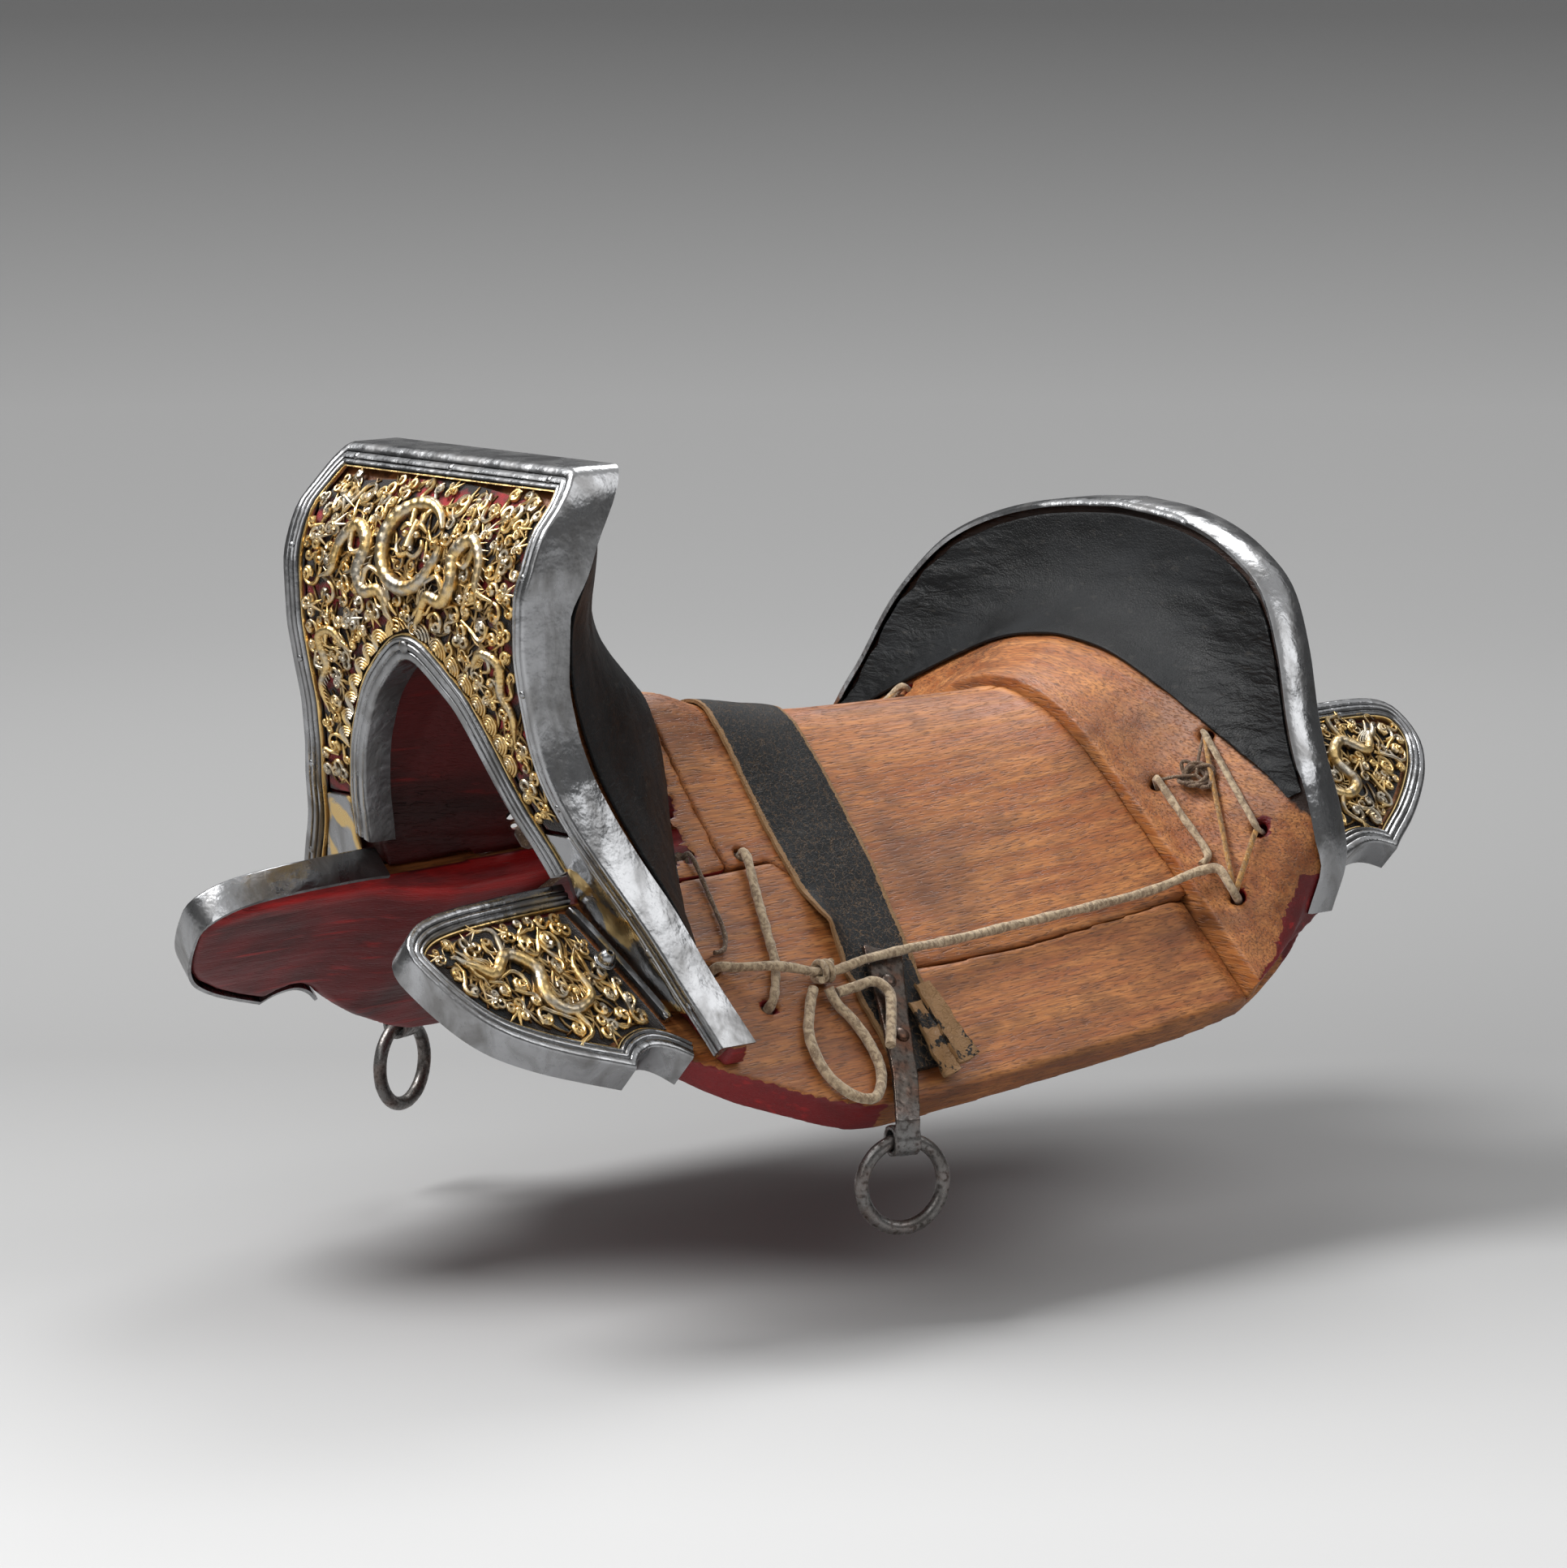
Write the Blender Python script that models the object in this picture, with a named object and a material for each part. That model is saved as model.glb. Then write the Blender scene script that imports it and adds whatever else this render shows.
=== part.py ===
"""A wooden riding saddle: two sideboards with lobed ends, seat panels, an arched pommel and cantle,
steel rims with pierced gilt panels, leather covers, girth strap, iron hangers and two girth rings.

Metres, +Z up, the pommel towards -Y, the rider's left side towards +X. The origin is in the tunnel
under the seat, on the ridge line where the saddle would rest above a horse's spine.
"""
import math

import bmesh
import bpy
import numpy as np
from mathutils import Matrix, Vector

# Driving dimensions of the wooden tree
GAP = 0.0003
FRONT_TIP = -0.2735
REAR_TIP = 0.3365
BOARD_SLOPE = 0.93
BOARD_THICKNESS = 0.020
LOBE_THICKNESS = 0.0120
BOARD_HALF_WIDTH = 0.166
SEAT_THICKNESS = 0.0095
SEAT_SEAM = 0.067
CREST_WIDTH = 0.035
CREST_RADIUS = 0.020
SEAT_FRONT = -0.086
SEAT_REAR = 0.144
CANTLE_STEP = 0.006
CANTLE_REAR = 0.202
REBATE_FRONT = -0.180

# Driving dimensions of the pommel and the cantle
POMMEL_TOP = 0.139
POMMEL_HALF_WIDTH = 0.0825
CANTLE_TOP = 0.090
CANTLE_HALF_WIDTH = 0.169
CANTLE_THICKNESS = 0.012
TUNNEL_STRAIGHT = -0.170

# Sheet metal, cloth and leather
RIM_THICKNESS = 0.0015
RIM_RAISE = 0.0045
POMMEL_STRIP = 0.0105
ARCH_STRIP = 0.0120
ARCH_REVEAL = 0.010
LOBE_STRIP = 0.0085
LOBE_ROOT_STRIP = 0.0035
CANTLE_FRONT_STRIP = 0.0035
CANTLE_REAR_STRIP = 0.0100
CANTLE_LIP = 0.0034
CANTLE_BACK_GAP = 0.0014
CANTLE_REAR_RAISE = 0.0028
CLOTH_THICKNESS = 0.0008
PANEL_THICKNESS = 0.0018
LEATHER_THICKNESS = 0.0015
LEATHER_STANDOFF = 0.0014
LEATHER_RECESS = 0.0030
LEATHER_END = -0.080
PANEL_LEG_END = -0.016
PANEL_MARGIN = 0.0007
LOBE_PANEL_MARGIN = 0.0010

# Girth strap, hangers and rings
STRAP_WIDTH = 0.050
STRAP_THICKNESS = 0.0030
STRAP_STANDOFF = 0.0005
STRAP_END = 0.157
HANGER_THICKNESS = 0.0025
HANGER_WIDTH = 0.0145
EYE_BORE = 0.0094
EYE_WALL = 0.0022
EYE_WIDTH = 0.0120
EYE_CENTRE = Vector((0.1725, -0.080, -0.1500))
EYE_AXIS = Vector((0.32, 0.947, 0.0)).normalized()
RING_DIAMETER = 0.045
RING_WIRE = 0.0065
RIVET_HEAD = 0.0070

# Holes and thongs
HOLE_DIAMETER = 0.0080
TIE_DIAMETER = 0.0048
LACE_DIAMETER = 0.0040
THIN_LACE = 0.0024
KNOT_DIAMETER = 0.0028
FRONT_HOLES = ((0.0581, -0.1028), (0.0624, -0.0742), (0.1209, -0.1100), (0.1022, -0.1261))
REAR_HOLES = (((0.0922, 0.1557, -0.0288), (0.48, -0.60, 0.64)),
              ((0.1013, 0.1781, -0.0081), (0.27, -0.76, 0.59)),
              ((0.1434, 0.1699, -0.0461), (0.35, -0.84, 0.42)),
              ((0.1450, 0.1538, -0.0752), (0.45, -0.74, 0.49)))

# The bow's two loops, across, along and extra height above the board
LONG_LOOP = ((0.1200, -0.0870, 0.0020), (0.1260, -0.0935, 0.0006), (0.1365, -0.1030, 0.0004),
             (0.1500, -0.1060, 0.0004), (0.1600, -0.1010, 0.0010), (0.1640, -0.0925, 0.0020),
             (0.1600, -0.0835, 0.0010), (0.1530, -0.0770, 0.0004), (0.1440, -0.0748, 0.0004),
             (0.1340, -0.0755, 0.0004), (0.1265, -0.0785, 0.0006), (0.1215, -0.0800, 0.0030))
SHORT_LOOP = ((0.1235, -0.0760, 0.0020), (0.1242, -0.0670, 0.0052), (0.1250, -0.0585, 0.0073),
              (0.1300, -0.0550, 0.0074), (0.1365, -0.0595, 0.0074), (0.1430, -0.0658, 0.0073),
              (0.1490, -0.0715, 0.0072))
STUD_PLACE = (0.0930, -0.1820)
CANTLE_PANEL_END = -0.050

SCENE_COLLECTION = "saddle"
CUTTER_COLLECTION = "cutters"


# Curves through hand-set knots

def smooth(knots):
    """A function through (position, value) knots that never overshoots between them."""
    px = np.array([k[0] for k in knots], dtype=float)
    py = np.array([k[1] for k in knots], dtype=float)
    step = np.diff(px)
    rise = np.diff(py) / step
    slope = np.zeros(len(px))
    slope[0] = rise[0]
    slope[-1] = rise[-1]
    for i in range(1, len(px) - 1):
        if rise[i - 1] * rise[i] > 0.0:
            w1 = 2.0 * step[i] + step[i - 1]
            w2 = step[i] + 2.0 * step[i - 1]
            slope[i] = (w1 + w2) / (w1 / rise[i - 1] + w2 / rise[i])

    def value(x):
        x = min(max(x, px[0]), px[-1])
        i = int(min(np.searchsorted(px, x, side="right") - 1, len(step) - 1))
        s = (x - px[i]) / step[i]
        a = (1.0 + 2.0 * s) * (1.0 - s) ** 2
        b = s * (1.0 - s) ** 2
        c = s * s * (3.0 - 2.0 * s)
        d = s * s * (s - 1.0)
        return float(a * py[i] + b * step[i] * slope[i] + c * py[i + 1] + d * step[i] * slope[i + 1])

    return value


def steps(start, end, most):
    count = max(2, int(math.ceil((end - start) / most)) + 1)
    return list(np.linspace(start, end, count))


def resample(points, count):
    """The points of a polyline at even spacing along it."""
    pts = np.array(points, dtype=float)
    run = np.concatenate([[0.0], np.cumsum(np.linalg.norm(np.diff(pts, axis=0), axis=1))])
    marks = np.linspace(0.0, run[-1], count)
    return [tuple(np.interp(m, run, pts[:, k]) for k in range(pts.shape[1])) for m in marks]


def spline(points, count):
    """Points at even spacing along a Catmull-Rom curve through hand-set points."""
    pts = [np.array(p, dtype=float) for p in points]
    pts = [2.0 * pts[0] - pts[1]] + pts + [2.0 * pts[-1] - pts[-2]]
    fine = []
    for i in range(1, len(pts) - 2):
        p0, p1, p2, p3 = pts[i - 1:i + 3]
        for s in np.linspace(0.0, 1.0, 12, endpoint=False):
            fine.append(0.5 * (2.0 * p1 + (p2 - p0) * s + (2.0 * p0 - 5.0 * p1 + 4.0 * p2 - p3) * s ** 2
                               + (3.0 * p1 - p0 - 3.0 * p2 + p3) * s ** 3))
    fine.append(pts[-2])
    return resample(fine, count)


def inset(outline, distance):
    """A polyline moved to its left side by a distance, with mitred corners."""
    pts = [np.array(p, dtype=float) for p in outline]
    moved = []
    for i, p in enumerate(pts):
        before = p - pts[i - 1] if i > 0 else pts[1] - p
        after = pts[i + 1] - p if i < len(pts) - 1 else p - pts[i - 1]
        before = before / np.linalg.norm(before)
        after = after / np.linalg.norm(after)
        n1 = np.array([-before[1], before[0]])
        n2 = np.array([-after[1], after[0]])
        mid = n1 + n2
        mid = mid / max(np.linalg.norm(mid), 1e-6)
        moved.append(tuple(p + mid * distance / max(float(mid @ n1), 0.5)))
    return moved


# The outer surface that the boards, seat panels and pads share

crown = smooth([(-0.30, 0.010), (-0.20, 0.015), (-0.10, 0.019), (0.0, 0.025),
                (0.10, 0.035), (0.20, 0.050), (0.34, 0.056)])
crest = smooth([(-0.13, 0.0200), (-0.105, 0.0235), (-0.079, 0.0260), (-0.045, 0.0165), (0.004, 0.0095),
                (0.09, 0.0075), (0.134, 0.0065), (0.18, 0.014), (0.25, 0.020)])


def surface(x, y):
    """Height of the tree's outer surface."""
    planes = crown(y) - math.hypot(BOARD_SLOPE * x, CREST_RADIUS)
    lift = crest(y) - (crown(y) - CREST_RADIUS)
    return planes + lift * math.exp(-(x / CREST_WIDTH) ** 2)


def tree_point(x, y, depth=0.0):
    """A point at a depth below the outer surface, measured square to it across the tree."""
    step = 1e-4
    fall = (surface(x + step, y) - surface(x - step, y)) / (2.0 * step)
    normal = Vector((-fall, 0.0, 1.0)).normalized()
    return Vector((x, y, surface(x, y))) - normal * depth


# Outlines of the sideboard, half width against place along the tree

WIDTH = BOARD_HALF_WIDTH / 0.166
top_edge = smooth([(-0.27, 0.0680), (-0.262, 0.0645), (-0.242, 0.0620), (-0.19, 0.0615), (0.0, 0.0620),
                   (0.20, 0.0640), (0.30, 0.0660), (0.32, 0.0675), (0.33, 0.0700)])
low_edge_middle = smooth([(-0.175, 0.1285), (-0.168, 0.1325), (-0.155, 0.1390 * WIDTH),
                          (-0.135, 0.1480 * WIDTH),
                          (-0.098, 0.1630 * WIDTH), (-0.085, 0.1660 * WIDTH), (0.0, 0.1660 * WIDTH),
                          (0.14, 0.1675 * WIDTH), (0.160, 0.1640 * WIDTH), (0.19, 0.1540 * WIDTH),
                          (0.212, 0.1430), (0.2225, 0.1358), (0.240, 0.1300)])
FRONT_LOBE = [(0.0615, -0.1800), (0.0615, -0.1920), (0.0615, -0.2050), (0.0617, -0.2200), (0.0620, -0.2350),
              (0.0635, -0.2540), (0.0665, -0.2650), (0.0715, FRONT_TIP + 0.0015), (0.0770, FRONT_TIP),
              (0.0830, FRONT_TIP + 0.0020),
              (0.0925, -0.2670), (0.1030, -0.2600), (0.1120, -0.2500), (0.1205, -0.2340), (0.1275, -0.2160),
              (0.1335, -0.1985), (0.1300, -0.1945), (0.1280, -0.1890), (0.1275, -0.1825), (0.1300, -0.1750),
              (0.1345, -0.1680)]
REAR_LOBE = [(0.0645, 0.2080), (0.0648, 0.2230), (0.0650, 0.2380), (0.0653, 0.2540), (0.0655, 0.2700),
             (0.0658, 0.2850), (0.0660, 0.3000), (0.0675, 0.3200), (0.0710, 0.3310),
             (0.0770, REAR_TIP - 0.0010), (0.0850, REAR_TIP), (0.0930, REAR_TIP - 0.0025),
             (0.1030, 0.3250), (0.1130, 0.3110), (0.1215, 0.2960), (0.1280, 0.2820), (0.1320, 0.2740),
             (0.1290, 0.2680), (0.1275, 0.2600), (0.1285, 0.2500), (0.1320, 0.2360), (0.1380, 0.2230)]


def lobe_edges(lobe, sign):
    """The wood's top and low edge in a lobe, inside its rim, as half width against place."""
    wood = inset(lobe, -sign * (RIM_THICKNESS + GAP))
    tip = int(np.argmin([sign * -p[1] for p in wood]))
    top = sorted((y, x) for x, y in wood[:tip + 1])
    low = sorted((y, x) for x, y in wood[tip:])
    return top, low


FRONT_TOP, FRONT_LOW = lobe_edges(FRONT_LOBE, -1.0)
REAR_TOP, REAR_LOW = lobe_edges(REAR_LOBE, 1.0)


def along(pairs, y):
    return float(np.interp(y, [p[0] for p in pairs], [p[1] for p in pairs]))


def board_top(y):
    if y < -0.180:
        return along(FRONT_TOP, y)
    if y > 0.2075:
        return along(REAR_TOP, y)
    return top_edge(y) + RIM_THICKNESS + GAP


def board_low(y):
    if y < -0.168:
        return along(FRONT_LOW, y)
    if y > 0.2232:
        return along(REAR_LOW, y)
    return low_edge_middle(y)


board_depth = smooth([(-0.28, 0.011), (-0.19, LOBE_THICKNESS), (-0.135, BOARD_THICKNESS),
                      (0.17, BOARD_THICKNESS), (0.225, LOBE_THICKNESS), (0.34, 0.011)])
seam_behind = smooth([(-0.09, SEAT_SEAM), (-0.062, SEAT_SEAM), (-0.028, 0.1185), (0.144, 0.1245)])


def seat_seam(y):
    return SEAT_SEAM if y < -0.062 else seam_behind(y)


def pad_half(y):
    """Half width of the cantle's raised pad, drawn in from the board's edge towards the rear."""
    return board_low(y) - 0.0005 - 0.0075 * min(max((y - SEAT_REAR) / 0.050, 0.0), 1.0)


# Profiles of the pommel, against height

pommel_front = smooth([(-0.115, -0.156), (-0.102, -0.159), (-0.070, -0.168), (-0.048, -0.176),
                       (-0.028, -0.184), (-0.010, -0.192), (0.012, -0.199), (0.030, -0.203),
                       (0.048, -0.207), (0.064, -0.2095), (0.086, -0.210), (0.098, -0.207),
                       (0.112, -0.201), (0.124, -0.190), (0.139, -0.177)])
pommel_rear = smooth([(-0.115, -0.140), (-0.102, -0.144), (-0.070, -0.153), (-0.048, -0.159),
                      (-0.028, -0.166), (-0.010, -0.173), (0.012, -0.180), (0.030, -0.185),
                      (0.050, -0.189), (0.075, -0.189), (0.090, -0.182), (0.110, -0.174),
                      (0.124, -0.166), (0.139, -0.157)])
pommel_swell = smooth([(-0.128, 0.004), (-0.115, 0.010), (-0.102, 0.015), (-0.067, 0.049),
                       (-0.043, 0.071),
                       (-0.015, 0.089), (0.010, 0.098), (0.030, 0.097), (0.043, 0.083),
                       (0.052, 0.073), (0.064, 0.065), (0.080, 0.060), (0.103, 0.046), (0.120, 0.020),
                       (0.139, 0.002)])
pommel_half = smooth([(-0.128, 0.1670), (-0.115, 0.1585), (-0.102, 0.1500), (-0.075, 0.1310),
                      (-0.048, 0.1150),
                      (-0.028, 0.1020), (-0.010, 0.0930), (0.012, 0.0845), (0.030, POMMEL_HALF_WIDTH - 0.0005),
                      (0.048, POMMEL_HALF_WIDTH - 0.0005), (0.064, POMMEL_HALF_WIDTH),
                      (0.086, POMMEL_HALF_WIDTH + 0.0010), (0.098, POMMEL_HALF_WIDTH + 0.0025),
                      (0.112, POMMEL_HALF_WIDTH + 0.0025), (0.124, POMMEL_HALF_WIDTH + 0.0015),
                      (0.139, POMMEL_HALF_WIDTH - 0.0035)])
STRETCH = POMMEL_TOP / 0.139
POMMEL_FOOT = -0.102
POMMEL_LEG_REACH = 0.139
CORE_RECESS = 0.0030


def squeezed(z):
    """The height on the pommel's drawn profile that a real height above the seat stands for."""
    return z / STRETCH if z > 0.0 else z


def pommel_outline():
    """Half of the pommel's outline, from the middle of its top edge down to its foot."""
    down = [z * STRETCH if z > 0.0 else z for z in
            (0.139, 0.132, 0.124, 0.116, 0.107, 0.098, 0.086, 0.073, 0.060, 0.045, 0.028, 0.010,
             -0.009, -0.028, -0.048, -0.066, -0.084, POMMEL_FOOT)]
    top = [(pommel_half(0.139) * f, POMMEL_TOP) for f in (0.0, 0.25, 0.5, 0.75)]
    return top + [(pommel_half(squeezed(z)), z) for z in down]


ARCH = [(0.0, 0.0520), (0.0045, 0.0510), (0.0090, 0.0482), (0.0155, 0.0430), (0.0265, 0.0325),
        (0.0345, 0.0205), (0.0415, 0.0080), (0.0485, -0.0075), (0.0555, -0.0225), (0.0620, -0.0385)]


def both_sides(half):
    """A half outline from the middle outwards, made whole from the left foot to the right one."""
    return [(-x, z) for x, z in reversed(half)] + [p for p in half if p[0] > 0.0]


def pommel_back(x, z):
    """The back of the pommel's wood: thin at the rim and swelling into the seat."""
    drawn = squeezed(z)
    half = pommel_half(drawn) - RIM_THICKNESS - GAP
    share = min(abs(x) / half, 1.0)
    y = pommel_rear(drawn) - LEATHER_RECESS + pommel_swell(drawn) * (1.0 - share ** 2)
    return min(y, SEAT_FRONT - 0.001)


# Profiles of the cantle

CANTLE_WIDTH = CANTLE_HALF_WIDTH / 0.169
CANTLE_RISE = CANTLE_TOP / 0.090
CANTLE_HALF = [(0.0, 0.0900), (0.035, 0.0875), (0.065, 0.0818), (0.092, 0.0718), (0.113, 0.0575),
               (0.132, 0.0320), (0.146, 0.0020), (0.159, -0.0220), (0.167, -0.0450), (0.169, -0.0620),
               (0.163, -0.0850)]
cantle_middle = smooth([(-0.110, 0.187), (-0.086, 0.189), (-0.058, 0.192), (-0.022, 0.192), (0.002, 0.197),
                        (0.032, 0.205), (0.057, 0.214), (0.072, 0.219), (0.082, 0.225), (0.090, 0.231),
                        (0.120, 0.245)])


def cantle_outline():
    """Half of the cantle's outline, from the middle of its top down to its foot."""
    half = [(x * CANTLE_WIDTH, z * CANTLE_RISE if z > 0.0 else z) for x, z in CANTLE_HALF]
    return [(0.0, half[0][1])] + spline(half, 15)[1:]


def cantle_y(z):
    return cantle_middle(z / CANTLE_RISE if z > 0.0 else z)


cantle_edge = smooth([(0.0, 0.0270), (0.030, 0.0235), (0.055, 0.0150), (0.077, 0.0053), (0.099, -0.0045),
                      (0.117, -0.0133), (0.143, -0.0262), (0.165, -0.0430)])
LEATHER_REACH = 0.84
LEATHER_FOOT = 0.163


def cantle_fan(share, x0, z0):
    """A fan line of the cantle: its rim point, the leather's lower edge and the foot on the step."""
    start = np.array([x0, cantle_y(z0) - CANTLE_THICKNESS / 2.0, z0])
    step = SEAT_REAR + 0.0025
    x2 = (pad_half(step) - 0.0006) * share
    foot = np.array(tree_point(x2, step, 0.0008 - CANTLE_STEP))
    if share < LEATHER_REACH:
        x1 = LEATHER_FOOT * CANTLE_WIDTH * share / LEATHER_REACH
        edge = np.array([x1, SEAT_REAR + 0.036, cantle_edge(x1 / CANTLE_WIDTH)])
    else:
        edge = start + 0.08 * (foot - start)
    return start, edge, foot


def cantle_front_row(start, edge, count):
    """Points down the dished front of the cantle, from its rim to the leather's lower edge."""
    if math.dist(start, edge) < 0.012:
        return [tuple(start + s * (edge - start)) for s in np.linspace(0.0, 1.0, count)]
    control = np.array([0.45 * start[0] + 0.55 * edge[0], start[1] - 0.22 * (start[1] - edge[1]) + 0.001,
                        0.18 * start[2] + 0.82 * edge[2]])
    return [tuple((1.0 - s) ** 2 * start + 2.0 * s * (1.0 - s) * control + s * s * edge)
            for s in np.linspace(0.0, 1.0, count)]


def cantle_fans():
    """Share along the outline, side and plan point of each fan line, from one foot to the other."""
    outline = inset(both_sides(cantle_outline()), -(RIM_THICKNESS + GAP))
    middle = len(outline) // 2
    half = outline[middle:]
    run = np.concatenate([[0.0], np.cumsum([math.dist(a, b) for a, b in zip(half, half[1:])])])
    shares = run / run[-1]
    right = [(float(share), 1.0, p[0], p[1]) for share, p in zip(shares, half)]
    left = [(share, -1.0, x, z) for share, _, x, z in reversed(right[1:])]
    return left + right


# Making of meshes

def collection(name):
    made = bpy.data.collections.new(name)
    bpy.context.scene.collection.children.link(made)
    return made


def material(name, colour, roughness, metallic):
    """A Principled material from an sRGB colour in three hex pairs."""
    made = bpy.data.materials.new(name)
    made.use_nodes = True
    shader = made.node_tree.nodes["Principled BSDF"]
    parts = [int(colour[i:i + 2], 16) / 255.0 for i in (0, 2, 4)]
    linear = [p / 12.92 if p <= 0.04045 else ((p + 0.055) / 1.055) ** 2.4 for p in parts]
    shader.inputs["Base Color"].default_value = (*linear, 1.0)
    shader.inputs["Roughness"].default_value = roughness
    shader.inputs["Metallic"].default_value = metallic
    return made


def finish(mesh_data, name, look, where):
    """Turn a bmesh into a named object with outward faces."""
    bmesh.ops.remove_doubles(mesh_data, verts=mesh_data.verts, dist=1e-6)
    bmesh.ops.dissolve_degenerate(mesh_data, edges=mesh_data.edges, dist=1e-6)
    bmesh.ops.recalc_face_normals(mesh_data, faces=mesh_data.faces)
    mesh = bpy.data.meshes.new(name)
    mesh_data.to_mesh(mesh)
    mesh_data.free()
    made = bpy.data.objects.new(name, mesh)
    if look is not None:
        mesh.materials.append(look)
    where.objects.link(made)
    return made


def loft(name, sections, look, where, closed=False, fan_ends=False):
    """A closed body through sections that all have the same number of points."""
    data = bmesh.new()
    rows = [[data.verts.new(Vector(p)) for p in section] for section in sections]
    count = len(rows[0])
    pairs = list(zip(rows, rows[1:]))
    if closed:
        pairs.append((rows[-1], rows[0]))
    for first, second in pairs:
        for i in range(count):
            j = (i + 1) % count
            data.faces.new((first[i], first[j], second[j], second[i]))
    if not closed:
        ends = [data.faces.new(rows[0]), data.faces.new(rows[-1])]
        if fan_ends:
            bmesh.ops.poke(data, faces=ends)
    return finish(data, name, look, where)


def sheet(name, grid, thickness, look, where, direction=None):
    """A thin body from a grid of points on its under side, thickened to the side it faces."""
    pts = np.array([[tuple(p) for p in row] for row in grid], dtype=float)
    across = np.gradient(pts, axis=0)
    down = np.gradient(pts, axis=1)
    normals = np.cross(across, down)
    normals = normals / np.linalg.norm(normals, axis=2, keepdims=True)
    if direction is not None:
        normals = np.array(direction, dtype=float)
    upper = pts + normals * thickness
    data = bmesh.new()
    low = [[data.verts.new(Vector(p)) for p in row] for row in pts]
    high = [[data.verts.new(Vector(p)) for p in row] for row in upper]
    rows, columns = len(low), len(low[0])
    for i in range(rows - 1):
        for j in range(columns - 1):
            data.faces.new((low[i][j], low[i + 1][j], low[i + 1][j + 1], low[i][j + 1]))
            data.faces.new((high[i][j], high[i][j + 1], high[i + 1][j + 1], high[i + 1][j]))
    for i in range(rows - 1):
        for j in (0, columns - 1):
            data.faces.new((low[i][j], low[i + 1][j], high[i + 1][j], high[i][j]))
    for j in range(columns - 1):
        for i in (0, rows - 1):
            data.faces.new((low[i][j], low[i][j + 1], high[i][j + 1], high[i][j]))
    return finish(data, name, look, where)


def lifted(grid, distance):
    """A grid of points moved square to itself."""
    pts = np.array([[tuple(p) for p in row] for row in grid], dtype=float)
    normals = np.cross(np.gradient(pts, axis=0), np.gradient(pts, axis=1))
    normals = normals / np.linalg.norm(normals, axis=2, keepdims=True)
    return pts + normals * distance


def boolean(target, cutter, operation):
    """Apply an exact Boolean and drop the cutter's object from the part."""
    step = target.modifiers.new(operation.lower(), "BOOLEAN")
    step.operation = operation
    step.solver = "EXACT"
    step.object = cutter
    cutter.hide_render = True
    cutter.display_type = "WIRE"


def mirrored_name(base, side):
    return f"{base}_{'left' if side > 0 else 'right'}"


# Sideboards and seat panels

SEAM_STATIONS = steps(-0.0618, -0.0280, 0.0085) + steps(-0.010, SEAT_REAR - 0.012, 0.029)


def board_section(y, side, seam, upper, outer):
    """One cross-section of a sideboard: a rebate for the seat above the seam, full depth below it."""
    top, low = board_top(y), board_low(y)
    seam = min(max(seam, top + 0.002), low - 0.002)
    depth = board_depth(y)
    bevel = min(0.003, depth / 4.0)
    inner_seam = seam + (GAP if upper > outer else 0.0)
    face = [(top, upper), (seam, upper)]
    face += [(x, outer) for x in np.linspace(inner_seam, low, 4)]
    back = [(low, depth - bevel), (low - bevel, depth)]
    back += [(top + bevel, depth), (top, depth - bevel)]
    return [Vector((side * p.x, p.y, p.z)) for p in (tree_point(x, y, t) for x, t in face + back)]


def sideboard(side, look, where):
    """A sideboard from one lobe's tip to the other."""
    marks = sorted({round(p[0], 6) for p in FRONT_TOP + FRONT_LOW})
    sections = [board_section(y, side, 0.09, 0.0, 0.0) for y in marks if y < REBATE_FRONT - 0.001]
    sections.append(board_section(REBATE_FRONT, side, 0.09, 0.0, 0.0))
    under = SEAT_THICKNESS + GAP
    middle = [y for y in marks if y > REBATE_FRONT + 0.0005] + steps(-0.155, -0.0625, 0.0155)
    for y in [REBATE_FRONT] + middle + SEAM_STATIONS:
        sections.append(board_section(y, side, seat_seam(y), under, 0.0))
    chamfer = 0.0055
    sections.append(board_section(SEAT_REAR - GAP, side, seat_seam(SEAT_REAR), under, chamfer))
    for y in steps(SEAT_REAR - GAP, CANTLE_REAR + GAP, 0.016):
        sections.append(board_section(y, side, seat_seam(SEAT_REAR), under, under))
    marks = sorted({round(p[0], 6) for p in REAR_TOP + REAR_LOW})
    sections.append(board_section(CANTLE_REAR + GAP, side, 0.09, 0.0, 0.0))
    sections += [board_section(y, side, 0.09, 0.0, 0.0) for y in marks if y > CANTLE_REAR + 0.001]
    return loft(mirrored_name("sideboard", side), sections, look, where)


CREST_COLUMNS = (0.0, 0.006, 0.012, 0.019, 0.027, 0.039, 0.055)


def seat_panel(side, look, where):
    """A seat panel from the ridge down to its seam with the sideboard."""
    sections = []
    front = SEAT_FRONT + GAP
    for y in steps(front, -0.0625, 0.008) + SEAM_STATIONS + [SEAT_REAR - GAP]:
        seam = seat_seam(y) - GAP
        columns = [max(x, GAP / 2.0) for x in CREST_COLUMNS]
        columns += list(np.linspace(CREST_COLUMNS[-1], seam, 4))[1:]
        face = [tree_point(x, y, 0.0) for x in columns]
        back = [tree_point(x, y, SEAT_THICKNESS) for x in reversed(columns)]
        sections.append([Vector((side * p.x, p.y, p.z)) for p in face + back])
    return loft(mirrored_name("seat_panel", side), sections, look, where)


# Cutters that shape the pommel and the cantle to the tree

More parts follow.
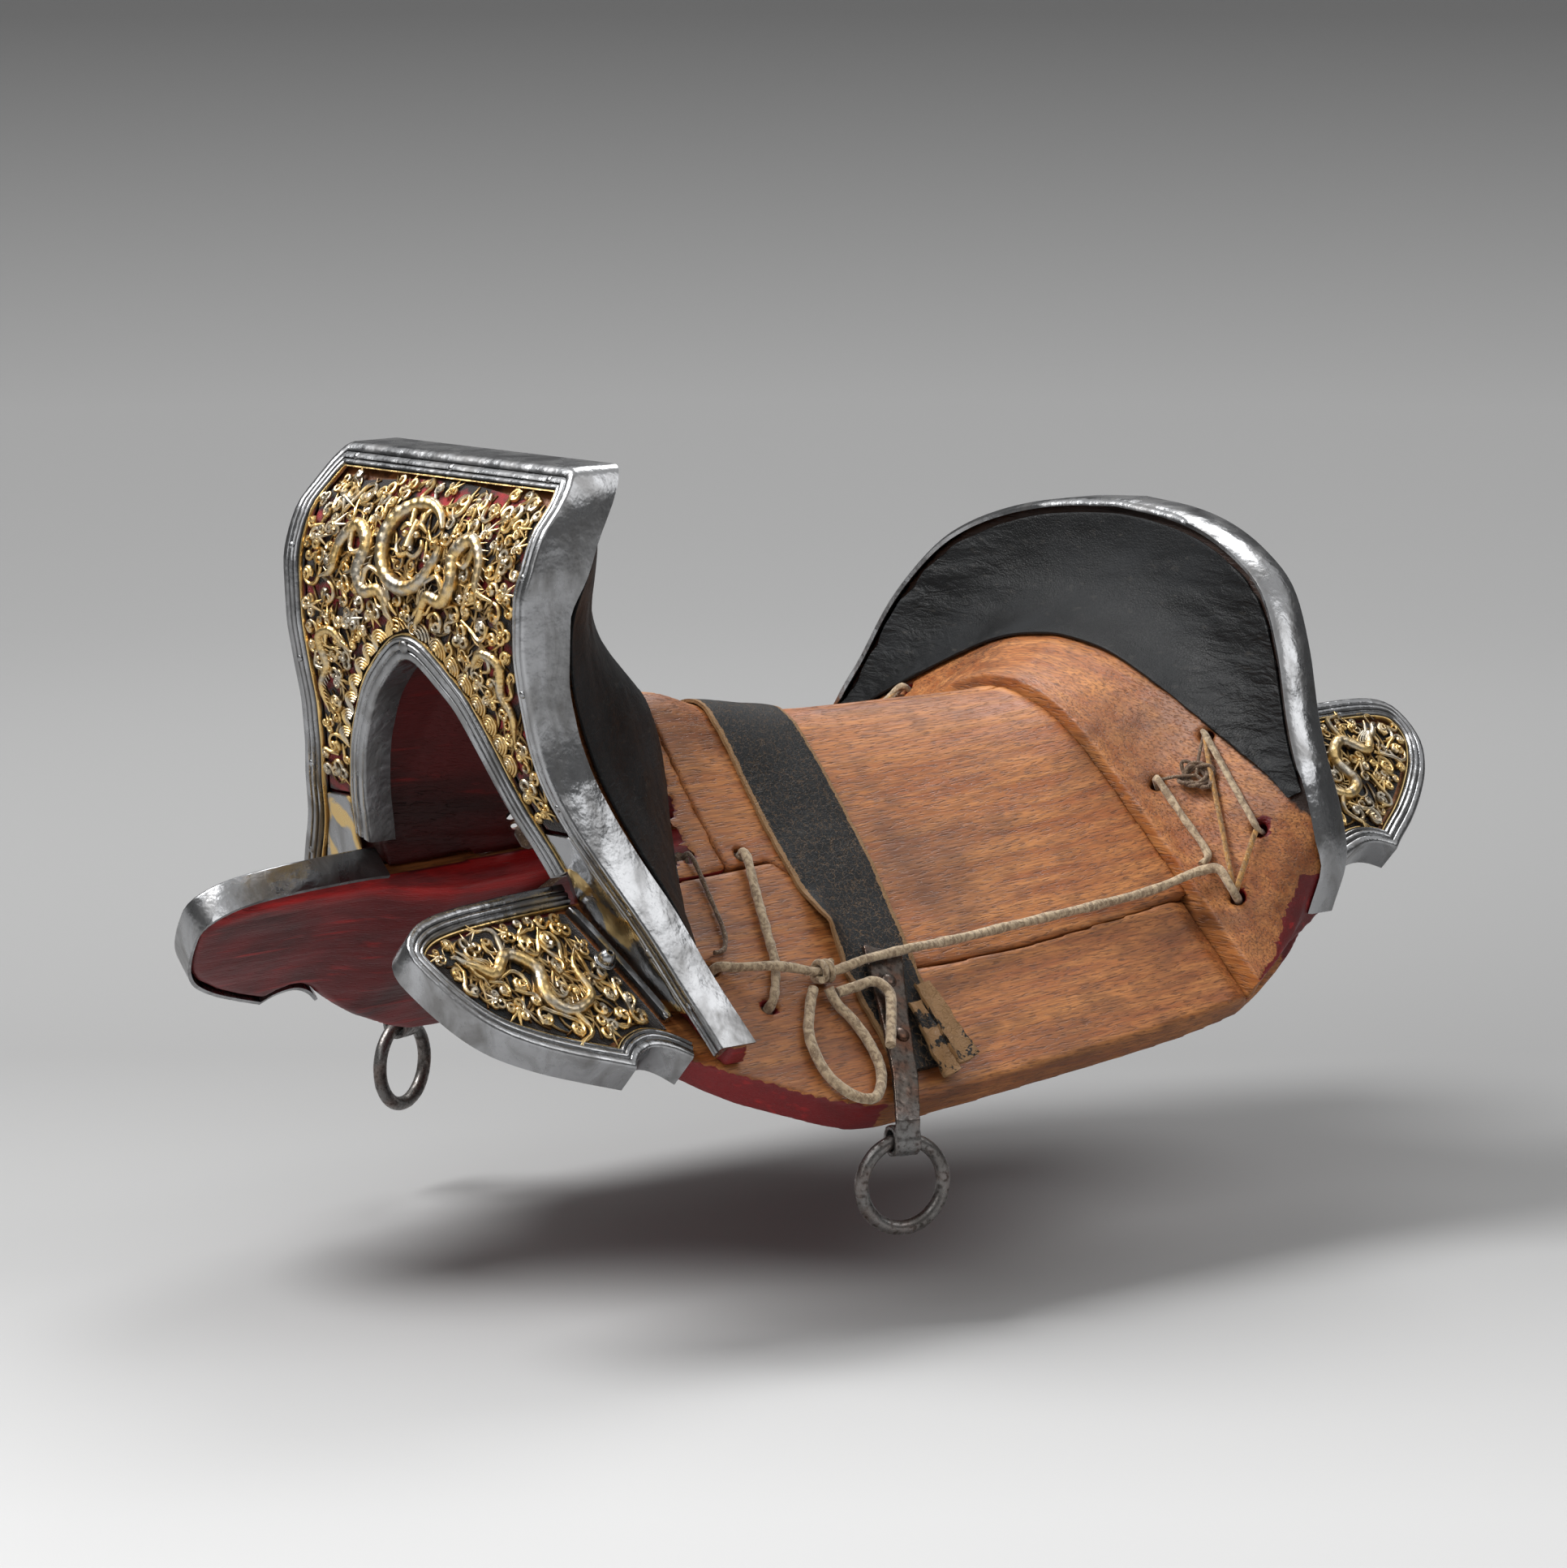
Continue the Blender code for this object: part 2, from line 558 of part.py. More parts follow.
def under_pommel(where):
    """The space under the pommel: deeper between the seams, and closed off square at the legs' feet."""
    sections = []
    shoulder = SEAT_SEAM - GAP
    for y in steps(-0.25, SEAT_FRONT + 0.02, 0.0105):
        half = [tree_point(x, y, SEAT_THICKNESS) for x in CREST_COLUMNS + (shoulder,)]
        half += [tree_point(x, y, -GAP) for x in (shoulder, 0.075, 0.085, 0.10, 0.12, POMMEL_LEG_REACH)]
        half += [tree_point(POMMEL_LEG_REACH, y, -0.08)]
        half += [Vector((0.30, y, half[-1].z)), Vector((0.30, y, -0.30))]
        sections.append([Vector((-p.x, p.y, p.z)) for p in reversed(half[1:])] + half)
    return loft("under_pommel", sections, None, where)


def under_cantle(where):
    """The space under the cantle: the seat's thickness below the surface, across the whole tree."""
    sections = []
    for y in steps(SEAT_REAR - 0.02, 0.26, 0.017):
        columns = CREST_COLUMNS + (0.065, 0.080, 0.095, 0.110, 0.125, 0.140, 0.160, 0.20)
        half = [tree_point(x, y, SEAT_THICKNESS) for x in columns]
        half += [Vector((0.30, y, half[-1].z)), Vector((0.30, y, -0.30))]
        sections.append([Vector((-p.x, p.y, p.z)) for p in reversed(half[1:])] + half)
    return loft("under_cantle", sections, None, where)


def opening_outline(half, floor):
    whole = both_sides(half)
    return [(whole[0][0], floor)] + whole + [(whole[-1][0], floor)]


def tunnel(name, front_half, rear_half, y_front, y_straight, y_rear, where):
    """The opening under an arch, straight behind its rim and then sinking to the seat's under side."""
    sections = []
    for half, y in ((front_half, y_front), (front_half, y_straight), (rear_half, y_rear)):
        sections.append([Vector((x, y, z)) for x, z in opening_outline(half, -0.20)])
    return loft(name, sections, None, where)


def pad_back(x, y):
    """A point well below the tree's surface, drawn towards the middle so that no two cross."""
    if x >= 0.050:
        return tree_point(x, y, 0.030)
    edge = tree_point(0.050, y, 0.030)
    return Vector((x * edge.x / 0.050, y, surface(x, y) + edge.z - surface(0.050, y)))


def pad(name, y0, y1, half_at, raise_by, where):
    """A saddle-shaped slab that follows the tree's outer surface on both sides of the ridge."""
    sections = []
    for y in steps(y0, y1, 0.0105):
        limit = half_at(y)
        columns = [x for x in CREST_COLUMNS if x < limit - 0.004]
        wide = list(np.linspace(columns[-1], limit, 4))[1:]
        columns = columns + wide
        face = [tree_point(x, y, -raise_by) for x in columns]
        back = [pad_back(x, y) for x in columns]
        ring = [Vector((-p.x, p.y, p.z)) for p in reversed(face[1:])] + face
        ring += list(reversed(back)) + [Vector((-p.x, p.y, p.z)) for p in back[1:]]
        sections.append(ring)
    return loft(name, sections, None, where)


def cylinder(name, centre, axis, diameter, length, look, where, segments=12, top=1.0):
    """A round bar or a cone, its top end's size given as a share of its base."""
    data = bmesh.new()
    bmesh.ops.create_cone(data, cap_ends=True, segments=segments, radius1=diameter / 2.0,
                          radius2=top * diameter / 2.0, depth=length)
    turn = Vector((0.0, 0.0, 1.0)).rotation_difference(Vector(axis))
    place = Matrix.Translation(Vector(centre)) @ turn.to_matrix().to_4x4()
    bmesh.ops.transform(data, matrix=place, verts=data.verts)
    return finish(data, name, look, where)


def drill(name, foot, out, side, where, depth=0.013):
    """A lacing hole's cutter, from just above a point on the wood to a depth below it."""
    centre = Vector(foot) + Vector(out).normalized() * (0.006 - depth) / 2.0
    return cylinder(name, (side * centre.x, centre.y, centre.z), (side * out[0], out[1], out[2]),
                    HOLE_DIAMETER, depth + 0.006, None, where, 10)


def surface_drill(name, x, y, side, where, depth=0.035):
    """A lacing hole's cutter, square to the tree's surface."""
    foot = tree_point(x, y, 0.0)
    return drill(name, foot, tree_point(x, y, -0.01) - foot, side, where, depth)


# Pommel

def arch_cut(extra):
    """The arch opening of the wood, wider than the rim's outline by the rim's own thickness."""
    whole = inset(both_sides(ARCH), extra)
    return [p for p in whole if p[0] >= -1e-9]


def pommel_core(look, where, cutters):
    """The pommel's wood: an upright plate that swells into the seat and straddles the tree."""
    sections = []
    rim = RIM_THICKNESS + GAP
    for z in pommel_levels():
        drawn = squeezed(z)
        slope = (pommel_half(drawn + 0.002) - pommel_half(drawn - 0.002)) / 0.004
        half = pommel_half(drawn) - rim * math.hypot(1.0, slope)
        front = pommel_front(drawn) + CORE_RECESS
        back = [Vector((half * s, pommel_back(half * s, z), z)) for s in POMMEL_SHARES]
        face = [Vector((-half, front, z)), Vector((0.0, front, z)), Vector((half, front, z))]
        sections.append(face + back)
    body = loft("pommel_core", sections, look, where)
    slab = pad("pommel_pad", TUNNEL_STRAIGHT, SEAT_FRONT, lambda y: SEAT_SEAM - GAP, 0.0, cutters)
    below = under_pommel(cutters)
    rear_arch = [(x, tree_point(x, SEAT_FRONT, SEAT_THICKNESS).z - 0.001) for x in
                 (0.0, 0.004, 0.008, 0.014, 0.022, 0.030, 0.038, 0.046, 0.054, 0.0605)]
    rim_cut = arch_cut(rim)
    passage = tunnel("pommel_tunnel", rim_cut, rear_arch, -0.25, TUNNEL_STRAIGHT, SEAT_FRONT, cutters)
    boolean(body, slab, "UNION")
    for side in (1.0, -1.0):
        hole = surface_drill(mirrored_name("pommel_hole", side), *FRONT_HOLES[0], side, cutters)
        boolean(body, hole, "DIFFERENCE")
    boolean(body, below, "DIFFERENCE")
    boolean(body, passage, "DIFFERENCE")
    return body


def pommel_levels():
    """Heights of the pommel's sections, from below its feet to its top."""
    levels = [-0.128, -0.115] + [p[1] for p in reversed(pommel_outline()) if p[1] < POMMEL_TOP - 1e-6]
    return levels + [POMMEL_TOP - 0.003, POMMEL_TOP - RIM_THICKNESS - GAP]


POMMEL_SHARES = [math.cos(a) for a in np.linspace(0.0, math.pi, 17)]


def pommel_leather(look, where, cutters):
    """The black leather over the pommel's back, down to where the swell meets the seat."""
    grid = []
    for share in [0.985 * s for s in POMMEL_SHARES[1:-1]]:
        column = []
        for z in [z for z in pommel_levels()[:-1] if z > LEATHER_END]:
            half = pommel_half(squeezed(z)) - RIM_THICKNESS - GAP
            column.append((share * half, pommel_back(share * half, z), z))
        grid.append(column)
    raised = lifted(grid, LEATHER_STANDOFF)
    body = sheet("pommel_leather", raised, LEATHER_THICKNESS, look, where)
    sections = []
    for y in steps(-0.22, -0.060, 0.0125):
        half = [tree_point(x, y, -0.0012) for x in CREST_COLUMNS + (0.070, 0.090, 0.115, 0.20)]
        half.append(Vector((0.20, y, -0.30)))
        sections.append([Vector((-p.x, p.y, p.z)) for p in reversed(half[1:])] + half)
    below = loft("under_leather", sections, None, cutters)
    boolean(body, below, "DIFFERENCE")
    return body


def rim_sections(outline, width, front, back_edge, inward):
    """L-shaped sections: a raised strip on the front face and a band round the edge."""
    inner = inset(outline, inward * width)
    core = inset(outline, inward * RIM_THICKNESS)
    sections = []
    for edge, strip, band in zip(outline, inner, core):
        sections.append([front(strip, RIM_RAISE), front(edge, RIM_RAISE), back_edge(edge), back_edge(band),
                         front(band, GAP), front(strip, GAP)])
    return sections


def pommel_front_point(point, height):
    x, z = point
    return Vector((x, pommel_front(squeezed(z)) - height, z))


def pommel_rear_point(point):
    x, z = point
    return Vector((x, pommel_rear(squeezed(z)), z))


def pommel_rim(look, where):
    outline = both_sides(pommel_outline())
    sections = rim_sections(outline, POMMEL_STRIP, pommel_front_point, pommel_rear_point, -1.0)
    return loft("pommel_rim", sections, look, where)


def arch_rim(look, where):
    """The steel lining of the pommel's arch: a front strip and a reveal inside the opening."""
    outline = spline(both_sides(ARCH), 41)

    def reveal(point):
        x, z = point
        return Vector((x, pommel_front(z) + ARCH_REVEAL, z))

    sections = rim_sections(outline, ARCH_STRIP, pommel_front_point, reveal, 1.0)
    return loft("pommel_arch_rim", sections, look, where)


PANEL_LEVELS = (PANEL_LEG_END, -0.003, 0.010, 0.022, 0.033, 0.041, 0.048, 0.055, 0.060, 0.063, 0.072, 0.083, 0.093,
                0.101, 0.108, 0.115, 0.122)


def side_at(curve, level):
    """How far out a half curve is at a height."""
    falling = sorted((z, x) for x, z in curve)
    return float(np.interp(level, [p[0] for p in falling], [p[1] for p in falling]))


def field_sides():
    """The right halves of the two curves that bound the pommel's field."""
    arch = inset(both_sides(ARCH), ARCH_STRIP + PANEL_MARGIN)
    outer = inset(both_sides(pommel_outline()), -(POMMEL_STRIP + PANEL_MARGIN))
    return [p for p in arch if p[0] >= -1e-9], [p for p in outer if p[0] > 0.01]


def pommel_field(name, height, thickness, look, where):
    """A plate that fills the pommel's field between its two rims, in rows at even heights."""
    arch, outer = field_sides()
    apex = arch[0][1]
    top = POMMEL_TOP - POMMEL_STRIP - PANEL_MARGIN
    levels = [z * STRETCH if z > 0.0 else z for z in PANEL_LEVELS]
    levels = sorted({z for z in levels if abs(z - apex) > 0.001} | {apex, top})
    data = bmesh.new()
    for side in (1.0, -1.0):
        rows = []
        for z in levels:
            x_in = side_at(arch, z) if z < apex else 0.0
            x_out = side_at(outer, z)
            rows.append([data.verts.new(pommel_front_point((side * (x_in + f * (x_out - x_in)), z), height))
                         for f in np.linspace(0.0, 1.0, 4)])
        for low, high in zip(rows, rows[1:]):
            for i in range(3):
                data.faces.new((low[i], low[i + 1], high[i + 1], high[i]))
    bmesh.ops.remove_doubles(data, verts=data.verts, dist=1e-6)
    bmesh.ops.recalc_face_normals(data, faces=data.faces)
    made = bmesh.ops.extrude_face_region(data, geom=list(data.faces))
    moved = [v for v in made["geom"] if isinstance(v, bmesh.types.BMVert)]
    bmesh.ops.translate(data, verts=moved, vec=(0.0, -thickness, 0.0))
    return finish(data, name, look, where)


def leg_plate(side, look, where):
    """The plain plate on the lower part of a pommel leg."""
    margin = 0.0008
    outer = inset(both_sides(pommel_outline()), -(POMMEL_STRIP + margin))
    outer = [p for p in outer if p[0] > 0.0 and p[1] <= 0.0]
    arch = inset(both_sides(ARCH), ARCH_STRIP + margin)
    arch = [p for p in arch if p[0] > 0.0 and p[1] <= 0.0]
    start = PANEL_LEG_END - 0.0010
    grid = []
    for s in np.linspace(0.0, 1.0, 10):
        z = start + s * (POMMEL_FOOT + 0.0115 - start)
        x_out = float(np.interp(z, [p[1] for p in reversed(outer)], [p[0] for p in reversed(outer)]))
        x_in = float(np.interp(z, [p[1] for p in reversed(arch)], [p[0] for p in reversed(arch)]))
        y = pommel_front(z)
        while surface(x_in, y) + 0.0022 > z and x_in < x_out - 0.002:
            x_in += 0.0005
        row = [pommel_front_point((x_in + f * (x_out - x_in), z), GAP) for f in np.linspace(0.0, 1.0, 4)]
        grid.append([Vector((side * p.x, p.y, p.z)) for p in (row if side > 0 else reversed(row))])
    return sheet(mirrored_name("pommel_leg_plate", side), grid, PANEL_THICKNESS, look, where)


# Cantle

def cantle_core(look, where, cutters):
    """The cantle's wood: a leaning dished plate on a raised pad."""
    sections = []
    for share, side, x0, z0 in cantle_fans():
        start, edge, foot = cantle_fan(share, x0, z0)
        ring = cantle_front_row(start, edge, 5)
        for s, sag in ((0.35, 0.0012), (0.7, 0.0012), (1.0, 0.0)):
            p = edge + s * (foot - edge)
            ring.append((p[0], p[1] + sag, p[2] - sag))
        x3 = foot[0] * pad_half(CANTLE_REAR) / pad_half(foot[1])
        low = surface(x3, CANTLE_REAR)
        rear = cantle_y(low) + CANTLE_THICKNESS / 2.0
        below = Vector((0.0, 0.0, -0.004))
        ring += [tuple(pad_back(foot[0], foot[1]) + below), tuple(pad_back(x3, rear) + below)]
        for s in (1.0, 0.7, 0.4, 0.2, 0.0):
            z = z0 + s * (low - z0)
            ring.append((x0 + s * (x3 - x0), cantle_y(z) + CANTLE_THICKNESS / 2.0, z))
        sections.append([Vector((side * x, y, z)) for x, y, z in ring])
    body = loft("cantle_core", sections, look, where, fan_ends=True)
    slab = pad("cantle_pad", SEAT_REAR, CANTLE_REAR, pad_half, CANTLE_STEP, cutters)
    below = under_cantle(cutters)
    boolean(body, slab, "UNION")
    boolean(body, below, "DIFFERENCE")
    for side in (1.0, -1.0):
        for i, (place, out) in enumerate(REAR_HOLES):
            hole = drill(mirrored_name(f"cantle_hole_{i}", side), place, out, side, cutters)
            boolean(body, hole, "DIFFERENCE")
    return body


def cantle_leather(look, where):
    """The black leather on the cantle's dished front."""
    grid = []
    for share, side, x0, z0 in cantle_fans():
        if share > LEATHER_REACH - 0.05:
            continue
        start, edge, _ = cantle_fan(share, x0, z0)
        row = cantle_front_row(start, edge, 25)
        skip = min(0.005 / math.dist(start, edge), 0.3)
        fine = resample(row, 101)
        column = [fine[int(round(100 * s))] for s in np.linspace(skip, 0.99, 7)]
        grid.append([(side * x, y, z) for x, y, z in reversed(column)])
    raised = lifted(grid, LEATHER_STANDOFF)
    return sheet("cantle_leather", raised, LEATHER_THICKNESS, look, where)


def cantle_rim(look, where):
    """The steel rim round the cantle: a narrow front bead, a band, and a wider strip behind."""
    outline = both_sides(cantle_outline())
    narrow = inset(outline, -RIM_THICKNESS - GAP)
    wide = inset(outline, -CANTLE_FRONT_STRIP)
    front_edge = [w if o[1] > -0.020 else n for o, w, n in zip(outline, wide, narrow)]
    rear_edge = inset(outline, -CANTLE_REAR_STRIP)
    core = inset(outline, -RIM_THICKNESS)
    half = CANTLE_THICKNESS / 2.0
    lip_at = smooth([(-0.100, -0.0010), (-0.066, -0.0008), (-0.048, CANTLE_LIP), (0.100, CANTLE_LIP)])
    sections = []
    for o, f, r, c in zip(outline, front_edge, rear_edge, core):
        lip = half + lip_at(o[1])
        under = lip - RIM_THICKNESS
        sections.append([Vector((f[0], cantle_y(f[1]) - lip, f[1])),
                         Vector((o[0], cantle_y(o[1]) - lip, o[1])),
                         Vector((o[0], cantle_y(o[1]) + half + CANTLE_REAR_RAISE, o[1])),
                         Vector((r[0], cantle_y(r[1]) + half + CANTLE_REAR_RAISE, r[1])),
                         Vector((r[0], cantle_y(r[1]) + half + CANTLE_BACK_GAP, r[1])),
                         Vector((c[0], cantle_y(c[1]) + half + CANTLE_BACK_GAP, c[1])),
                         Vector((c[0], cantle_y(c[1]) - under, c[1])),
                         Vector((f[0], cantle_y(f[1]) - under, f[1]))])
    return loft("cantle_rim", sections, look, where)


# Lobes

def lobe_rim(name, lobe, sign, side, look, where):
    """The steel rim round a lobe: a raised strip on its face and a band round its edge."""
    inner = inset(lobe, -sign * LOBE_STRIP)
    core = inset(lobe, -sign * RIM_THICKNESS)
    sections = []
    for edge, strip, band in zip(lobe, inner, core):
        depth = board_depth(edge[1]) - 0.0005
        ring = [tree_point(*strip, -RIM_RAISE), tree_point(*edge, -RIM_RAISE), tree_point(*edge, depth),
                tree_point(*band, depth), tree_point(*band, -GAP), tree_point(*strip, -GAP)]
        sections.append([Vector((side * p.x, p.y, p.z)) for p in ring])
    return loft(name, sections, look, where)


def lobe_root(x, sign):
    """Where a lobe's field starts, just clear of the foot of the pommel or the cantle."""
    if sign > 0:
        return 0.2165
    y = -0.175
    for _ in range(3):
        y = pommel_front(surface(x, y) + 0.0065) - 0.0030
    return y


def lobe_field(lobe, sign, margin):
    """The two curves that bound a lobe's gilt field, from its root to its tip."""
    inner = inset(lobe, -sign * (LOBE_STRIP + margin))
    tip = int(np.argmax([sign * p[1] for p in inner]))
    curves = []
    for curve in (inner[:tip + 1], list(reversed(inner[tip:]))):
        curve = [(x, y) for x, y in curve if sign * (y - lobe_root(x, sign)) > LOBE_ROOT_STRIP + margin]
        x = curve[0][0]
        root = lobe_root(x, sign) + sign * (LOBE_ROOT_STRIP + margin)
        curves.append(resample([(x, root)] + curve, 27))
    return curves


def lobe_plate(name, lobe, sign, side, height, thickness, look, where):
    """A plate that fills a lobe's field."""
    upper, lower = lobe_field(lobe, sign, LOBE_PANEL_MARGIN)
    grid = []
    for i in list(range(0, 26, 2)) + [25]:
        row = []
        for f in np.linspace(0.0, 1.0, 3):
            x = upper[i][0] + f * (lower[i][0] - upper[i][0])
            y = upper[i][1] + f * (lower[i][1] - upper[i][1])
            p = tree_point(x, y, -height)
            row.append(Vector((side * p.x, p.y, p.z)))
        grid.append(row)
    if side * sign > 0:
        grid = list(reversed(grid))
    return sheet(name, grid, thickness, look, where)


def lobe_strip(name, lobe, sign, side, look, where):
    """The flat border strip of a lobe's field, beside the foot of the pommel or cantle."""
    inner = inset(lobe, -sign * (LOBE_STRIP + 0.0006))
    top, low = inner[0][0], inner[-3][0]
    sections = []
    for f in np.linspace(0.0, 1.0, 8):
        x = top + f * (low - top)
        y0 = lobe_root(x, sign)
        y1 = y0 + sign * LOBE_ROOT_STRIP
        ring = [tree_point(x, y0, -RIM_RAISE), tree_point(x, y1, -RIM_RAISE), tree_point(x, y1, -GAP),
                tree_point(x, y0, -GAP)]
        sections.append([Vector((side * p.x, p.y, p.z)) for p in ring])
    return loft(name, sections, look, where)


# The strap across the seat, its hangers and rings

strap_middle = smooth([(0.0, -0.024), (0.08, -0.0345), (0.117, -0.0425), (0.16, -0.052)])
strap_half = smooth([(0.0, STRAP_WIDTH / 2.0), (0.06, STRAP_WIDTH / 2.0 - 0.001), (0.10, 0.0210),
                     (0.13, 0.0185), (0.16, 0.0165)])


def girth_strap(look, where):
    """The leather strap over the seat, from one hanger to the other."""
    columns = list(CREST_COLUMNS) + list(np.linspace(0.062, STRAP_END, 9))
    whole = [-x for x in reversed(columns[1:])] + columns
    sections = []
    for x in whole:
        ring = []
        middle, half = strap_middle(abs(x)), strap_half(abs(x))
        for f in (-1.0, -0.34, 0.34, 1.0):
            ring.append(tree_point(x, middle + f * half, -STRAP_STANDOFF - STRAP_THICKNESS))
        for f in (1.0, 0.34, -0.34, -1.0):
            ring.append(tree_point(x, middle + f * half, -STRAP_STANDOFF))
        sections.append(ring)
    return loft("girth_strap", sections, look, where)


HANGER_LIFT = STRAP_STANDOFF + STRAP_THICKNESS + 2.0 * GAP


def hanger_frame(side):
    """The middle line of a hanger's under side with its width direction at each point."""
    places = [(0.1125, -0.0400), (0.125, -0.0480), (0.138, -0.0562), (0.150, -0.0638), (0.1590, -0.0695)]
    line = [tree_point(x, y, -HANGER_LIFT) for x, y in places]
    return [Vector((side * p.x, p.y, p.z)) for p in line]


def hanger(side, look, where, cutters):
    """An iron hanger: a flat bar over the strap, bent down over the board's edge to an eye."""
    eye = Vector((side * EYE_CENTRE.x, EYE_CENTRE.y, EYE_CENTRE.z))
    axis = Vector((side * EYE_AXIS.x, EYE_AXIS.y, 0.0))
    radius = EYE_BORE / 2.0 + EYE_WALL
    line = hanger_frame(side)
    normal = (tree_point(0.13, -0.05, -0.01) - tree_point(0.13, -0.05, 0.0)).normalized()
    normal = Vector((side * normal.x, normal.y, normal.z))
    sections = []
    widths = (0.0195, 0.0165, 0.0140, 0.0130, 0.0125)
    for i, p in enumerate(line):
        before = line[max(i - 1, 0)]
        after = line[min(i + 1, len(line) - 1)]
        run = (after - before).normalized()
        across = normal.cross(run).normalized() * widths[i] / 2.0
        ring = [p - across, p + across, p + across + normal * HANGER_THICKNESS,
                p - across + normal * HANGER_THICKNESS]
        sections.append(ring)
    neck = axis.normalized() * (EYE_WIDTH / 2.0 - 0.0005)
    outward = Vector((side, 0.0, 0.0)) - axis * (side * axis.x)
    outward = outward.normalized()
    if outward.x * side < 0:
        outward = -outward
    if (sections[-1][1] - sections[-1][0]).dot(neck) < 0:
        neck = -neck
    for lift in (0.0100, 0.0015):
        place = eye + outward * (radius - HANGER_THICKNESS - 0.0004) + Vector((0.0, 0.0, lift))
        sections.append([place - neck, place + neck, place + neck + outward * HANGER_THICKNESS,
                         place - neck + outward * HANGER_THICKNESS])
    body = loft(mirrored_name("hanger", side), sections, look, where)
    data = bmesh.new()
    bmesh.ops.create_cone(data, cap_ends=True, segments=28, radius1=radius, radius2=radius, depth=EYE_WIDTH)
    turn = Vector((0.0, 0.0, 1.0)).rotation_difference(axis)
    place = Matrix.Translation(eye) @ turn.to_matrix().to_4x4()
    bmesh.ops.transform(data, matrix=place, verts=data.verts)
    boss = finish(data, mirrored_name("hanger_eye", side), None, cutters)
    data = bmesh.new()
    bmesh.ops.create_cone(data, cap_ends=True, segments=28, radius1=EYE_BORE / 2.0, radius2=EYE_BORE / 2.0,
                          depth=EYE_WIDTH * 2.0)
    bmesh.ops.transform(data, matrix=place, verts=data.verts)
    bore = finish(data, mirrored_name("hanger_bore", side), None, cutters)
    boolean(body, boss, "UNION")
    boolean(body, bore, "DIFFERENCE")
    return body


def girth_ring(side, look, where):
    """A forged ring that hangs in a hanger's eye, with its origin on the eye's axis."""
    eye = Vector((side * EYE_CENTRE.x, EYE_CENTRE.y, EYE_CENTRE.z))
    axis = Vector((side * EYE_AXIS.x, EYE_AXIS.y, 0.0)).normalized()
    major = (RING_DIAMETER - RING_WIRE) / 2.0
    bpy.ops.mesh.primitive_torus_add(major_segments=26, minor_segments=8, major_radius=major,
                                     minor_radius=RING_WIRE / 2.0)
    made = bpy.context.object
    made.name = mirrored_name("girth_ring", side)
    made.data.name = made.name
    normal = axis.cross(Vector((0.0, 0.0, 1.0)))
    turn = Vector((0.0, 0.0, 1.0)).rotation_difference(normal)
    made.data.transform(turn.to_matrix().to_4x4())
    made.data.transform(Matrix.Translation((0.0, 0.0, -major)))
    made.location = eye
    made.data.materials.append(look)
    made.data.shade_smooth()
    for old in list(made.users_collection):
        old.objects.unlink(made)
    where.objects.link(made)
    return made


def rivet(name, x, y, side, look, where):
    """A domed rivet head on a hanger."""
    foot = tree_point(x, y, -HANGER_LIFT - HANGER_THICKNESS - GAP)
    out = (tree_point(x, y, -0.02) - foot).normalized()
    centre = foot + out * 0.0007
    return cylinder(name, (side * centre.x, centre.y, centre.z), (side * out.x, out.y, out.z), RIVET_HEAD,
                    0.0014, look, where, 14, 0.62)


# The cantle's back, drawn like the pommel's front

def clip_low(points, low):
    """The part of a curve above a height, with its two ends on that height."""
    kept = []
    for i, p in enumerate(points):
        if p[1] >= low:
            if i > 0 and points[i - 1][1] < low:
                kept.append(cross_level(points[i - 1], p, low))
            kept.append(p)
            if i < len(points) - 1 and points[i + 1][1] < low:
                kept.append(cross_level(p, points[i + 1], low))
    return kept


def cross_level(a, b, level):
    s = (level - a[1]) / (b[1] - a[1])
    return (a[0] + s * (b[0] - a[0]), level)


def cantle_rear_point(point, height):
    x, z = point
    return Vector((x, cantle_y(z) + CANTLE_THICKNESS / 2.0 + height, z))


def cantle_arch(margin):
    """The curve just above the tree along the cantle's back, raised by a margin."""
    half = []
    for x in (0.0, 0.008, 0.016, 0.026, 0.038, 0.052, 0.068, 0.086, 0.104, 0.122, 0.136):
        half.append((x, surface(x, CANTLE_REAR) + 0.0110))
    return inset(both_sides(half), margin)


def cantle_arch_rim(look, where):
    low, high = cantle_arch(0.0), cantle_arch(CANTLE_REAR_STRIP)
    sections = []
    for a, b in zip(low, high):
        sections.append([cantle_rear_point(a, CANTLE_BACK_GAP), cantle_rear_point(b, CANTLE_BACK_GAP),
                         cantle_rear_point(b, CANTLE_BACK_GAP + CANTLE_REAR_RAISE),
                         cantle_rear_point(a, CANTLE_BACK_GAP + CANTLE_REAR_RAISE)])
    return loft("cantle_arch_rim", sections, look, where)


def cantle_field(name, height, thickness, look, where):
    """A plate that fills the field on the cantle's back between its two rims."""
    low = clip_low(cantle_arch(CANTLE_REAR_STRIP + PANEL_MARGIN), CANTLE_PANEL_END)
    outline = inset(both_sides(cantle_outline()), -(CANTLE_REAR_STRIP + PANEL_MARGIN))
    high = clip_low(outline, CANTLE_PANEL_END)
    low, high = resample(low, 25), resample(high, 25)
    grid = []
    for a, b in zip(low, high):
        row = []
        for s in np.linspace(0.0, 1.0, 4):
            row.append(cantle_rear_point((a[0] + s * (b[0] - a[0]), a[1] + s * (b[1] - a[1])), height))
        grid.append(list(reversed(row)))
    return sheet(name, grid, thickness, look, where, (0.0, 1.0, 0.0))


# Studs, thongs and knots

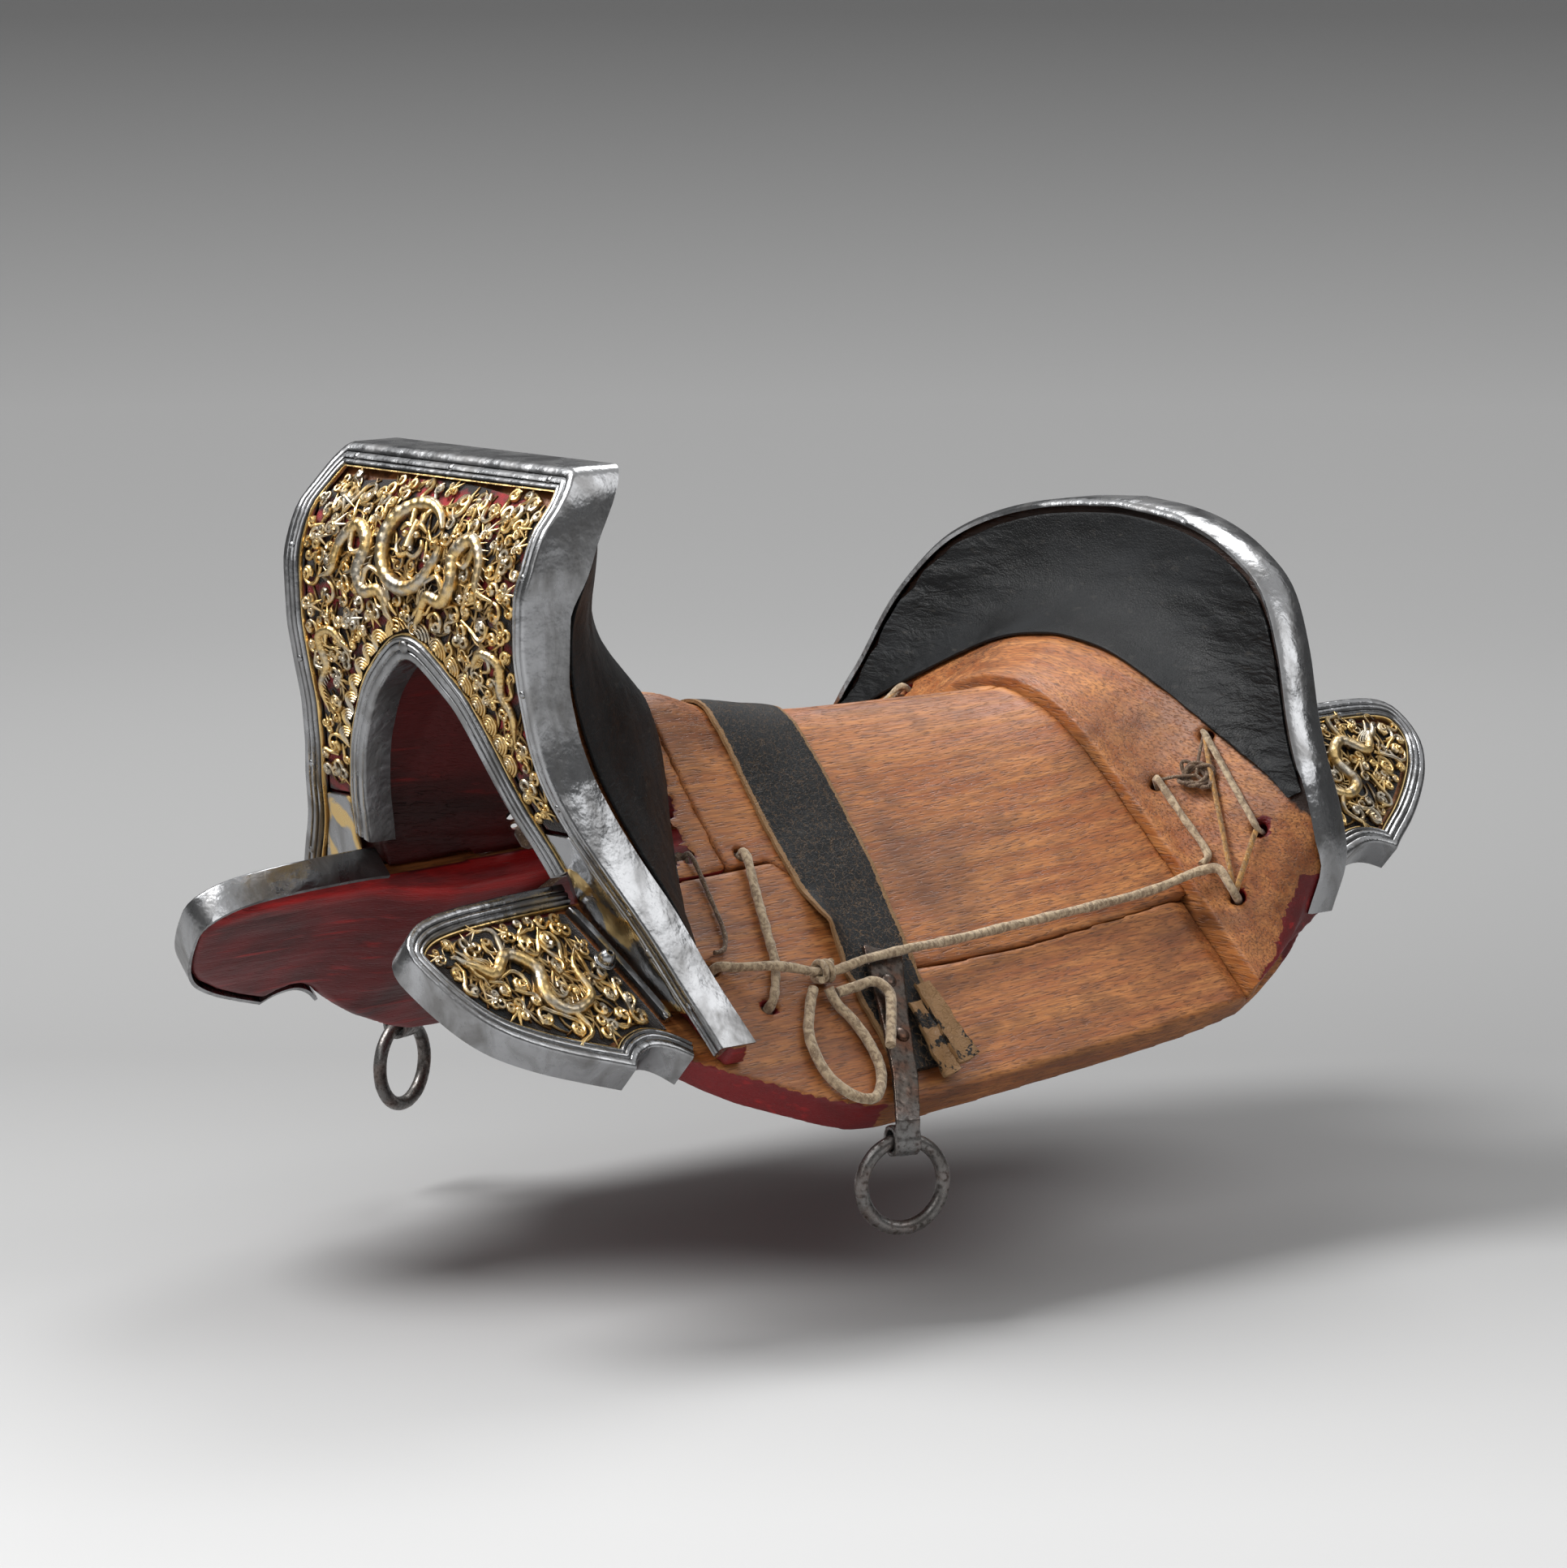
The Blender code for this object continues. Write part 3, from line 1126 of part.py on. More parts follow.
def lobe_stud(side, look, where, cutters):
    """The round steel stud with a socket, at the root of a front lobe."""
    lift = 3.0 * GAP + CLOTH_THICKNESS + PANEL_THICKNESS
    foot = tree_point(STUD_PLACE[0], STUD_PLACE[1], -lift)
    out = (tree_point(STUD_PLACE[0], STUD_PLACE[1], -lift - 0.01) - foot).normalized()
    rings = []
    for rise, radius in ((0.0, 0.0052), (0.0012, 0.0052), (0.0016, 0.0043), (0.0036, 0.0042),
                         (0.0056, 0.0032), (0.0066, 0.0020)):
        rings.append((rise, radius))
    across = out.cross(Vector((0.0, 1.0, 0.0))).normalized()
    along_board = out.cross(across)
    sections = []
    for rise, radius in rings:
        ring = []
        for a in np.linspace(0.0, 2.0 * math.pi, 12, endpoint=False):
            p = foot + out * rise + (across * math.cos(a) + along_board * math.sin(a)) * radius
            ring.append(Vector((side * p.x, p.y, p.z)))
        sections.append(ring)
    body = loft(mirrored_name("front_lobe_stud", side), sections, look, where)
    centre = foot + out * 0.006
    socket = cylinder(mirrored_name("stud_socket", side), (side * centre.x, centre.y, centre.z),
                      (side * out.x, out.y, out.z), 0.0026, 0.0060, None, cutters, 10)
    boolean(body, socket, "DIFFERENCE")
    return body


def cord(name, points, diameter, side, look, where, sides=8, flat=1.0):
    """A thong along points, round or flattened against what it lies on."""
    pts = [Vector(p) for p in points]
    hint = Vector((0.67, -0.05, 0.74))
    sections = []
    for i, p in enumerate(pts):
        run = (pts[min(i + 1, len(pts) - 1)] - pts[max(i - 1, 0)]).normalized()
        across = run.cross(hint).normalized()
        lift = across.cross(run).normalized()
        ring = []
        for a in np.linspace(0.0, 2.0 * math.pi, sides, endpoint=False):
            q = p + across * math.cos(a) * diameter / 2.0 + lift * math.sin(a) * flat * diameter / 2.0
            ring.append(Vector((side * q.x, q.y, q.z)))
        sections.append(ring)
    return loft(name, sections, look, where)


def coil(name, centre, axis, core, diameter, turns, pitch, look, where):
    """A thong wound round another one as a knot."""
    axis = Vector(axis).normalized()
    across = axis.cross(Vector((0.67, -0.05, 0.74))).normalized()
    lift = axis.cross(across)
    radius = core / 2.0 + diameter / 2.0 + 2.0 * GAP
    count = int(10 * turns)
    sections = []
    for i in range(count + 1):
        a = 2.0 * math.pi * turns * i / count
        spoke = across * math.cos(a) + lift * math.sin(a)
        run = (lift * math.cos(a) - across * math.sin(a)) * radius * 2.0 * math.pi + axis * pitch
        run.normalize()
        side_way = run.cross(spoke).normalized()
        p = Vector(centre) + spoke * radius + axis * pitch * (turns * i / count - turns / 2.0)
        sections.append([p + (spoke * math.cos(b) + side_way * math.sin(b)) * diameter / 2.0
                         for b in np.linspace(0.0, 2.0 * math.pi, 6, endpoint=False)])
    return loft(name, sections, look, where)


def laid(places, lift):
    """Points on the tree's surface, given across, along and with their own extra height."""
    return [tree_point(x, y, -(lift + extra)) for x, y, extra in places]


def tie_thong(look, where):
    """The long thong that is stretched along the near side, from a front hole to a rear hole."""
    half = TIE_DIAMETER / 2.0 + GAP
    front = laid([(0.1020, -0.1262, -0.0070), (0.1028, -0.1248, -0.0010), (0.1050, -0.1190, 0.0006),
                  (0.1092, -0.1040, 0.0046), (0.1120, -0.0930, 0.0048), (0.1145, -0.0830, 0.0036),
                  (0.1160, -0.0720, 0.0038), (0.1162, -0.0640, 0.0055), (0.1160, -0.0550, 0.0070),
                  (0.1160, -0.0400, 0.0070)], half)
    middle = laid([(0.1160, -0.0250, 0.0066), (0.1162, 0.0000, 0.0046), (0.1165, 0.0400, 0.0030),
                   (0.1185, 0.0900, 0.0024), (0.1205, 0.1200, 0.0040), (0.1215, 0.1370, 0.0072),
                   (0.1222, 0.1440, 0.0090)], half)
    last = Vector(REAR_HOLES[3][0])
    out = Vector(REAR_HOLES[3][1]).normalized()
    back = [last + out * 0.0065 + Vector((-0.0105, 0.0005, 0.0090)),
            last + out * 0.0050 + Vector((-0.0040, 0.0, 0.0040)),
            last + out * 0.0020, last - out * 0.0060]
    return cord("tie_thong", front + middle + back, TIE_DIAMETER, 1.0, look, where)


def bow_loop(name, places, look, where):
    return cord(name, spline(laid(places, TIE_DIAMETER / 2.0 + GAP), 22), TIE_DIAMETER, 1.0, look, where, 6)


def lacings(side, look, dark, where):
    """The short lacings through the front and rear holes of one side, outside and inside."""
    half = LACE_DIAMETER / 2.0 + GAP
    outer = laid([(0.0624, -0.0742, -0.0070), (0.0640, -0.0752, 0.0004), (0.0800, -0.0830, 0.0004),
                  (0.0960, -0.0905, 0.0004), (0.1060, -0.0955, 0.0004), (0.1130, -0.1015, 0.0004),
                  (0.1195, -0.1085, 0.0004), (0.1209, -0.1100, -0.0070)], half)
    cord(mirrored_name("front_lace", side), outer, LACE_DIAMETER, side, look, where, 6)
    half = THIN_LACE / 2.0 + GAP
    thin = laid([(0.0581, -0.1028, -0.0070), (0.0600, -0.1032, 0.0004), (0.0760, -0.1065, 0.0004),
                 (0.0900, -0.1105, 0.0004), (0.0960, -0.1150, 0.0004), (0.0975, -0.1190, 0.0004),
                 (0.0975, -0.1225, 0.0004)], half)
    cord(mirrored_name("front_thin_lace", side), thin, THIN_LACE, side, dark, where, 6)
    inner_depth = BOARD_THICKNESS + LACE_DIAMETER / 4.0 + GAP
    (x0, y0), (x1, y1) = FRONT_HOLES[1:3]
    points = []
    for s in np.linspace(0.08, 1.0, 8):
        points.append(tree_point(x0 + s * (x1 - x0), y0 + s * (y1 - y0), inner_depth + 0.0002))
    cord(mirrored_name("inner_lace", side), points, LACE_DIAMETER, side, look, where, 6, 0.5)
    rear = [(Vector(place), Vector(out).normalized()) for place, out in REAR_HOLES]

    def over(first, last, lift, sag):
        (p0, n0), (p1, n1) = rear[first], rear[last]
        ends = [p0 - n0 * 0.006, p0 + n0 * lift, p1 + n1 * lift, p1 - n1 * 0.006]
        inside = [p0.lerp(p1, s) + n0.lerp(n1, s).normalized() * (lift + sag) for s in (0.15, 0.35, 0.65, 0.85)]
        return ends[:2] + inside + ends[2:]

    lift = LACE_DIAMETER / 2.0 + 0.0006
    points = over(0, 3, lift, 0.0004)
    if side > 0:
        points = points[:5] + [Vector((0.1275, 0.1500, -0.0640)) + rear[3][1] * (lift + 0.0014)]
    cord(mirrored_name("rear_lace", side), points, LACE_DIAMETER, side, look, where, 6)
    cord(mirrored_name("rear_flat_lace", side), over(1, 2, lift, 0.0006), LACE_DIAMETER, side, look, where, 6,
         0.55)


# Assembly

def main():
    for old in list(bpy.data.objects):
        bpy.data.objects.remove(old, do_unlink=True)
    parts = collection(SCENE_COLLECTION)
    cutters = collection(CUTTER_COLLECTION)
    wood = material("worn_wood", "A96B3C", 0.55, 0.0)
    lacquer = material("red_lacquered_wood", "7E2A24", 0.45, 0.0)
    black = material("black_leather", "2A2C2F", 0.50, 0.0)
    steel = material("silvered_steel", "B9BABB", 0.30, 0.9)
    gilt = material("gilt_iron", "C99A4E", 0.38, 0.8)
    cloth = material("red_cloth", "A3121C", 0.85, 0.0)
    iron = material("dark_iron", "3A3330", 0.50, 0.7)
    rawhide = material("tan_rawhide", "B9A58A", 0.75, 0.0)
    dark_thong = material("dark_thong", "5A4636", 0.75, 0.0)

    for side in (1.0, -1.0):
        board = sideboard(side, wood, parts)
        panel = seat_panel(side, wood, parts)
        seat_hole = surface_drill(mirrored_name("seat_hole", side), *FRONT_HOLES[1], side, cutters)
        boolean(panel, seat_hole, "DIFFERENCE")
        for i, (x, y) in enumerate(FRONT_HOLES[2:]):
            hole = surface_drill(mirrored_name(f"board_hole_{i}", side), x, y, side, cutters)
            boolean(board, hole, "DIFFERENCE")
    pommel_core(wood, parts, cutters)
    pommel_leather(black, parts, cutters)
    pommel_rim(steel, parts)
    arch_rim(steel, parts)
    pommel_field("pommel_cloth", -CLOTH_THICKNESS, CLOTH_THICKNESS, cloth, parts)
    pommel_field("pommel_gilt_panel", GAP, PANEL_THICKNESS, gilt, parts)
    cantle_core(wood, parts, cutters)
    cantle_leather(black, parts)
    cantle_rim(steel, parts)
    cantle_arch_rim(steel, parts)
    cantle_field("cantle_cloth", CANTLE_BACK_GAP, CLOTH_THICKNESS, cloth, parts)
    cantle_field("cantle_gilt_panel", CANTLE_BACK_GAP + CLOTH_THICKNESS + GAP, PANEL_THICKNESS, gilt, parts)
    for side in (1.0, -1.0):
        leg_plate(side, steel, parts)
        for end, lobe, sign in (("front", FRONT_LOBE, -1.0), ("rear", REAR_LOBE, 1.0)):
            base = f"{end}_lobe"
            lobe_rim(mirrored_name(f"{base}_rim", side), lobe, sign, side, steel, parts)
            lobe_strip(mirrored_name(f"{base}_strip", side), lobe, sign, side, steel, parts)
            lobe_plate(mirrored_name(f"{base}_cloth", side), lobe, sign, side, GAP, CLOTH_THICKNESS,
                       cloth, parts)
            lobe_plate(mirrored_name(f"{base}_gilt_panel", side), lobe, sign, side,
                       2.0 * GAP + CLOTH_THICKNESS, PANEL_THICKNESS, gilt, parts)
        hanger(side, iron, parts, cutters)
        girth_ring(side, iron, parts)
        for i, (x, y) in enumerate(((0.1245, -0.0476), (0.1450, -0.0590))):
            rivet(f"{mirrored_name('hanger_rivet', side)}_{i + 1}", x, y, side, iron, parts)
        lobe_stud(side, steel, parts, cutters)
        lacings(side, rawhide, dark_thong, parts)
    girth_strap(black, parts)
    tie_thong(rawhide, parts)
    centre = tree_point(0.11525, -0.0775, -(TIE_DIAMETER / 2.0 + GAP + 0.0037))
    ahead = tree_point(0.1160, -0.0720, -(TIE_DIAMETER / 2.0 + GAP + 0.0038))
    coil("tie_knot", centre, ahead - centre, TIE_DIAMETER, KNOT_DIAMETER, 2.0, 0.0034, rawhide, parts)
    bow_loop("bow_loop_long", LONG_LOOP, rawhide, parts)
    bow_loop("bow_loop_short", SHORT_LOOP, rawhide, parts)


main()
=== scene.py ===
import bisect
import math
import random

import bmesh
import bpy
import numpy as np
from bpy.props import FloatProperty, FloatVectorProperty, IntProperty, PointerProperty
from mathutils import Matrix, Vector, noise


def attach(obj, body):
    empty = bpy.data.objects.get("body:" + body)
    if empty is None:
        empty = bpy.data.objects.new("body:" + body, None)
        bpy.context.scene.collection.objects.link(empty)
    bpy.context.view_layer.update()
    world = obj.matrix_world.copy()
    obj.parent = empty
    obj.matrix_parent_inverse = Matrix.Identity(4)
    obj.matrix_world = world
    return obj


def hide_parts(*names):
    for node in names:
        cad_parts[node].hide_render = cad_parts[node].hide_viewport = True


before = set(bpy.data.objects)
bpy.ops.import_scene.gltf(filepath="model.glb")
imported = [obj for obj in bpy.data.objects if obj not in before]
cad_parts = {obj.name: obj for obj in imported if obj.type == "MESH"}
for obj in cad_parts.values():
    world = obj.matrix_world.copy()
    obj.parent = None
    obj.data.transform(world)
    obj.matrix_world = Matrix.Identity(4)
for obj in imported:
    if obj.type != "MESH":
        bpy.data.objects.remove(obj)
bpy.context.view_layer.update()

bl_info = {
    "name": "Wooden Saddle Looks",
    "version": (1, 0, 0),
    "blender": (4, 5, 0),
    "location": "3D View > Sidebar > Saddle",
    "description": "Finishes a wooden riding saddle: wood, leather, ridged steel rims and gilt openwork",
    "category": "Object",
}

# Sizes that the saddle's pieces share, in metres
GAP = 0.0003
SEAT_REAR = 0.144
CANTLE_REAR = 0.202
CREST_WIDTH = 0.035
CREST_RADIUS = 0.020
BOARD_SLOPE = 0.93
BOARD_THICKNESS = 0.020
POMMEL_TOP = 0.139
CANTLE_THICKNESS = 0.012
PANEL_LEG_END = -0.016
POMMEL_STRIP = 0.0105
ARCH_STRIP = 0.0120
LOBE_STRIP = 0.0085
CANTLE_REAR_STRIP = 0.0100
EYE_CENTRE = Vector((0.1725, -0.080, -0.1500))
EYE_AXIS = Vector((0.32, 0.947, 0.0)).normalized()
SIDES = (("left", 1.0), ("right", -1.0))
# Heights of the rims' mouldings over the face they lie on, and of the cantle's back over its wood
RIM_HEIGHT = 0.0046
ARCH_RIM_HEIGHT = 0.0045
CANTLE_STRIP_HEIGHT = 0.0036
CANTLE_BACK = CANTLE_THICKNESS / 2.0 + 0.0012
# Spacing of the meshes of the seat panels, the two arches and the hangers
SEAT_VOXEL = 0.0017
ARCH_VOXEL = 0.0020
HANGER_VOXEL = 0.00055
# Clear space between a rim and the openwork it frames
PANEL_GAP = 0.0004
# How far below the surface a drilled hole is filled by the thong that was drawn into it
WAD = ((0.0035, 0.0030), (0.0050, 0.0044), (0.0120, 0.0044), (0.0140, 0.0030))


# Numbers, directions and curves through given knots

def clamp(value, low=0.0, high=1.0):
    return min(max(value, low), high)


def unit(run):
    return run / max(np.linalg.norm(run), 1e-9)


def left_of(run):
    return np.array([-run[1], run[0]])


def smooth(knots):
    """A function through (position, value) knots that never overshoots between them."""
    px = [float(k[0]) for k in knots]
    py = [float(k[1]) for k in knots]
    step = [b - a for a, b in zip(px, px[1:])]
    rise = [(b - a) / s for a, b, s in zip(py, py[1:], step)]
    slope = [rise[0]] + [0.0] * (len(px) - 2) + [rise[-1]]
    for i in range(1, len(px) - 1):
        if rise[i - 1] * rise[i] > 0.0:
            w1 = 2.0 * step[i] + step[i - 1]
            w2 = step[i] + 2.0 * step[i - 1]
            slope[i] = (w1 + w2) / (w1 / rise[i - 1] + w2 / rise[i])

    def value(x):
        x = min(max(x, px[0]), px[-1])
        i = min(bisect.bisect_right(px, x) - 1, len(step) - 1)
        s = (x - px[i]) / step[i]
        return ((1.0 + 2.0 * s) * (1.0 - s) ** 2 * py[i] + s * (1.0 - s) ** 2 * step[i] * slope[i]
                + s * s * (3.0 - 2.0 * s) * py[i + 1] + s * s * (s - 1.0) * step[i] * slope[i + 1])

    return value


def resample(points, count):
    """The points of a polyline at even spacing along it."""
    pts = np.array(points, dtype=float)
    run = np.concatenate([[0.0], np.cumsum(np.linalg.norm(np.diff(pts, axis=0), axis=1))])
    marks = np.linspace(0.0, run[-1], count)
    return [tuple(float(np.interp(m, run, pts[:, k])) for k in range(pts.shape[1])) for m in marks]


def spline(points, count):
    """Points at even spacing along a Catmull-Rom curve through given points."""
    pts = [np.array(tuple(p), dtype=float) for p in points]
    pts = [2.0 * pts[0] - pts[1]] + pts + [2.0 * pts[-1] - pts[-2]]
    fine = []
    for i in range(1, len(pts) - 2):
        p0, p1, p2, p3 = pts[i - 1:i + 3]
        for s in np.linspace(0.0, 1.0, 12, endpoint=False):
            fine.append(0.5 * (2.0 * p1 + (p2 - p0) * s + (2.0 * p0 - 5.0 * p1 + 4.0 * p2 - p3) * s ** 2
                               + (3.0 * p1 - p0 - 3.0 * p2 + p3) * s ** 3))
    fine.append(pts[-2])
    return resample(fine, count)


def inset(outline, distance):
    """A polyline moved to its left side by a distance, with mitred corners."""
    pts = [np.array(p, dtype=float) for p in outline]
    moved = []
    for i, p in enumerate(pts):
        before = unit(p - pts[i - 1] if i > 0 else pts[1] - p)
        after = unit(pts[i + 1] - p if i < len(pts) - 1 else p - pts[i - 1])
        n1 = left_of(before)
        mid = n1 + left_of(after)
        mid = mid / max(np.linalg.norm(mid), 1e-6)
        moved.append(tuple(p + mid * distance / max(float(mid @ n1), 0.5)))
    return moved


def both_sides(half):
    """A half outline from the middle outwards, made whole from the left foot to the right one."""
    return [(-x, z) for x, z in reversed(half)] + [p for p in half if p[0] > 0.0]


# The saddle's own surfaces: the tree, the pommel's front and the cantle

crown = smooth([(-0.30, 0.010), (-0.20, 0.015), (-0.10, 0.019), (0.0, 0.025),
                (0.10, 0.035), (0.20, 0.050), (0.34, 0.056)])
crest = smooth([(-0.13, 0.0200), (-0.105, 0.0235), (-0.079, 0.0260), (-0.045, 0.0165), (0.004, 0.0095),
                (0.09, 0.0075), (0.134, 0.0065), (0.18, 0.014), (0.25, 0.020)])
board_depth = smooth([(-0.28, 0.011), (-0.19, 0.012), (-0.135, BOARD_THICKNESS),
                      (0.17, BOARD_THICKNESS), (0.225, 0.012), (0.34, 0.011)])
pommel_front = smooth([(-0.115, -0.156), (-0.102, -0.159), (-0.070, -0.168), (-0.048, -0.176),
                       (-0.028, -0.184), (-0.010, -0.192), (0.012, -0.199), (0.030, -0.203),
                       (0.048, -0.207), (0.064, -0.2095), (0.086, -0.210), (0.098, -0.207),
                       (0.112, -0.201), (0.124, -0.190), (0.139, -0.177)])
pommel_rear = smooth([(-0.115, -0.140), (-0.102, -0.144), (-0.070, -0.153), (-0.048, -0.159),
                      (-0.028, -0.166), (-0.010, -0.173), (0.012, -0.180), (0.030, -0.185),
                      (0.050, -0.189), (0.075, -0.189), (0.090, -0.182), (0.110, -0.174),
                      (0.124, -0.166), (0.139, -0.157)])
pommel_half = smooth([(-0.128, 0.1670), (-0.115, 0.1585), (-0.102, 0.1500), (-0.075, 0.1310),
                      (-0.048, 0.1150), (-0.028, 0.1020), (-0.010, 0.0930), (0.012, 0.0845),
                      (0.030, 0.0820), (0.048, 0.0820), (0.064, 0.0825), (0.086, 0.0835), (0.098, 0.0850),
                      (0.112, 0.0850), (0.124, 0.0840), (0.139, 0.0790)])
cantle_middle = smooth([(-0.110, 0.187), (-0.086, 0.189), (-0.058, 0.192), (-0.022, 0.192), (0.002, 0.197),
                        (0.032, 0.205), (0.057, 0.214), (0.072, 0.219), (0.082, 0.225), (0.090, 0.231),
                        (0.120, 0.245)])
CANTLE_HALF = [(0.0, 0.0900), (0.035, 0.0875), (0.065, 0.0818), (0.092, 0.0718), (0.113, 0.0575),
               (0.132, 0.0320), (0.146, 0.0020), (0.159, -0.0220), (0.167, -0.0450), (0.169, -0.0620),
               (0.163, -0.0850)]
ARCH = [(0.0, 0.0520), (0.0045, 0.0510), (0.0090, 0.0482), (0.0155, 0.0430), (0.0265, 0.0325),
        (0.0345, 0.0205), (0.0415, 0.0080), (0.0485, -0.0075), (0.0555, -0.0225), (0.0620, -0.0385)]
POMMEL_FOOT = -0.102


def surface(x, y):
    """Height of the tree's outer surface."""
    planes = crown(y) - math.hypot(BOARD_SLOPE * x, CREST_RADIUS)
    lift = crest(y) - (crown(y) - CREST_RADIUS)
    return planes + lift * math.exp(-(x / CREST_WIDTH) ** 2)


def tree_normal(x, y):
    step = 1e-4
    fall = (surface(x + step, y) - surface(x - step, y)) / (2.0 * step)
    return Vector((-fall, 0.0, 1.0)).normalized()


def tree_point(x, y, depth=0.0):
    """A point at a depth below the outer surface, measured square to it across the tree."""
    return Vector((x, y, surface(x, y))) - tree_normal(x, y) * depth


def pommel_outline():
    """Half of the pommel's outline, from the middle of its top edge down to its foot."""
    top = [(0.0745 * f, POMMEL_TOP) for f in np.linspace(0.0, 1.0, 9)]
    corner = [(0.0765, POMMEL_TOP - 0.0006), (0.0785, POMMEL_TOP - 0.0019), (0.0800, POMMEL_TOP - 0.0041)]
    down = np.linspace(POMMEL_TOP - 0.0070, POMMEL_FOOT, 56)
    return top + corner + [(pommel_half(z), float(z)) for z in down]


def cantle_outline():
    return [(0.0, CANTLE_HALF[0][1])] + spline(CANTLE_HALF, 48)[1:]


# Lower edge of the cantle's leather, up from the tree, by distance from the middle
leather_edge = smooth([(0.0, 0.0265), (0.03, 0.0230), (0.055, 0.0145), (0.077, 0.0045), (0.099, -0.0050),
                       (0.117, -0.0140), (0.143, -0.0265), (0.165, -0.0425)])
# The lobes' outlines in two stretches each, with a sharp cusp between them
FRONT_LOBE = [[(0.0615, -0.1800), (0.0615, -0.2050), (0.0620, -0.2350), (0.0635, -0.2540), (0.0665, -0.2650),
               (0.0715, -0.2720), (0.0770, -0.2735), (0.0830, -0.2715), (0.0925, -0.2670), (0.1030, -0.2600),
               (0.1120, -0.2500), (0.1205, -0.2340), (0.1275, -0.2160), (0.1335, -0.1985)],
              [(0.1335, -0.1985), (0.1300, -0.1945), (0.1280, -0.1890), (0.1275, -0.1825), (0.1300, -0.1750),
               (0.1345, -0.1680)]]
REAR_LOBE = [[(0.0645, 0.2080), (0.0650, 0.2380), (0.0655, 0.2700), (0.0660, 0.3000), (0.0675, 0.3200),
              (0.0710, 0.3310), (0.0770, 0.3355), (0.0850, 0.3365), (0.0930, 0.3340), (0.1030, 0.3250),
              (0.1130, 0.3110), (0.1215, 0.2960), (0.1280, 0.2820), (0.1320, 0.2740)],
             [(0.1320, 0.2740), (0.1290, 0.2680), (0.1275, 0.2600), (0.1285, 0.2500), (0.1320, 0.2360),
              (0.1380, 0.2230)]]


def cantle_foot(*across):
    """The line where the cantle's back meets the tree, a little above it."""
    return both_sides([(x, surface(x, CANTLE_REAR) + 0.0110) for x in across])


def pommel_face(point, height):
    return Vector((point[0], pommel_front(point[1]) - height, point[1]))


def cantle_face(point, height):
    """A point at a height over the cantle's middle plane, towards the rear."""
    return Vector((point[0], cantle_middle(point[1]) + height, point[1]))


def lobe_outline(lobe):
    return spline(lobe[0], 60) + spline(lobe[1], 18)[1:]


# Making of meshes

def finish_mesh(data, name, looks, sharp=40.0):
    """A named object at the origin from a bmesh, shaded smooth with sharp edges past an angle."""
    mesh = bpy.data.meshes.new(name)
    data.to_mesh(mesh)
    data.free()
    return place_mesh(mesh, name, looks, sharp)


def place_mesh(mesh, name, looks, sharp=40.0):
    mesh.name = name
    mesh.materials.clear()
    for finish in looks:
        mesh.materials.append(finish)
    mesh.shade_smooth()
    mesh.set_sharp_from_angle(angle=math.radians(sharp))
    made = bpy.data.objects.new(name, mesh)
    bpy.context.scene.collection.objects.link(made)
    return made


def mirrored(vectors, sign):
    return [Vector((sign * p.x, p.y, p.z)) for p in vectors]


def settle(made, slot, *nodes, body="root"):
    """Let a piece ride on its body and stand for its nodes."""
    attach(made, body)
    if nodes:
        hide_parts(*nodes)
    return made


def mesh_of(made):
    """The evaluated mesh of an object that is then removed."""
    bpy.context.view_layer.update()
    deps = bpy.context.evaluated_depsgraph_get()
    mesh = bpy.data.meshes.new_from_object(made.evaluated_get(deps))
    bpy.data.objects.remove(made, do_unlink=True)
    return mesh


def copy_of(node):
    """A merged copy of a CAD node's mesh."""
    data = bmesh.new()
    data.from_mesh(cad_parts[node].data)
    bmesh.ops.remove_doubles(data, verts=data.verts, dist=2e-5)
    return data


def sweep(name, stations, looks, sharp=40.0):
    """A closed body pulled through sections, each one extruded from the last."""
    data = bmesh.new()
    first = [data.verts.new(p) for p in stations[0]]
    count = len(first)
    edges = [data.edges.new((first[i], first[(i + 1) % count])) for i in range(count)]
    data.faces.new(first)
    ring = first
    for section in stations[1:]:
        made = bmesh.ops.extrude_edge_only(data, edges=edges)
        verts = [v for v in made["geom"] if isinstance(v, bmesh.types.BMVert)]
        match = {}
        for v in verts:
            for e in v.link_edges:
                other = e.other_vert(v)
                if other in ring:
                    match[other] = v
        ring = [match[v] for v in ring]
        for v, p in zip(ring, section):
            v.co = p
        edges = [data.edges.get((ring[i], ring[(i + 1) % count])) for i in range(count)]
    data.faces.new(list(reversed(ring)))
    bmesh.ops.recalc_face_normals(data, faces=data.faces)
    return finish_mesh(data, name, looks, sharp)


def refined(node, levels, name, looks, crease_angle=32.0, sharp=40.0, shape=None):
    """A CAD node's copy with quads, creased at its edges and subdivided, then shaped by a function."""
    data = copy_of(node)
    bmesh.ops.join_triangles(data, faces=data.faces, angle_face_threshold=math.radians(12.0),
                             angle_shape_threshold=math.radians(50.0))
    crease = data.edges.layers.float.get("crease_edge") or data.edges.layers.float.new("crease_edge")
    for e in data.edges:
        if len(e.link_faces) == 2 and e.calc_face_angle() > math.radians(crease_angle):
            e[crease] = 0.92
    made = finish_mesh(data, name + "_cage", looks)
    step = made.modifiers.new("round", "SUBSURF")
    step.levels = levels
    step.render_levels = levels
    mesh = mesh_of(made)
    if shape is not None:
        bend_mesh(mesh, shape)
    return place_mesh(mesh, name, looks, sharp)


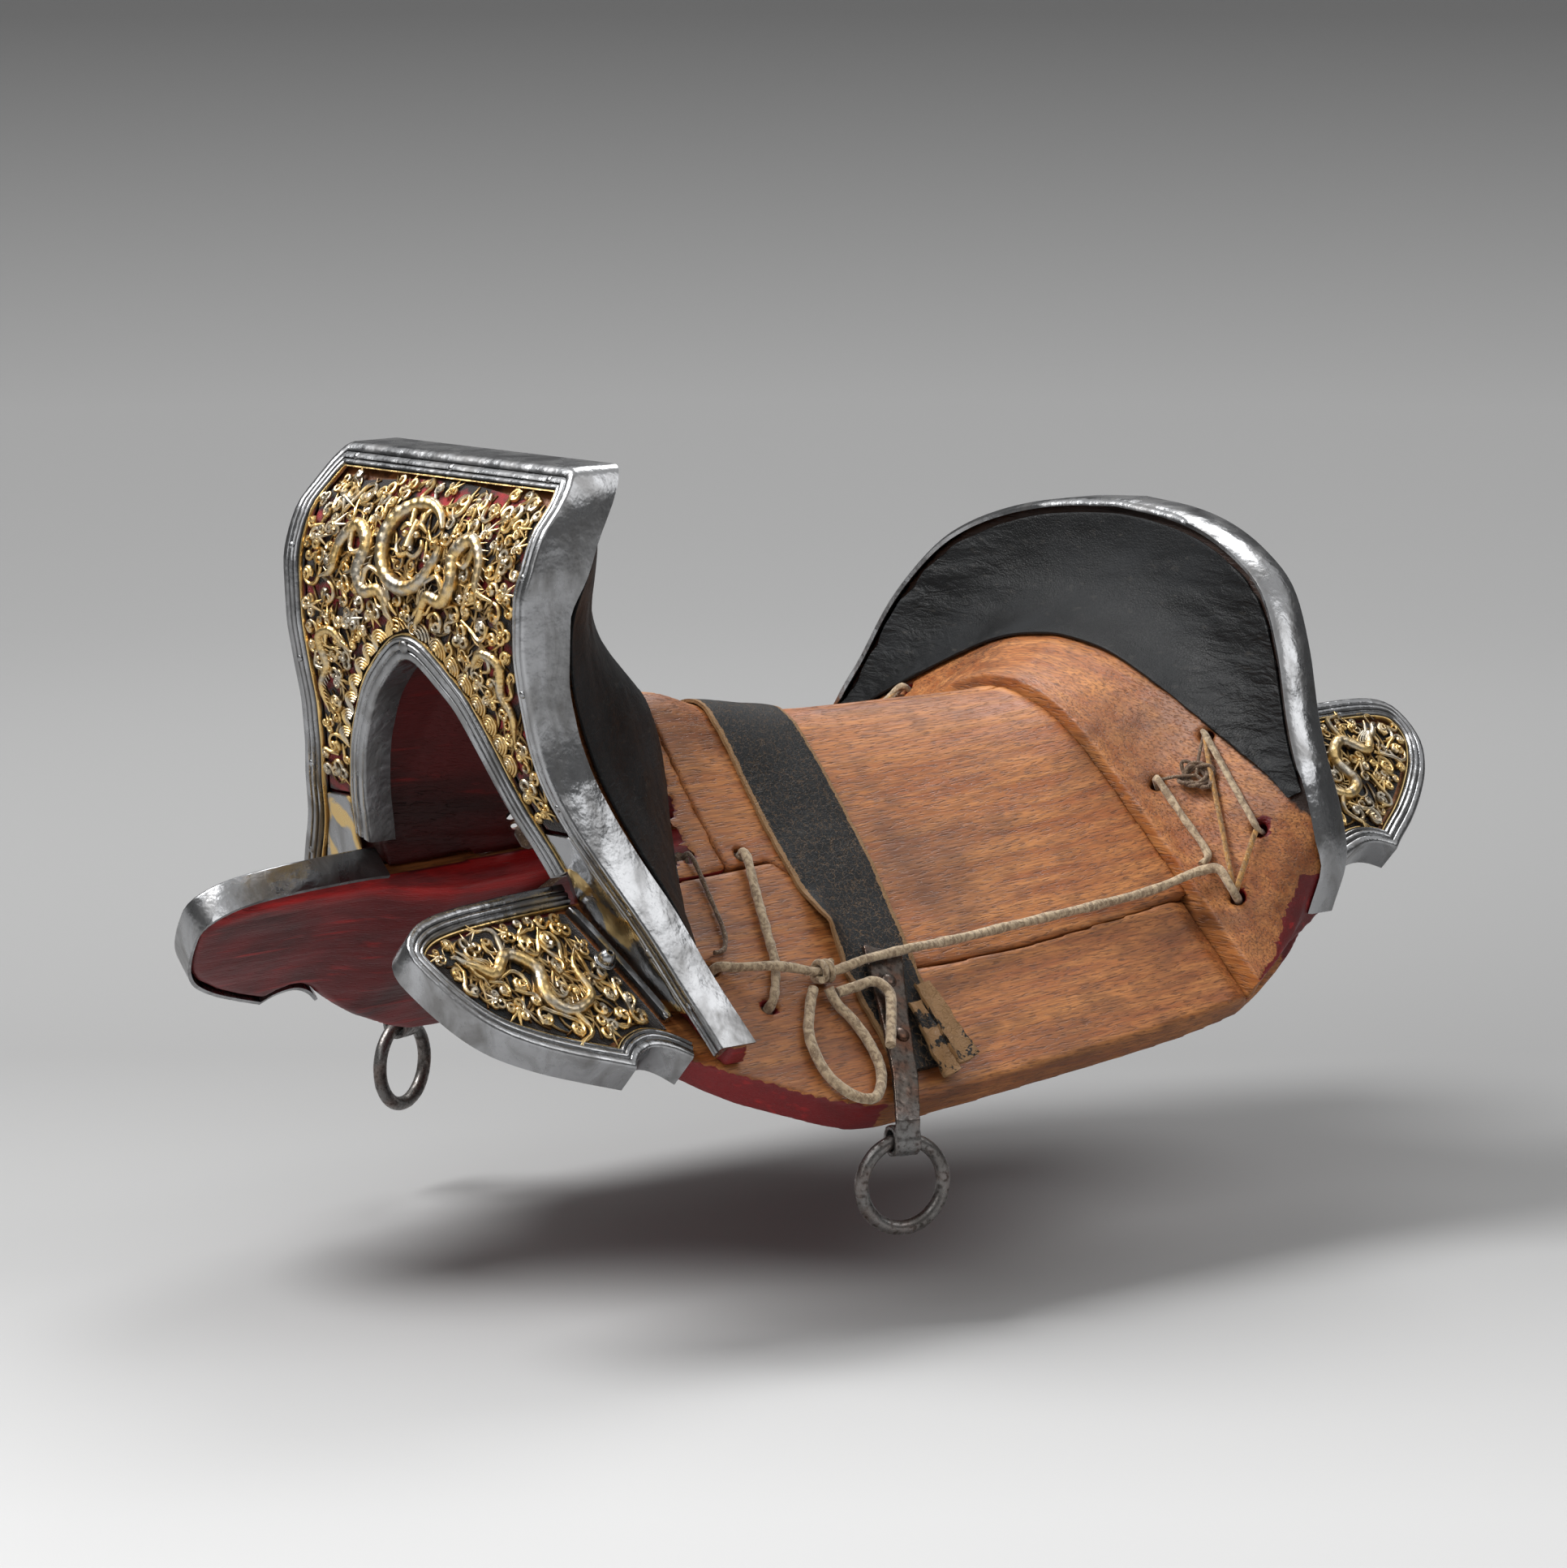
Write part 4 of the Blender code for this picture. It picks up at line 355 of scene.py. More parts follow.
def remeshed(node, voxel, passes, name, looks, shape=None):
    """A CAD node's copy with an even fine mesh whose edges are worn round."""
    made = finish_mesh(copy_of(node), name + "_cage", looks)
    step = made.modifiers.new("even", "REMESH")
    step.mode = "VOXEL"
    step.voxel_size = voxel
    step.adaptivity = 0.0
    ease = made.modifiers.new("ease", "SMOOTH")
    ease.factor = 0.5
    ease.iterations = passes
    mesh = mesh_of(made)
    if shape is not None:
        bend_mesh(mesh, shape)
    return place_mesh(mesh, name, looks, 60.0)


def points_and_normals(mesh):
    """A mesh's points and normals, read in one go."""
    count = len(mesh.vertices)
    places = np.empty(count * 3, dtype=np.float32)
    normals = np.empty(count * 3, dtype=np.float32)
    mesh.vertices.foreach_get("co", places)
    mesh.vertex_normals.foreach_get("vector", normals)
    return [Vector(p) for p in places.reshape(-1, 3)], [Vector(n) for n in normals.reshape(-1, 3)]


def bend_mesh(mesh, shape):
    """Move each point of a mesh by what a function of its place and normal says."""
    places, normals = points_and_normals(mesh)
    moved = [p + shape(p, n) for p, n in zip(places, normals)]
    mesh.vertices.foreach_set("co", np.array(moved, dtype=np.float32).ravel())
    mesh.update()


def paint_mesh(made, name, value):
    """Store a number on each point, worked out from its place and normal."""
    places, normals = points_and_normals(made.data)
    values = [value(p, n) for p, n in zip(places, normals)]
    made.data.attributes.new(name, "FLOAT", "POINT").data.foreach_set("value", values)


def strands(name, paths, looks, resolution=1, sharp=60.0):
    """One mesh of many strands, each given as (point, radius) pairs."""
    curve = bpy.data.curves.new(name, "CURVE")
    curve.dimensions = "3D"
    curve.bevel_depth = 1.0
    curve.bevel_resolution = resolution
    curve.use_fill_caps = True
    for path in paths:
        line = curve.splines.new("POLY")
        line.points.add(len(path) - 1)
        for knot, (place, radius) in zip(line.points, path):
            knot.co = (*place, 1.0)
            knot.radius = radius
    made = bpy.data.objects.new(name + "_line", curve)
    bpy.context.scene.collection.objects.link(made)
    return place_mesh(mesh_of(made), name, looks, sharp)


def dome_mesh(data, centre, out, radius, height, segments=12):
    """A shallow round head on a surface."""
    made = bmesh.ops.create_uvsphere(data, u_segments=segments, v_segments=8, radius=1.0)
    turn = Vector((0.0, 0.0, 1.0)).rotation_difference(Vector(out)).to_matrix().to_4x4()
    place = Matrix.Translation(Vector(centre)) @ turn @ Matrix.Diagonal((radius, radius, height, 1.0))
    bmesh.ops.transform(data, matrix=place, verts=made["verts"])


# Colours and shader nodes

def linear(value):
    """An sRGB hex colour as linear red, green and blue with a full alpha."""
    parts = [int(value[i:i + 2], 16) / 255.0 for i in (0, 2, 4)]
    return (*(p / 12.92 if p <= 0.04045 else ((p + 0.055) / 1.055) ** 2.4 for p in parts), 1.0)


def tint(name, words, value):
    return FloatVectorProperty(name=name, description=words, size=4, min=0.0, max=1.0, subtype="COLOR",
                               default=linear(value))


def size(name, words, value):
    return FloatProperty(name=name, description=words, default=value, min=0.0, unit="LENGTH")


class SaddleColours(bpy.types.PropertyGroup):
    wood: tint("Wood", "Bare wood between its grain lines", "9E5A2B")
    wood_pale: tint("Pale wood", "Rubbed wood", "C58348")
    wood_dark: tint("Dark wood", "Stained wood", "54301A")
    lacquer: tint("Lacquer", "Red lacquer", "7C1216")
    lacquer_worn: tint("Bright lacquer", "Lacquer where it is rubbed bright", "C2201F")
    leather: tint("Leather", "Black leather", "0D0E0F")
    leather_worn: tint("Worn leather", "Leather where its black has cracked off", "8A6A48")
    steel: tint("Steel", "Silvered steel", "A9AAAC")
    patina: tint("Patina", "Dark patina in the grooves", "2B2825")
    gilt: tint("Gilding", "Fire gilding", "DFC084")
    gilt_worn: tint("Worn gilding", "Metal under the rubbed gilding", "B9B5AA")
    # Dark red-brown of the openwork's lowest parts
    recess: tint("Recess", "Dirt deep in the openwork", "3A1A0E")
    red_cloth: tint("Red cloth", "Cloth behind the pommel's openwork", "A00C14")
    blue_cloth: tint("Blue cloth", "Cloth behind the lobes' openwork", "161D22")
    iron: tint("Iron", "Forged iron", "5A524C")
    rawhide: tint("Rawhide", "Dry rawhide thong", "BFA98A")
    dark_thong: tint("Dark thong", "Greasy thin thong", "5A4434")


class SaddleSizes(bpy.types.PropertyGroup):
    wood_voxel: size("Wood mesh", "Spacing of the boards' mesh", 0.0019)
    grain: size("Grain width", "Spacing of the wood's grain lines", 0.0022)
    pebble: size("Leather grain", "Spacing of the leather's wrinkles", 0.0024)
    tie_diameter: size("Tie thong", "Diameter of the long tie thong", 0.0048)
    lace_diameter: size("Laces", "Diameter of the short laces", 0.0040)
    ring_diameter: size("Girth ring", "Outer diameter of a girth ring", 0.045)
    ring_wire: size("Ring wire", "Thickness of a girth ring", 0.0065)
    floor: FloatProperty(name="Floor", description="Height of the floor", default=-0.230, unit="LENGTH")
    curls: IntProperty(name="Curls", description="Tries at placing curls in a panel", default=7000, min=100)


def sizes():
    return bpy.context.scene.saddle_sizes


def colours():
    return bpy.context.scene.saddle_colours


def node(tree, kind, links=None, output=0, stops=(), **settings):
    """Add a node with its settings, links and ramp stops, and give one of its outputs."""
    made = tree.nodes.new("ShaderNode" + kind)
    for key, value in settings.items():
        setattr(made, key, value)
    for key, value in (links or {}).items():
        if isinstance(value, bpy.types.NodeSocket):
            tree.links.new(value, made.inputs[key])
        else:
            made.inputs[key].default_value = value
    for i, (position, share) in enumerate(stops):
        knot = made.color_ramp.elements[i] if i < 2 else made.color_ramp.elements.new(position)
        knot.position = position
        knot.color = (share, share, share, 1.0)
    return made.outputs[output]


def fresh(name, roughness, metallic, **fixed):
    """A new material with its tree, its shader and the piece's object coordinates."""
    made = bpy.data.materials.new(name)
    made.use_nodes = True
    tree = made.node_tree
    shader = tree.nodes["Principled BSDF"]
    shader.inputs["Roughness"].default_value = roughness
    shader.inputs["Metallic"].default_value = metallic
    for key, value in fixed.items():
        shader.inputs[key.replace("_", " ")].default_value = value
    return made, tree, shader, node(tree, "TexCoord", output="Object")


def pattern(tree, place, spacing, detail=4.0, turn=(0.0, 0.0, 0.0), distortion=0.0):
    """Noise whose spacing is given in metres, one for all axes or one for each."""
    spacing = spacing if isinstance(spacing, tuple) else (spacing,) * 3
    mapped = node(tree, "Mapping", {"Vector": place, "Rotation": turn, "Scale": [1.0 / s for s in spacing]})
    links = {"Vector": mapped, "Scale": 1.0, "Detail": detail, "Distortion": distortion}
    return node(tree, "TexNoise", links)


def cracks(tree, place, spacing, width, wander=0.3):
    """White lines between the cells of a Voronoi pattern, of a share of a cell in width."""
    jitter = node(tree, "TexNoise", {"Vector": place, "Scale": 2.0 / spacing[0], "Detail": 3.0}, "Color")
    moved = node(tree, "VectorMath", {0: jitter, 1: (wander * spacing[0],) * 3, 2: place},
                 operation="MULTIPLY_ADD")
    mapped = node(tree, "Mapping", {"Vector": moved, "Scale": [1.0 / s for s in spacing]})
    cells = node(tree, "TexVoronoi", {"Vector": mapped, "Scale": 1.0}, feature="DISTANCE_TO_EDGE")
    return node(tree, "ValToRGB", {"Fac": cells}, stops=[(0.0, 1.0), (width, 0.0)])


def coat(tree, under, colour, cover, *stops):
    """Lay a colour over another by a cover, as thick as its (level, share) stops say."""
    share = node(tree, "ValToRGB", {"Fac": cover}, stops=stops) if stops else cover
    return node(tree, "Mix", {0: share, 6: under, 7: colour}, 2, data_type="RGBA")


def finished(tree, shader, colour, roughness, *layers):
    """Give the shader its colour, its roughness and bump layers, each a height and a depth in metres."""
    tree.links.new(colour, shader.inputs["Base Color"])
    if roughness is not None:
        tree.links.new(roughness, shader.inputs["Roughness"])
    below = {}
    for height, depth in layers:
        links = {"Height": height, "Distance": depth, "Strength": 1.0, **below}
        below = {"Normal": node(tree, "Bump", links)}
    tree.links.new(below["Normal"], shader.inputs["Normal"])


def worn_wood(name, run):
    """Birch or beech, hand-carved and rubbed: fine flecks along the grain, stains, pale worn places."""
    c, grain = colours(), sizes().grain
    made, tree, shader, place = fresh(name, 0.5, 0.0)

    def grained(across, along, detail, distortion=0.0):
        spacing = tuple(along if axis == run else across for axis in "xyz")
        return pattern(tree, place, spacing, detail, distortion=distortion)

    paint, bright, wear, shade = (node(tree, "Attribute", output="Fac", attribute_name=word)
                                  for word in ("paint", "bright", "wear", "shade"))
    streak = grained(grain * 2.4, grain * 42.0, 5.0, 0.25)
    fine = grained(grain * 0.42, grain * 7.0, 3.0)
    fleck = node(tree, "ValToRGB", {"Fac": grained(0.0008, 0.0060, 2.0)}, stops=[(0.54, 0.0), (0.66, 1.0)])
    ragged = grained(0.006, 0.030, 6.0)
    wood_stain_and_cloth_shade = pattern(tree, place, (0.055, 0.075, 0.055), 4.0, distortion=0.6)
    cloud = pattern(tree, place, (0.018, 0.030, 0.018), 5.0)
    spot = pattern(tree, place, (0.004, 0.006, 0.004), 4.0)
    line = node(tree, "ValToRGB", {"Fac": grained(0.0045, 0.16, 3.0)},
                stops=[(0.490, 0.0), (0.500, 1.0), (0.510, 0.0)])
    split_at = node(tree, "ValToRGB", {"Fac": pattern(tree, place, (0.05, 0.07, 0.05), 2.0)},
                    stops=[(0.60, 0.0), (0.68, 1.0)])
    split = node(tree, "Math", {0: line, 1: split_at}, operation="MULTIPLY")
    soot = linear("2A1810")
    colour = coat(tree, c.wood, c.wood_pale, streak, (0.36, 0.0), (0.72, 1.0))
    for cover, low, high, share, dark in (
            (wood_stain_and_cloth_shade, 0.46, 0.72, 0.85, c.wood_dark), (cloud, 0.56, 0.76, 0.60, c.wood_dark),
            (fleck, 0.0, 1.0, 0.62, c.wood_dark), (spot, 0.68, 0.76, 0.35, soot),
            (fine, 0.42, 0.60, 0.42, c.wood_dark), (split, 0.0, 1.0, 0.70, soot)):
        colour = coat(tree, colour, dark, cover, (low, 0.0), (high, share))
    lacquer = coat(tree, c.lacquer, linear("3F0F10"), wood_stain_and_cloth_shade, (0.40, 0.0), (0.66, 1.0))
    lacquer = coat(tree, lacquer, c.lacquer_worn, grained(0.004, 0.05, 5.0), (0.60, 0.0), (0.74, 0.55))
    lacquer = coat(tree, lacquer, linear("160807"), split, (0.0, 0.0), (1.0, 0.85))
    patchy = node(tree, "ValToRGB", {"Fac": ragged}, stops=[(0.34, 0.2), (0.56, 1.0)])
    rubbed = node(tree, "Math", {0: bright, 1: patchy}, operation="MULTIPLY")
    lacquer = coat(tree, lacquer, c.lacquer_worn, rubbed)
    # Lacquer covers what the paint attribute says, with a ragged boundary along the grain
    loose = node(tree, "Math", {0: ragged, 1: 1.1, 2: -0.55}, operation="MULTIPLY_ADD")
    covered = node(tree, "Math", {0: paint, 1: loose}, operation="ADD")
    colour = coat(tree, colour, lacquer, covered, (0.44, 0.0), (0.52, 1.0))
    worn = node(tree, "Math", {0: ragged, 1: 0.6, 2: wear}, operation="MULTIPLY_ADD")
    colour = coat(tree, colour, c.wood_pale, worn, (0.80, 0.0), (1.0, 0.75))
    # The shade attribute darkens the wood: painted shade inside the pommel's tunnel, and on the cantle a
    # darker back and a near black front above the leather's edge
    colour = coat(tree, colour, linear("20110B"), shade)
    rough = node(tree, "ValToRGB", {"Fac": streak}, stops=[(0.30, 0.42), (0.75, 0.60)])
    finished(tree, shader, colour, rough, (fleck, -0.00014), (fine, 0.00016), (streak, 0.00035),
             (split, -0.00060), (cloud, 0.00060))
    return made


def black_leather(name):
    """Vegetable-tanned leather, dyed black: soft sheen, fine creases, brown where it is scuffed."""
    c, pebble = colours(), sizes().pebble
    made, tree, shader, place = fresh(name, 0.52, 0.0, Specular_IOR_Level=0.22)
    crease = pattern(tree, place, (pebble * 1.2, pebble * 0.8, pebble), 5.0, distortion=0.8)
    folds = pattern(tree, place, (0.016, 0.010, 0.005), 5.0, (0.3, 0.0, 0.2), 1.2)
    patch = pattern(tree, place, (0.045, 0.045, 0.030), 5.0)
    scuff = pattern(tree, place, (0.008, 0.008, 0.003), 6.0)
    grain = cracks(tree, place, (pebble * 0.55,) * 3, 0.22, 0.5)
    line = cracks(tree, place, (0.0046, 0.0030, 0.0044), 0.075, 1.1)
    wear = node(tree, "Attribute", output="Fac", attribute_name="wear")
    folded = node(tree, "Attribute", output="Fac", attribute_name="folded")
    creased = node(tree, "ValToRGB", {"Fac": crease}, stops=[(0.42, 0.35), (0.60, 1.0)])
    cracked = node(tree, "Math", {0: wear, 1: creased}, operation="MULTIPLY")
    shown = node(tree, "Math", {0: line, 1: cracked}, operation="MULTIPLY")
    brown = node(tree, "Math", {0: shown, 1: 0.85}, operation="MULTIPLY")
    bare = node(tree, "Math", {0: crease, 1: 0.5, 2: wear}, operation="MULTIPLY_ADD")
    colour = coat(tree, c.leather, linear("1E2022"), patch, (0.38, 0.0), (0.70, 1.0))
    colour = coat(tree, colour, linear("5A5650"), scuff, (0.62, 0.0), (0.74, 0.22))
    colour = coat(tree, colour, c.leather_worn, brown)
    colour = coat(tree, colour, c.leather_worn, bare, (0.98, 0.0), (1.0, 1.0))
    rough = node(tree, "ValToRGB", {"Fac": patch}, stops=[(0.30, 0.42), (0.72, 0.62)])
    share = node(tree, "Math", {0: folded, 1: 0.12}, operation="ADD")
    deep = node(tree, "Math", {0: folds, 1: share}, operation="MULTIPLY")
    finished(tree, shader, colour, rough, (grain, -0.00007), (crease, 0.00022), (deep, 0.00150),
             (shown, -0.00025))
    return made


def silvered_steel(name):
    """Steel faced with hammered silver: bright ridges, dark tarnish in the grooves, small dents."""
    c = colours()
    made, tree, shader, place = fresh(name, 0.24, 1.0)
    dents = pattern(tree, place, 0.009, 3.0)
    rub = pattern(tree, place, 0.0016)
    tarnish = pattern(tree, place, (0.016, 0.016, 0.034), 6.0, distortion=0.8)
    groove = node(tree, "Attribute", output="Fac", attribute_name="groove")
    gold = node(tree, "Attribute", output="Fac", attribute_name="gold")
    specks = node(tree, "ValToRGB", {"Fac": rub}, stops=[(0.60, 0.0), (0.72, 0.18)])
    dark = node(tree, "Math", {0: groove, 1: 0.85, 2: specks}, operation="MULTIPLY_ADD")
    leaf = node(tree, "Math", {0: tarnish, 1: 0.9, 2: gold}, operation="MULTIPLY_ADD")
    colour = coat(tree, c.steel, linear("6E6C6A"), tarnish, (0.42, 0.0), (0.68, 0.75))
    colour = coat(tree, colour, c.patina, dark)
    colour = coat(tree, colour, c.gilt, leaf, (0.95, 0.0), (1.0, 1.0))
    rough = node(tree, "ValToRGB", {"Fac": tarnish}, stops=[(0.30, 0.17), (0.75, 0.40)])
    finished(tree, shader, colour, rough, (dents, 0.00075), (rub, 0.00004))
    return made


def gilt_iron(name):
    """Chased iron, fire-gilt: gold on the raised work, silver-grey where rubbed, dark in the depths."""
    c = colours()
    made, tree, shader, place = fresh(name, 0.34, 1.0)
    relief = node(tree, "Attribute", output="Fac", attribute_name="relief")
    rub = pattern(tree, place, 0.010, 5.0)
    chase = pattern(tree, place, 0.0007, 3.0)
    bare = node(tree, "Math", {0: relief, 1: 0.18, 2: rub}, operation="MULTIPLY_ADD")
    colour = coat(tree, c.gilt, c.gilt_worn, bare, (0.62, 0.0), (0.78, 0.9))
    colour = coat(tree, colour, linear("8C5A26"), chase, (0.30, 0.35), (0.52, 0.0))
    # The openwork darkens towards its lowest parts, the deep vines most
    colour = coat(tree, colour, c.recess, relief, (0.22, 0.92), (0.52, 0.0))
    rough = node(tree, "ValToRGB", {"Fac": relief}, stops=[(0.1, 0.62), (0.6, 0.33)])
    finished(tree, shader, colour, rough, (chase, 0.00012), (rub, 0.00030))
    return made


def plain_cloth(name, colour):
    """Plain-woven silk or cotton lining: fine threads, matt, drawn coarse enough to show, with painted shadow
    in near-black blotches.
    """
    made, tree, shader, place = fresh(name, 0.85, 0.0, Sheen_Weight=0.3)
    wood_stain_and_cloth_shade = pattern(tree, place, 0.016)
    weave = cracks(tree, place, (0.0011, 0.0011, 0.0011), 0.25, 0.1)
    # Painted shadow: near-black blotches over about half the cloth, for the shade behind the openwork
    colour = coat(tree, linear("140604"), colour, wood_stain_and_cloth_shade, (0.50, 0.0), (0.64, 1.0))
    finished(tree, shader, colour, None, (weave, -0.00018))
    return made


def forged_iron(name):
    """Forged iron: brown-black scale with rust, polished bright where metal rubs on metal."""
    made, tree, shader, place = fresh(name, 0.42, 0.85)
    scale = pattern(tree, place, 0.0022, 6.0)
    rust = pattern(tree, place, 0.009, 6.0)
    bright = node(tree, "Attribute", output="Fac", attribute_name="bright")
    patchy = node(tree, "ValToRGB", {"Fac": scale}, stops=[(0.35, 0.3), (0.50, 1.0)])
    polished = node(tree, "Math", {0: bright, 1: patchy}, operation="MULTIPLY")
    colour = coat(tree, colours().iron, linear("6A4430"), rust, (0.44, 0.0), (0.66, 0.75))
    colour = coat(tree, colour, linear("1C1715"), scale, (0.34, 0.7), (0.50, 0.0))
    colour = coat(tree, colour, linear("7F7E7D"), polished)
    rough = node(tree, "ValToRGB", {"Fac": scale}, stops=[(0.36, 0.48), (0.62, 0.24)])
    finished(tree, shader, colour, rough, (scale, 0.00006), (rust, 0.00030))
    return made


def rawhide(name, colour, fuzz=1.0):
    """Dried hide cut into thongs: chalky, fibrous and creased, darker in its wrinkles."""
    made, tree, shader, place = fresh(name, 0.82, 0.0, Sheen_Weight=0.25)
    fibre = pattern(tree, place, 0.0007, 5.0)
    crease = pattern(tree, place, (0.0030, 0.0022, 0.0030), 5.0, distortion=0.7)
    colour = coat(tree, colour, linear("6E5740"), crease, (0.40, 0.75), (0.60, 0.0))
    colour = coat(tree, colour, linear("DCCBAE"), fibre, (0.55, 0.0), (0.72, 0.5))
    finished(tree, shader, colour, None, (fibre, 0.00022 * fuzz), (crease, 0.00070))
    return made


LOOKS = {}


def look(name):
    return LOOKS[name]


class SADDLE_OT_finishes(bpy.types.Operator):
    """Make the saddle's finishes"""
    bl_idname = "saddle.finishes"
    bl_label = "Finishes"

    def execute(self, context):
        c = colours()
        LOOKS.update(
            wood_along=worn_wood("rubbed_wood_along", "y"),
            wood_across=worn_wood("rubbed_wood_across", "x"),
            leather=black_leather("black_dyed_leather"),
            steel=silvered_steel("hammered_silvered_steel"),
            gilt=gilt_iron("fire_gilt_iron"),
            red_cloth=plain_cloth("red_lining_cloth", c.red_cloth),
            blue_cloth=plain_cloth("blue_lining_cloth", c.blue_cloth),
            iron=forged_iron("forged_iron"),
            rawhide=rawhide("dry_rawhide", c.rawhide),
            golden_thong=rawhide("golden_rawhide", linear("B88748"), 0.5),
            dark_thong=rawhide("greasy_thong", c.dark_thong, 0.6))
        return {"FINISHED"}


# Stage: floor, lights and camera

CAMERA_AZIMUTH = 48.0
CAMERA_ELEVATION = 9.0
CAMERA_DISTANCE = 2.74
CAMERA_TARGET = Vector((0.0, 0.0066, -0.025))
LENS_SHARE = 7400.0 / 1932.0
SENSOR_WIDTH = 36.0


def direction(azimuth, elevation):
    a, e = math.radians(azimuth), math.radians(elevation)
    return Vector((math.sin(a) * math.cos(e), -math.cos(a) * math.cos(e), math.sin(e)))


def floor_paper(name):
    """Matt studio paper with painted light and shade: paler in front of the saddle, darkest a little behind it
    and darker up the wall.
    """
    made, tree, shader, place = fresh(name, 0.9, 0.0)
    ahead = tuple(direction(CAMERA_AZIMUTH, 0.0))
    # Painted light and shade along the floor, from the camera's side to the back
    along = node(tree, "VectorMath", {0: place, 1: ahead}, "Value", operation="DOT_PRODUCT")
    share = node(tree, "MapRange", {"Value": along, "From Min": -4.5, "From Max": 0.8})
    painted_light_along = node(tree, "ValToRGB", {"Fac": share},
                stops=[(0.0, 0.52), (0.40, 0.42), (0.62, 0.33), (0.775, 0.27), (0.865, 0.37), (0.94, 0.54),
                       (1.0, 0.58)])
    # Painted shade: the paper darkens with height up the wall
    height = node(tree, "SeparateXYZ", {0: place}, "Z")
    fall = node(tree, "MapRange", {"Value": height, "From Min": -0.12, "From Max": 0.22, "To Min": 1.0,
                                   "To Max": 0.42})
    shaded = node(tree, "Mix", {0: 1.0, 6: painted_light_along, 7: fall}, 2, data_type="RGBA", blend_type="MULTIPLY")
    tree.links.new(shaded, shader.inputs["Base Color"])
    return made


def soft_lamp(name, azimuth, elevation, distance, width, power):
    lamp = bpy.data.lights.new(name, "AREA")
    lamp.shape = "DISK"
    lamp.size = width
    lamp.energy = power
    made = bpy.data.objects.new(name, lamp)
    bpy.context.scene.collection.objects.link(made)
    away = direction(azimuth, elevation)
    made.location = CAMERA_TARGET + away * distance
    made.rotation_mode = "QUATERNION"
    made.rotation_quaternion = (-away).to_track_quat("-Z", "Y")


class SADDLE_OT_stage(bpy.types.Operator):
    """Make the floor, the lights and the camera"""
    bl_idname = "saddle.stage"
    bl_label = "Stage"

    def execute(self, context):
        scene = context.scene
        scene.view_settings.view_transform = "Standard"
        self.floor()
        self.room(scene)
        for lamp in (("key_lamp", -42.0, 56.0, 2.4, 1.3, 66.0), ("side_lamp", 122.0, 42.0, 3.0, 1.8, 12.0),
                     ("front_lamp", 20.0, 30.0, 3.0, 1.8, 12.0), ("back_lamp", 215.0, 50.0, 2.6, 1.2, 24.0)):
            soft_lamp(*lamp)
        self.camera(scene)
        return {"FINISHED"}

    def floor(self):
        """A round floor whose edge rises to a wall, turned from one profile."""
        data = bmesh.new()
        profile = [(0.0, 0.0), (1.0, 0.0)]
        profile += [(2.0 + 3.6 * f, 4.0 * f ** 2.6) for f in np.linspace(0.0, 1.0, 22)]
        verts = [data.verts.new((x, 0.0, z + sizes().floor)) for x, z in profile]
        edges = [data.edges.new(pair) for pair in zip(verts, verts[1:])]
        bmesh.ops.spin(data, geom=verts + edges, cent=(0.0, 0.0, 0.0), axis=(0.0, 0.0, 1.0),
                       angle=2.0 * math.pi, steps=64, use_merge=True)
        bmesh.ops.remove_doubles(data, verts=data.verts, dist=1e-4)
        bmesh.ops.recalc_face_normals(data, faces=data.faces)
        bmesh.ops.reverse_faces(data, faces=data.faces)
        finish_mesh(data, "studio_floor", [floor_paper("studio_paper")])

    def room(self, scene):
        """A soft light all round, in bands that give the metal something to mirror."""
        world = bpy.data.worlds.new("soft_room")
        world.use_nodes = True
        room = world.node_tree
        way = node(room, "TexCoord", output="Generated")
        height = node(room, "SeparateXYZ", {0: way}, "Z")
        share = node(room, "Math", {0: height, 1: 0.5, 2: 0.5}, operation="MULTIPLY_ADD")
        bands = node(room, "ValToRGB", {"Fac": share},
                     stops=[(0.0, 0.30), (0.46, 0.42), (0.56, 0.16), (0.70, 0.20), (0.82, 0.85), (1.0, 0.70)])
        room.links.new(bands, room.nodes["Background"].inputs["Color"])
        room.nodes["Background"].inputs["Strength"].default_value = 0.80
        scene.world = world

    def camera(self, scene):
        lens = bpy.data.cameras.new("photo_camera")
        lens.sensor_width = SENSOR_WIDTH
        lens.lens = SENSOR_WIDTH * LENS_SHARE
        lens.clip_start = 0.05
        lens.clip_end = 60.0
        camera = bpy.data.objects.new("photo_camera", lens)
        scene.collection.objects.link(camera)
        back = direction(CAMERA_AZIMUTH, CAMERA_ELEVATION)
        camera.location = CAMERA_TARGET + back * CAMERA_DISTANCE
        camera.rotation_mode = "QUATERNION"
        camera.rotation_quaternion = (-back).to_track_quat("-Z", "Y")
        scene.camera = camera


# Wooden tree

def grain_shape(run, amount):
    """A slow unevenness of hand-cut wood, long in the grain's direction."""
    across, along = 60.0, 9.0
    scale = [along if axis == run else across for axis in "xyz"]

    def shape(place, normal):
        return normal * amount * noise.noise(Vector([p * s for p, s in zip(place, scale)]))

    return shape


def outward_share(place, normal):
    """How much a point faces the way that the tree's outer surface does there."""
    out = tree_normal(abs(place.x), place.y)
    out = Vector((math.copysign(out.x, place.x), out.y, out.z))
    return normal.dot(out)


def depth_below(place):
    """Depth of a point below the tree's outer surface."""
    x = abs(place.x)
    return (surface(x, place.y) - place.z) * tree_normal(x, place.y).z


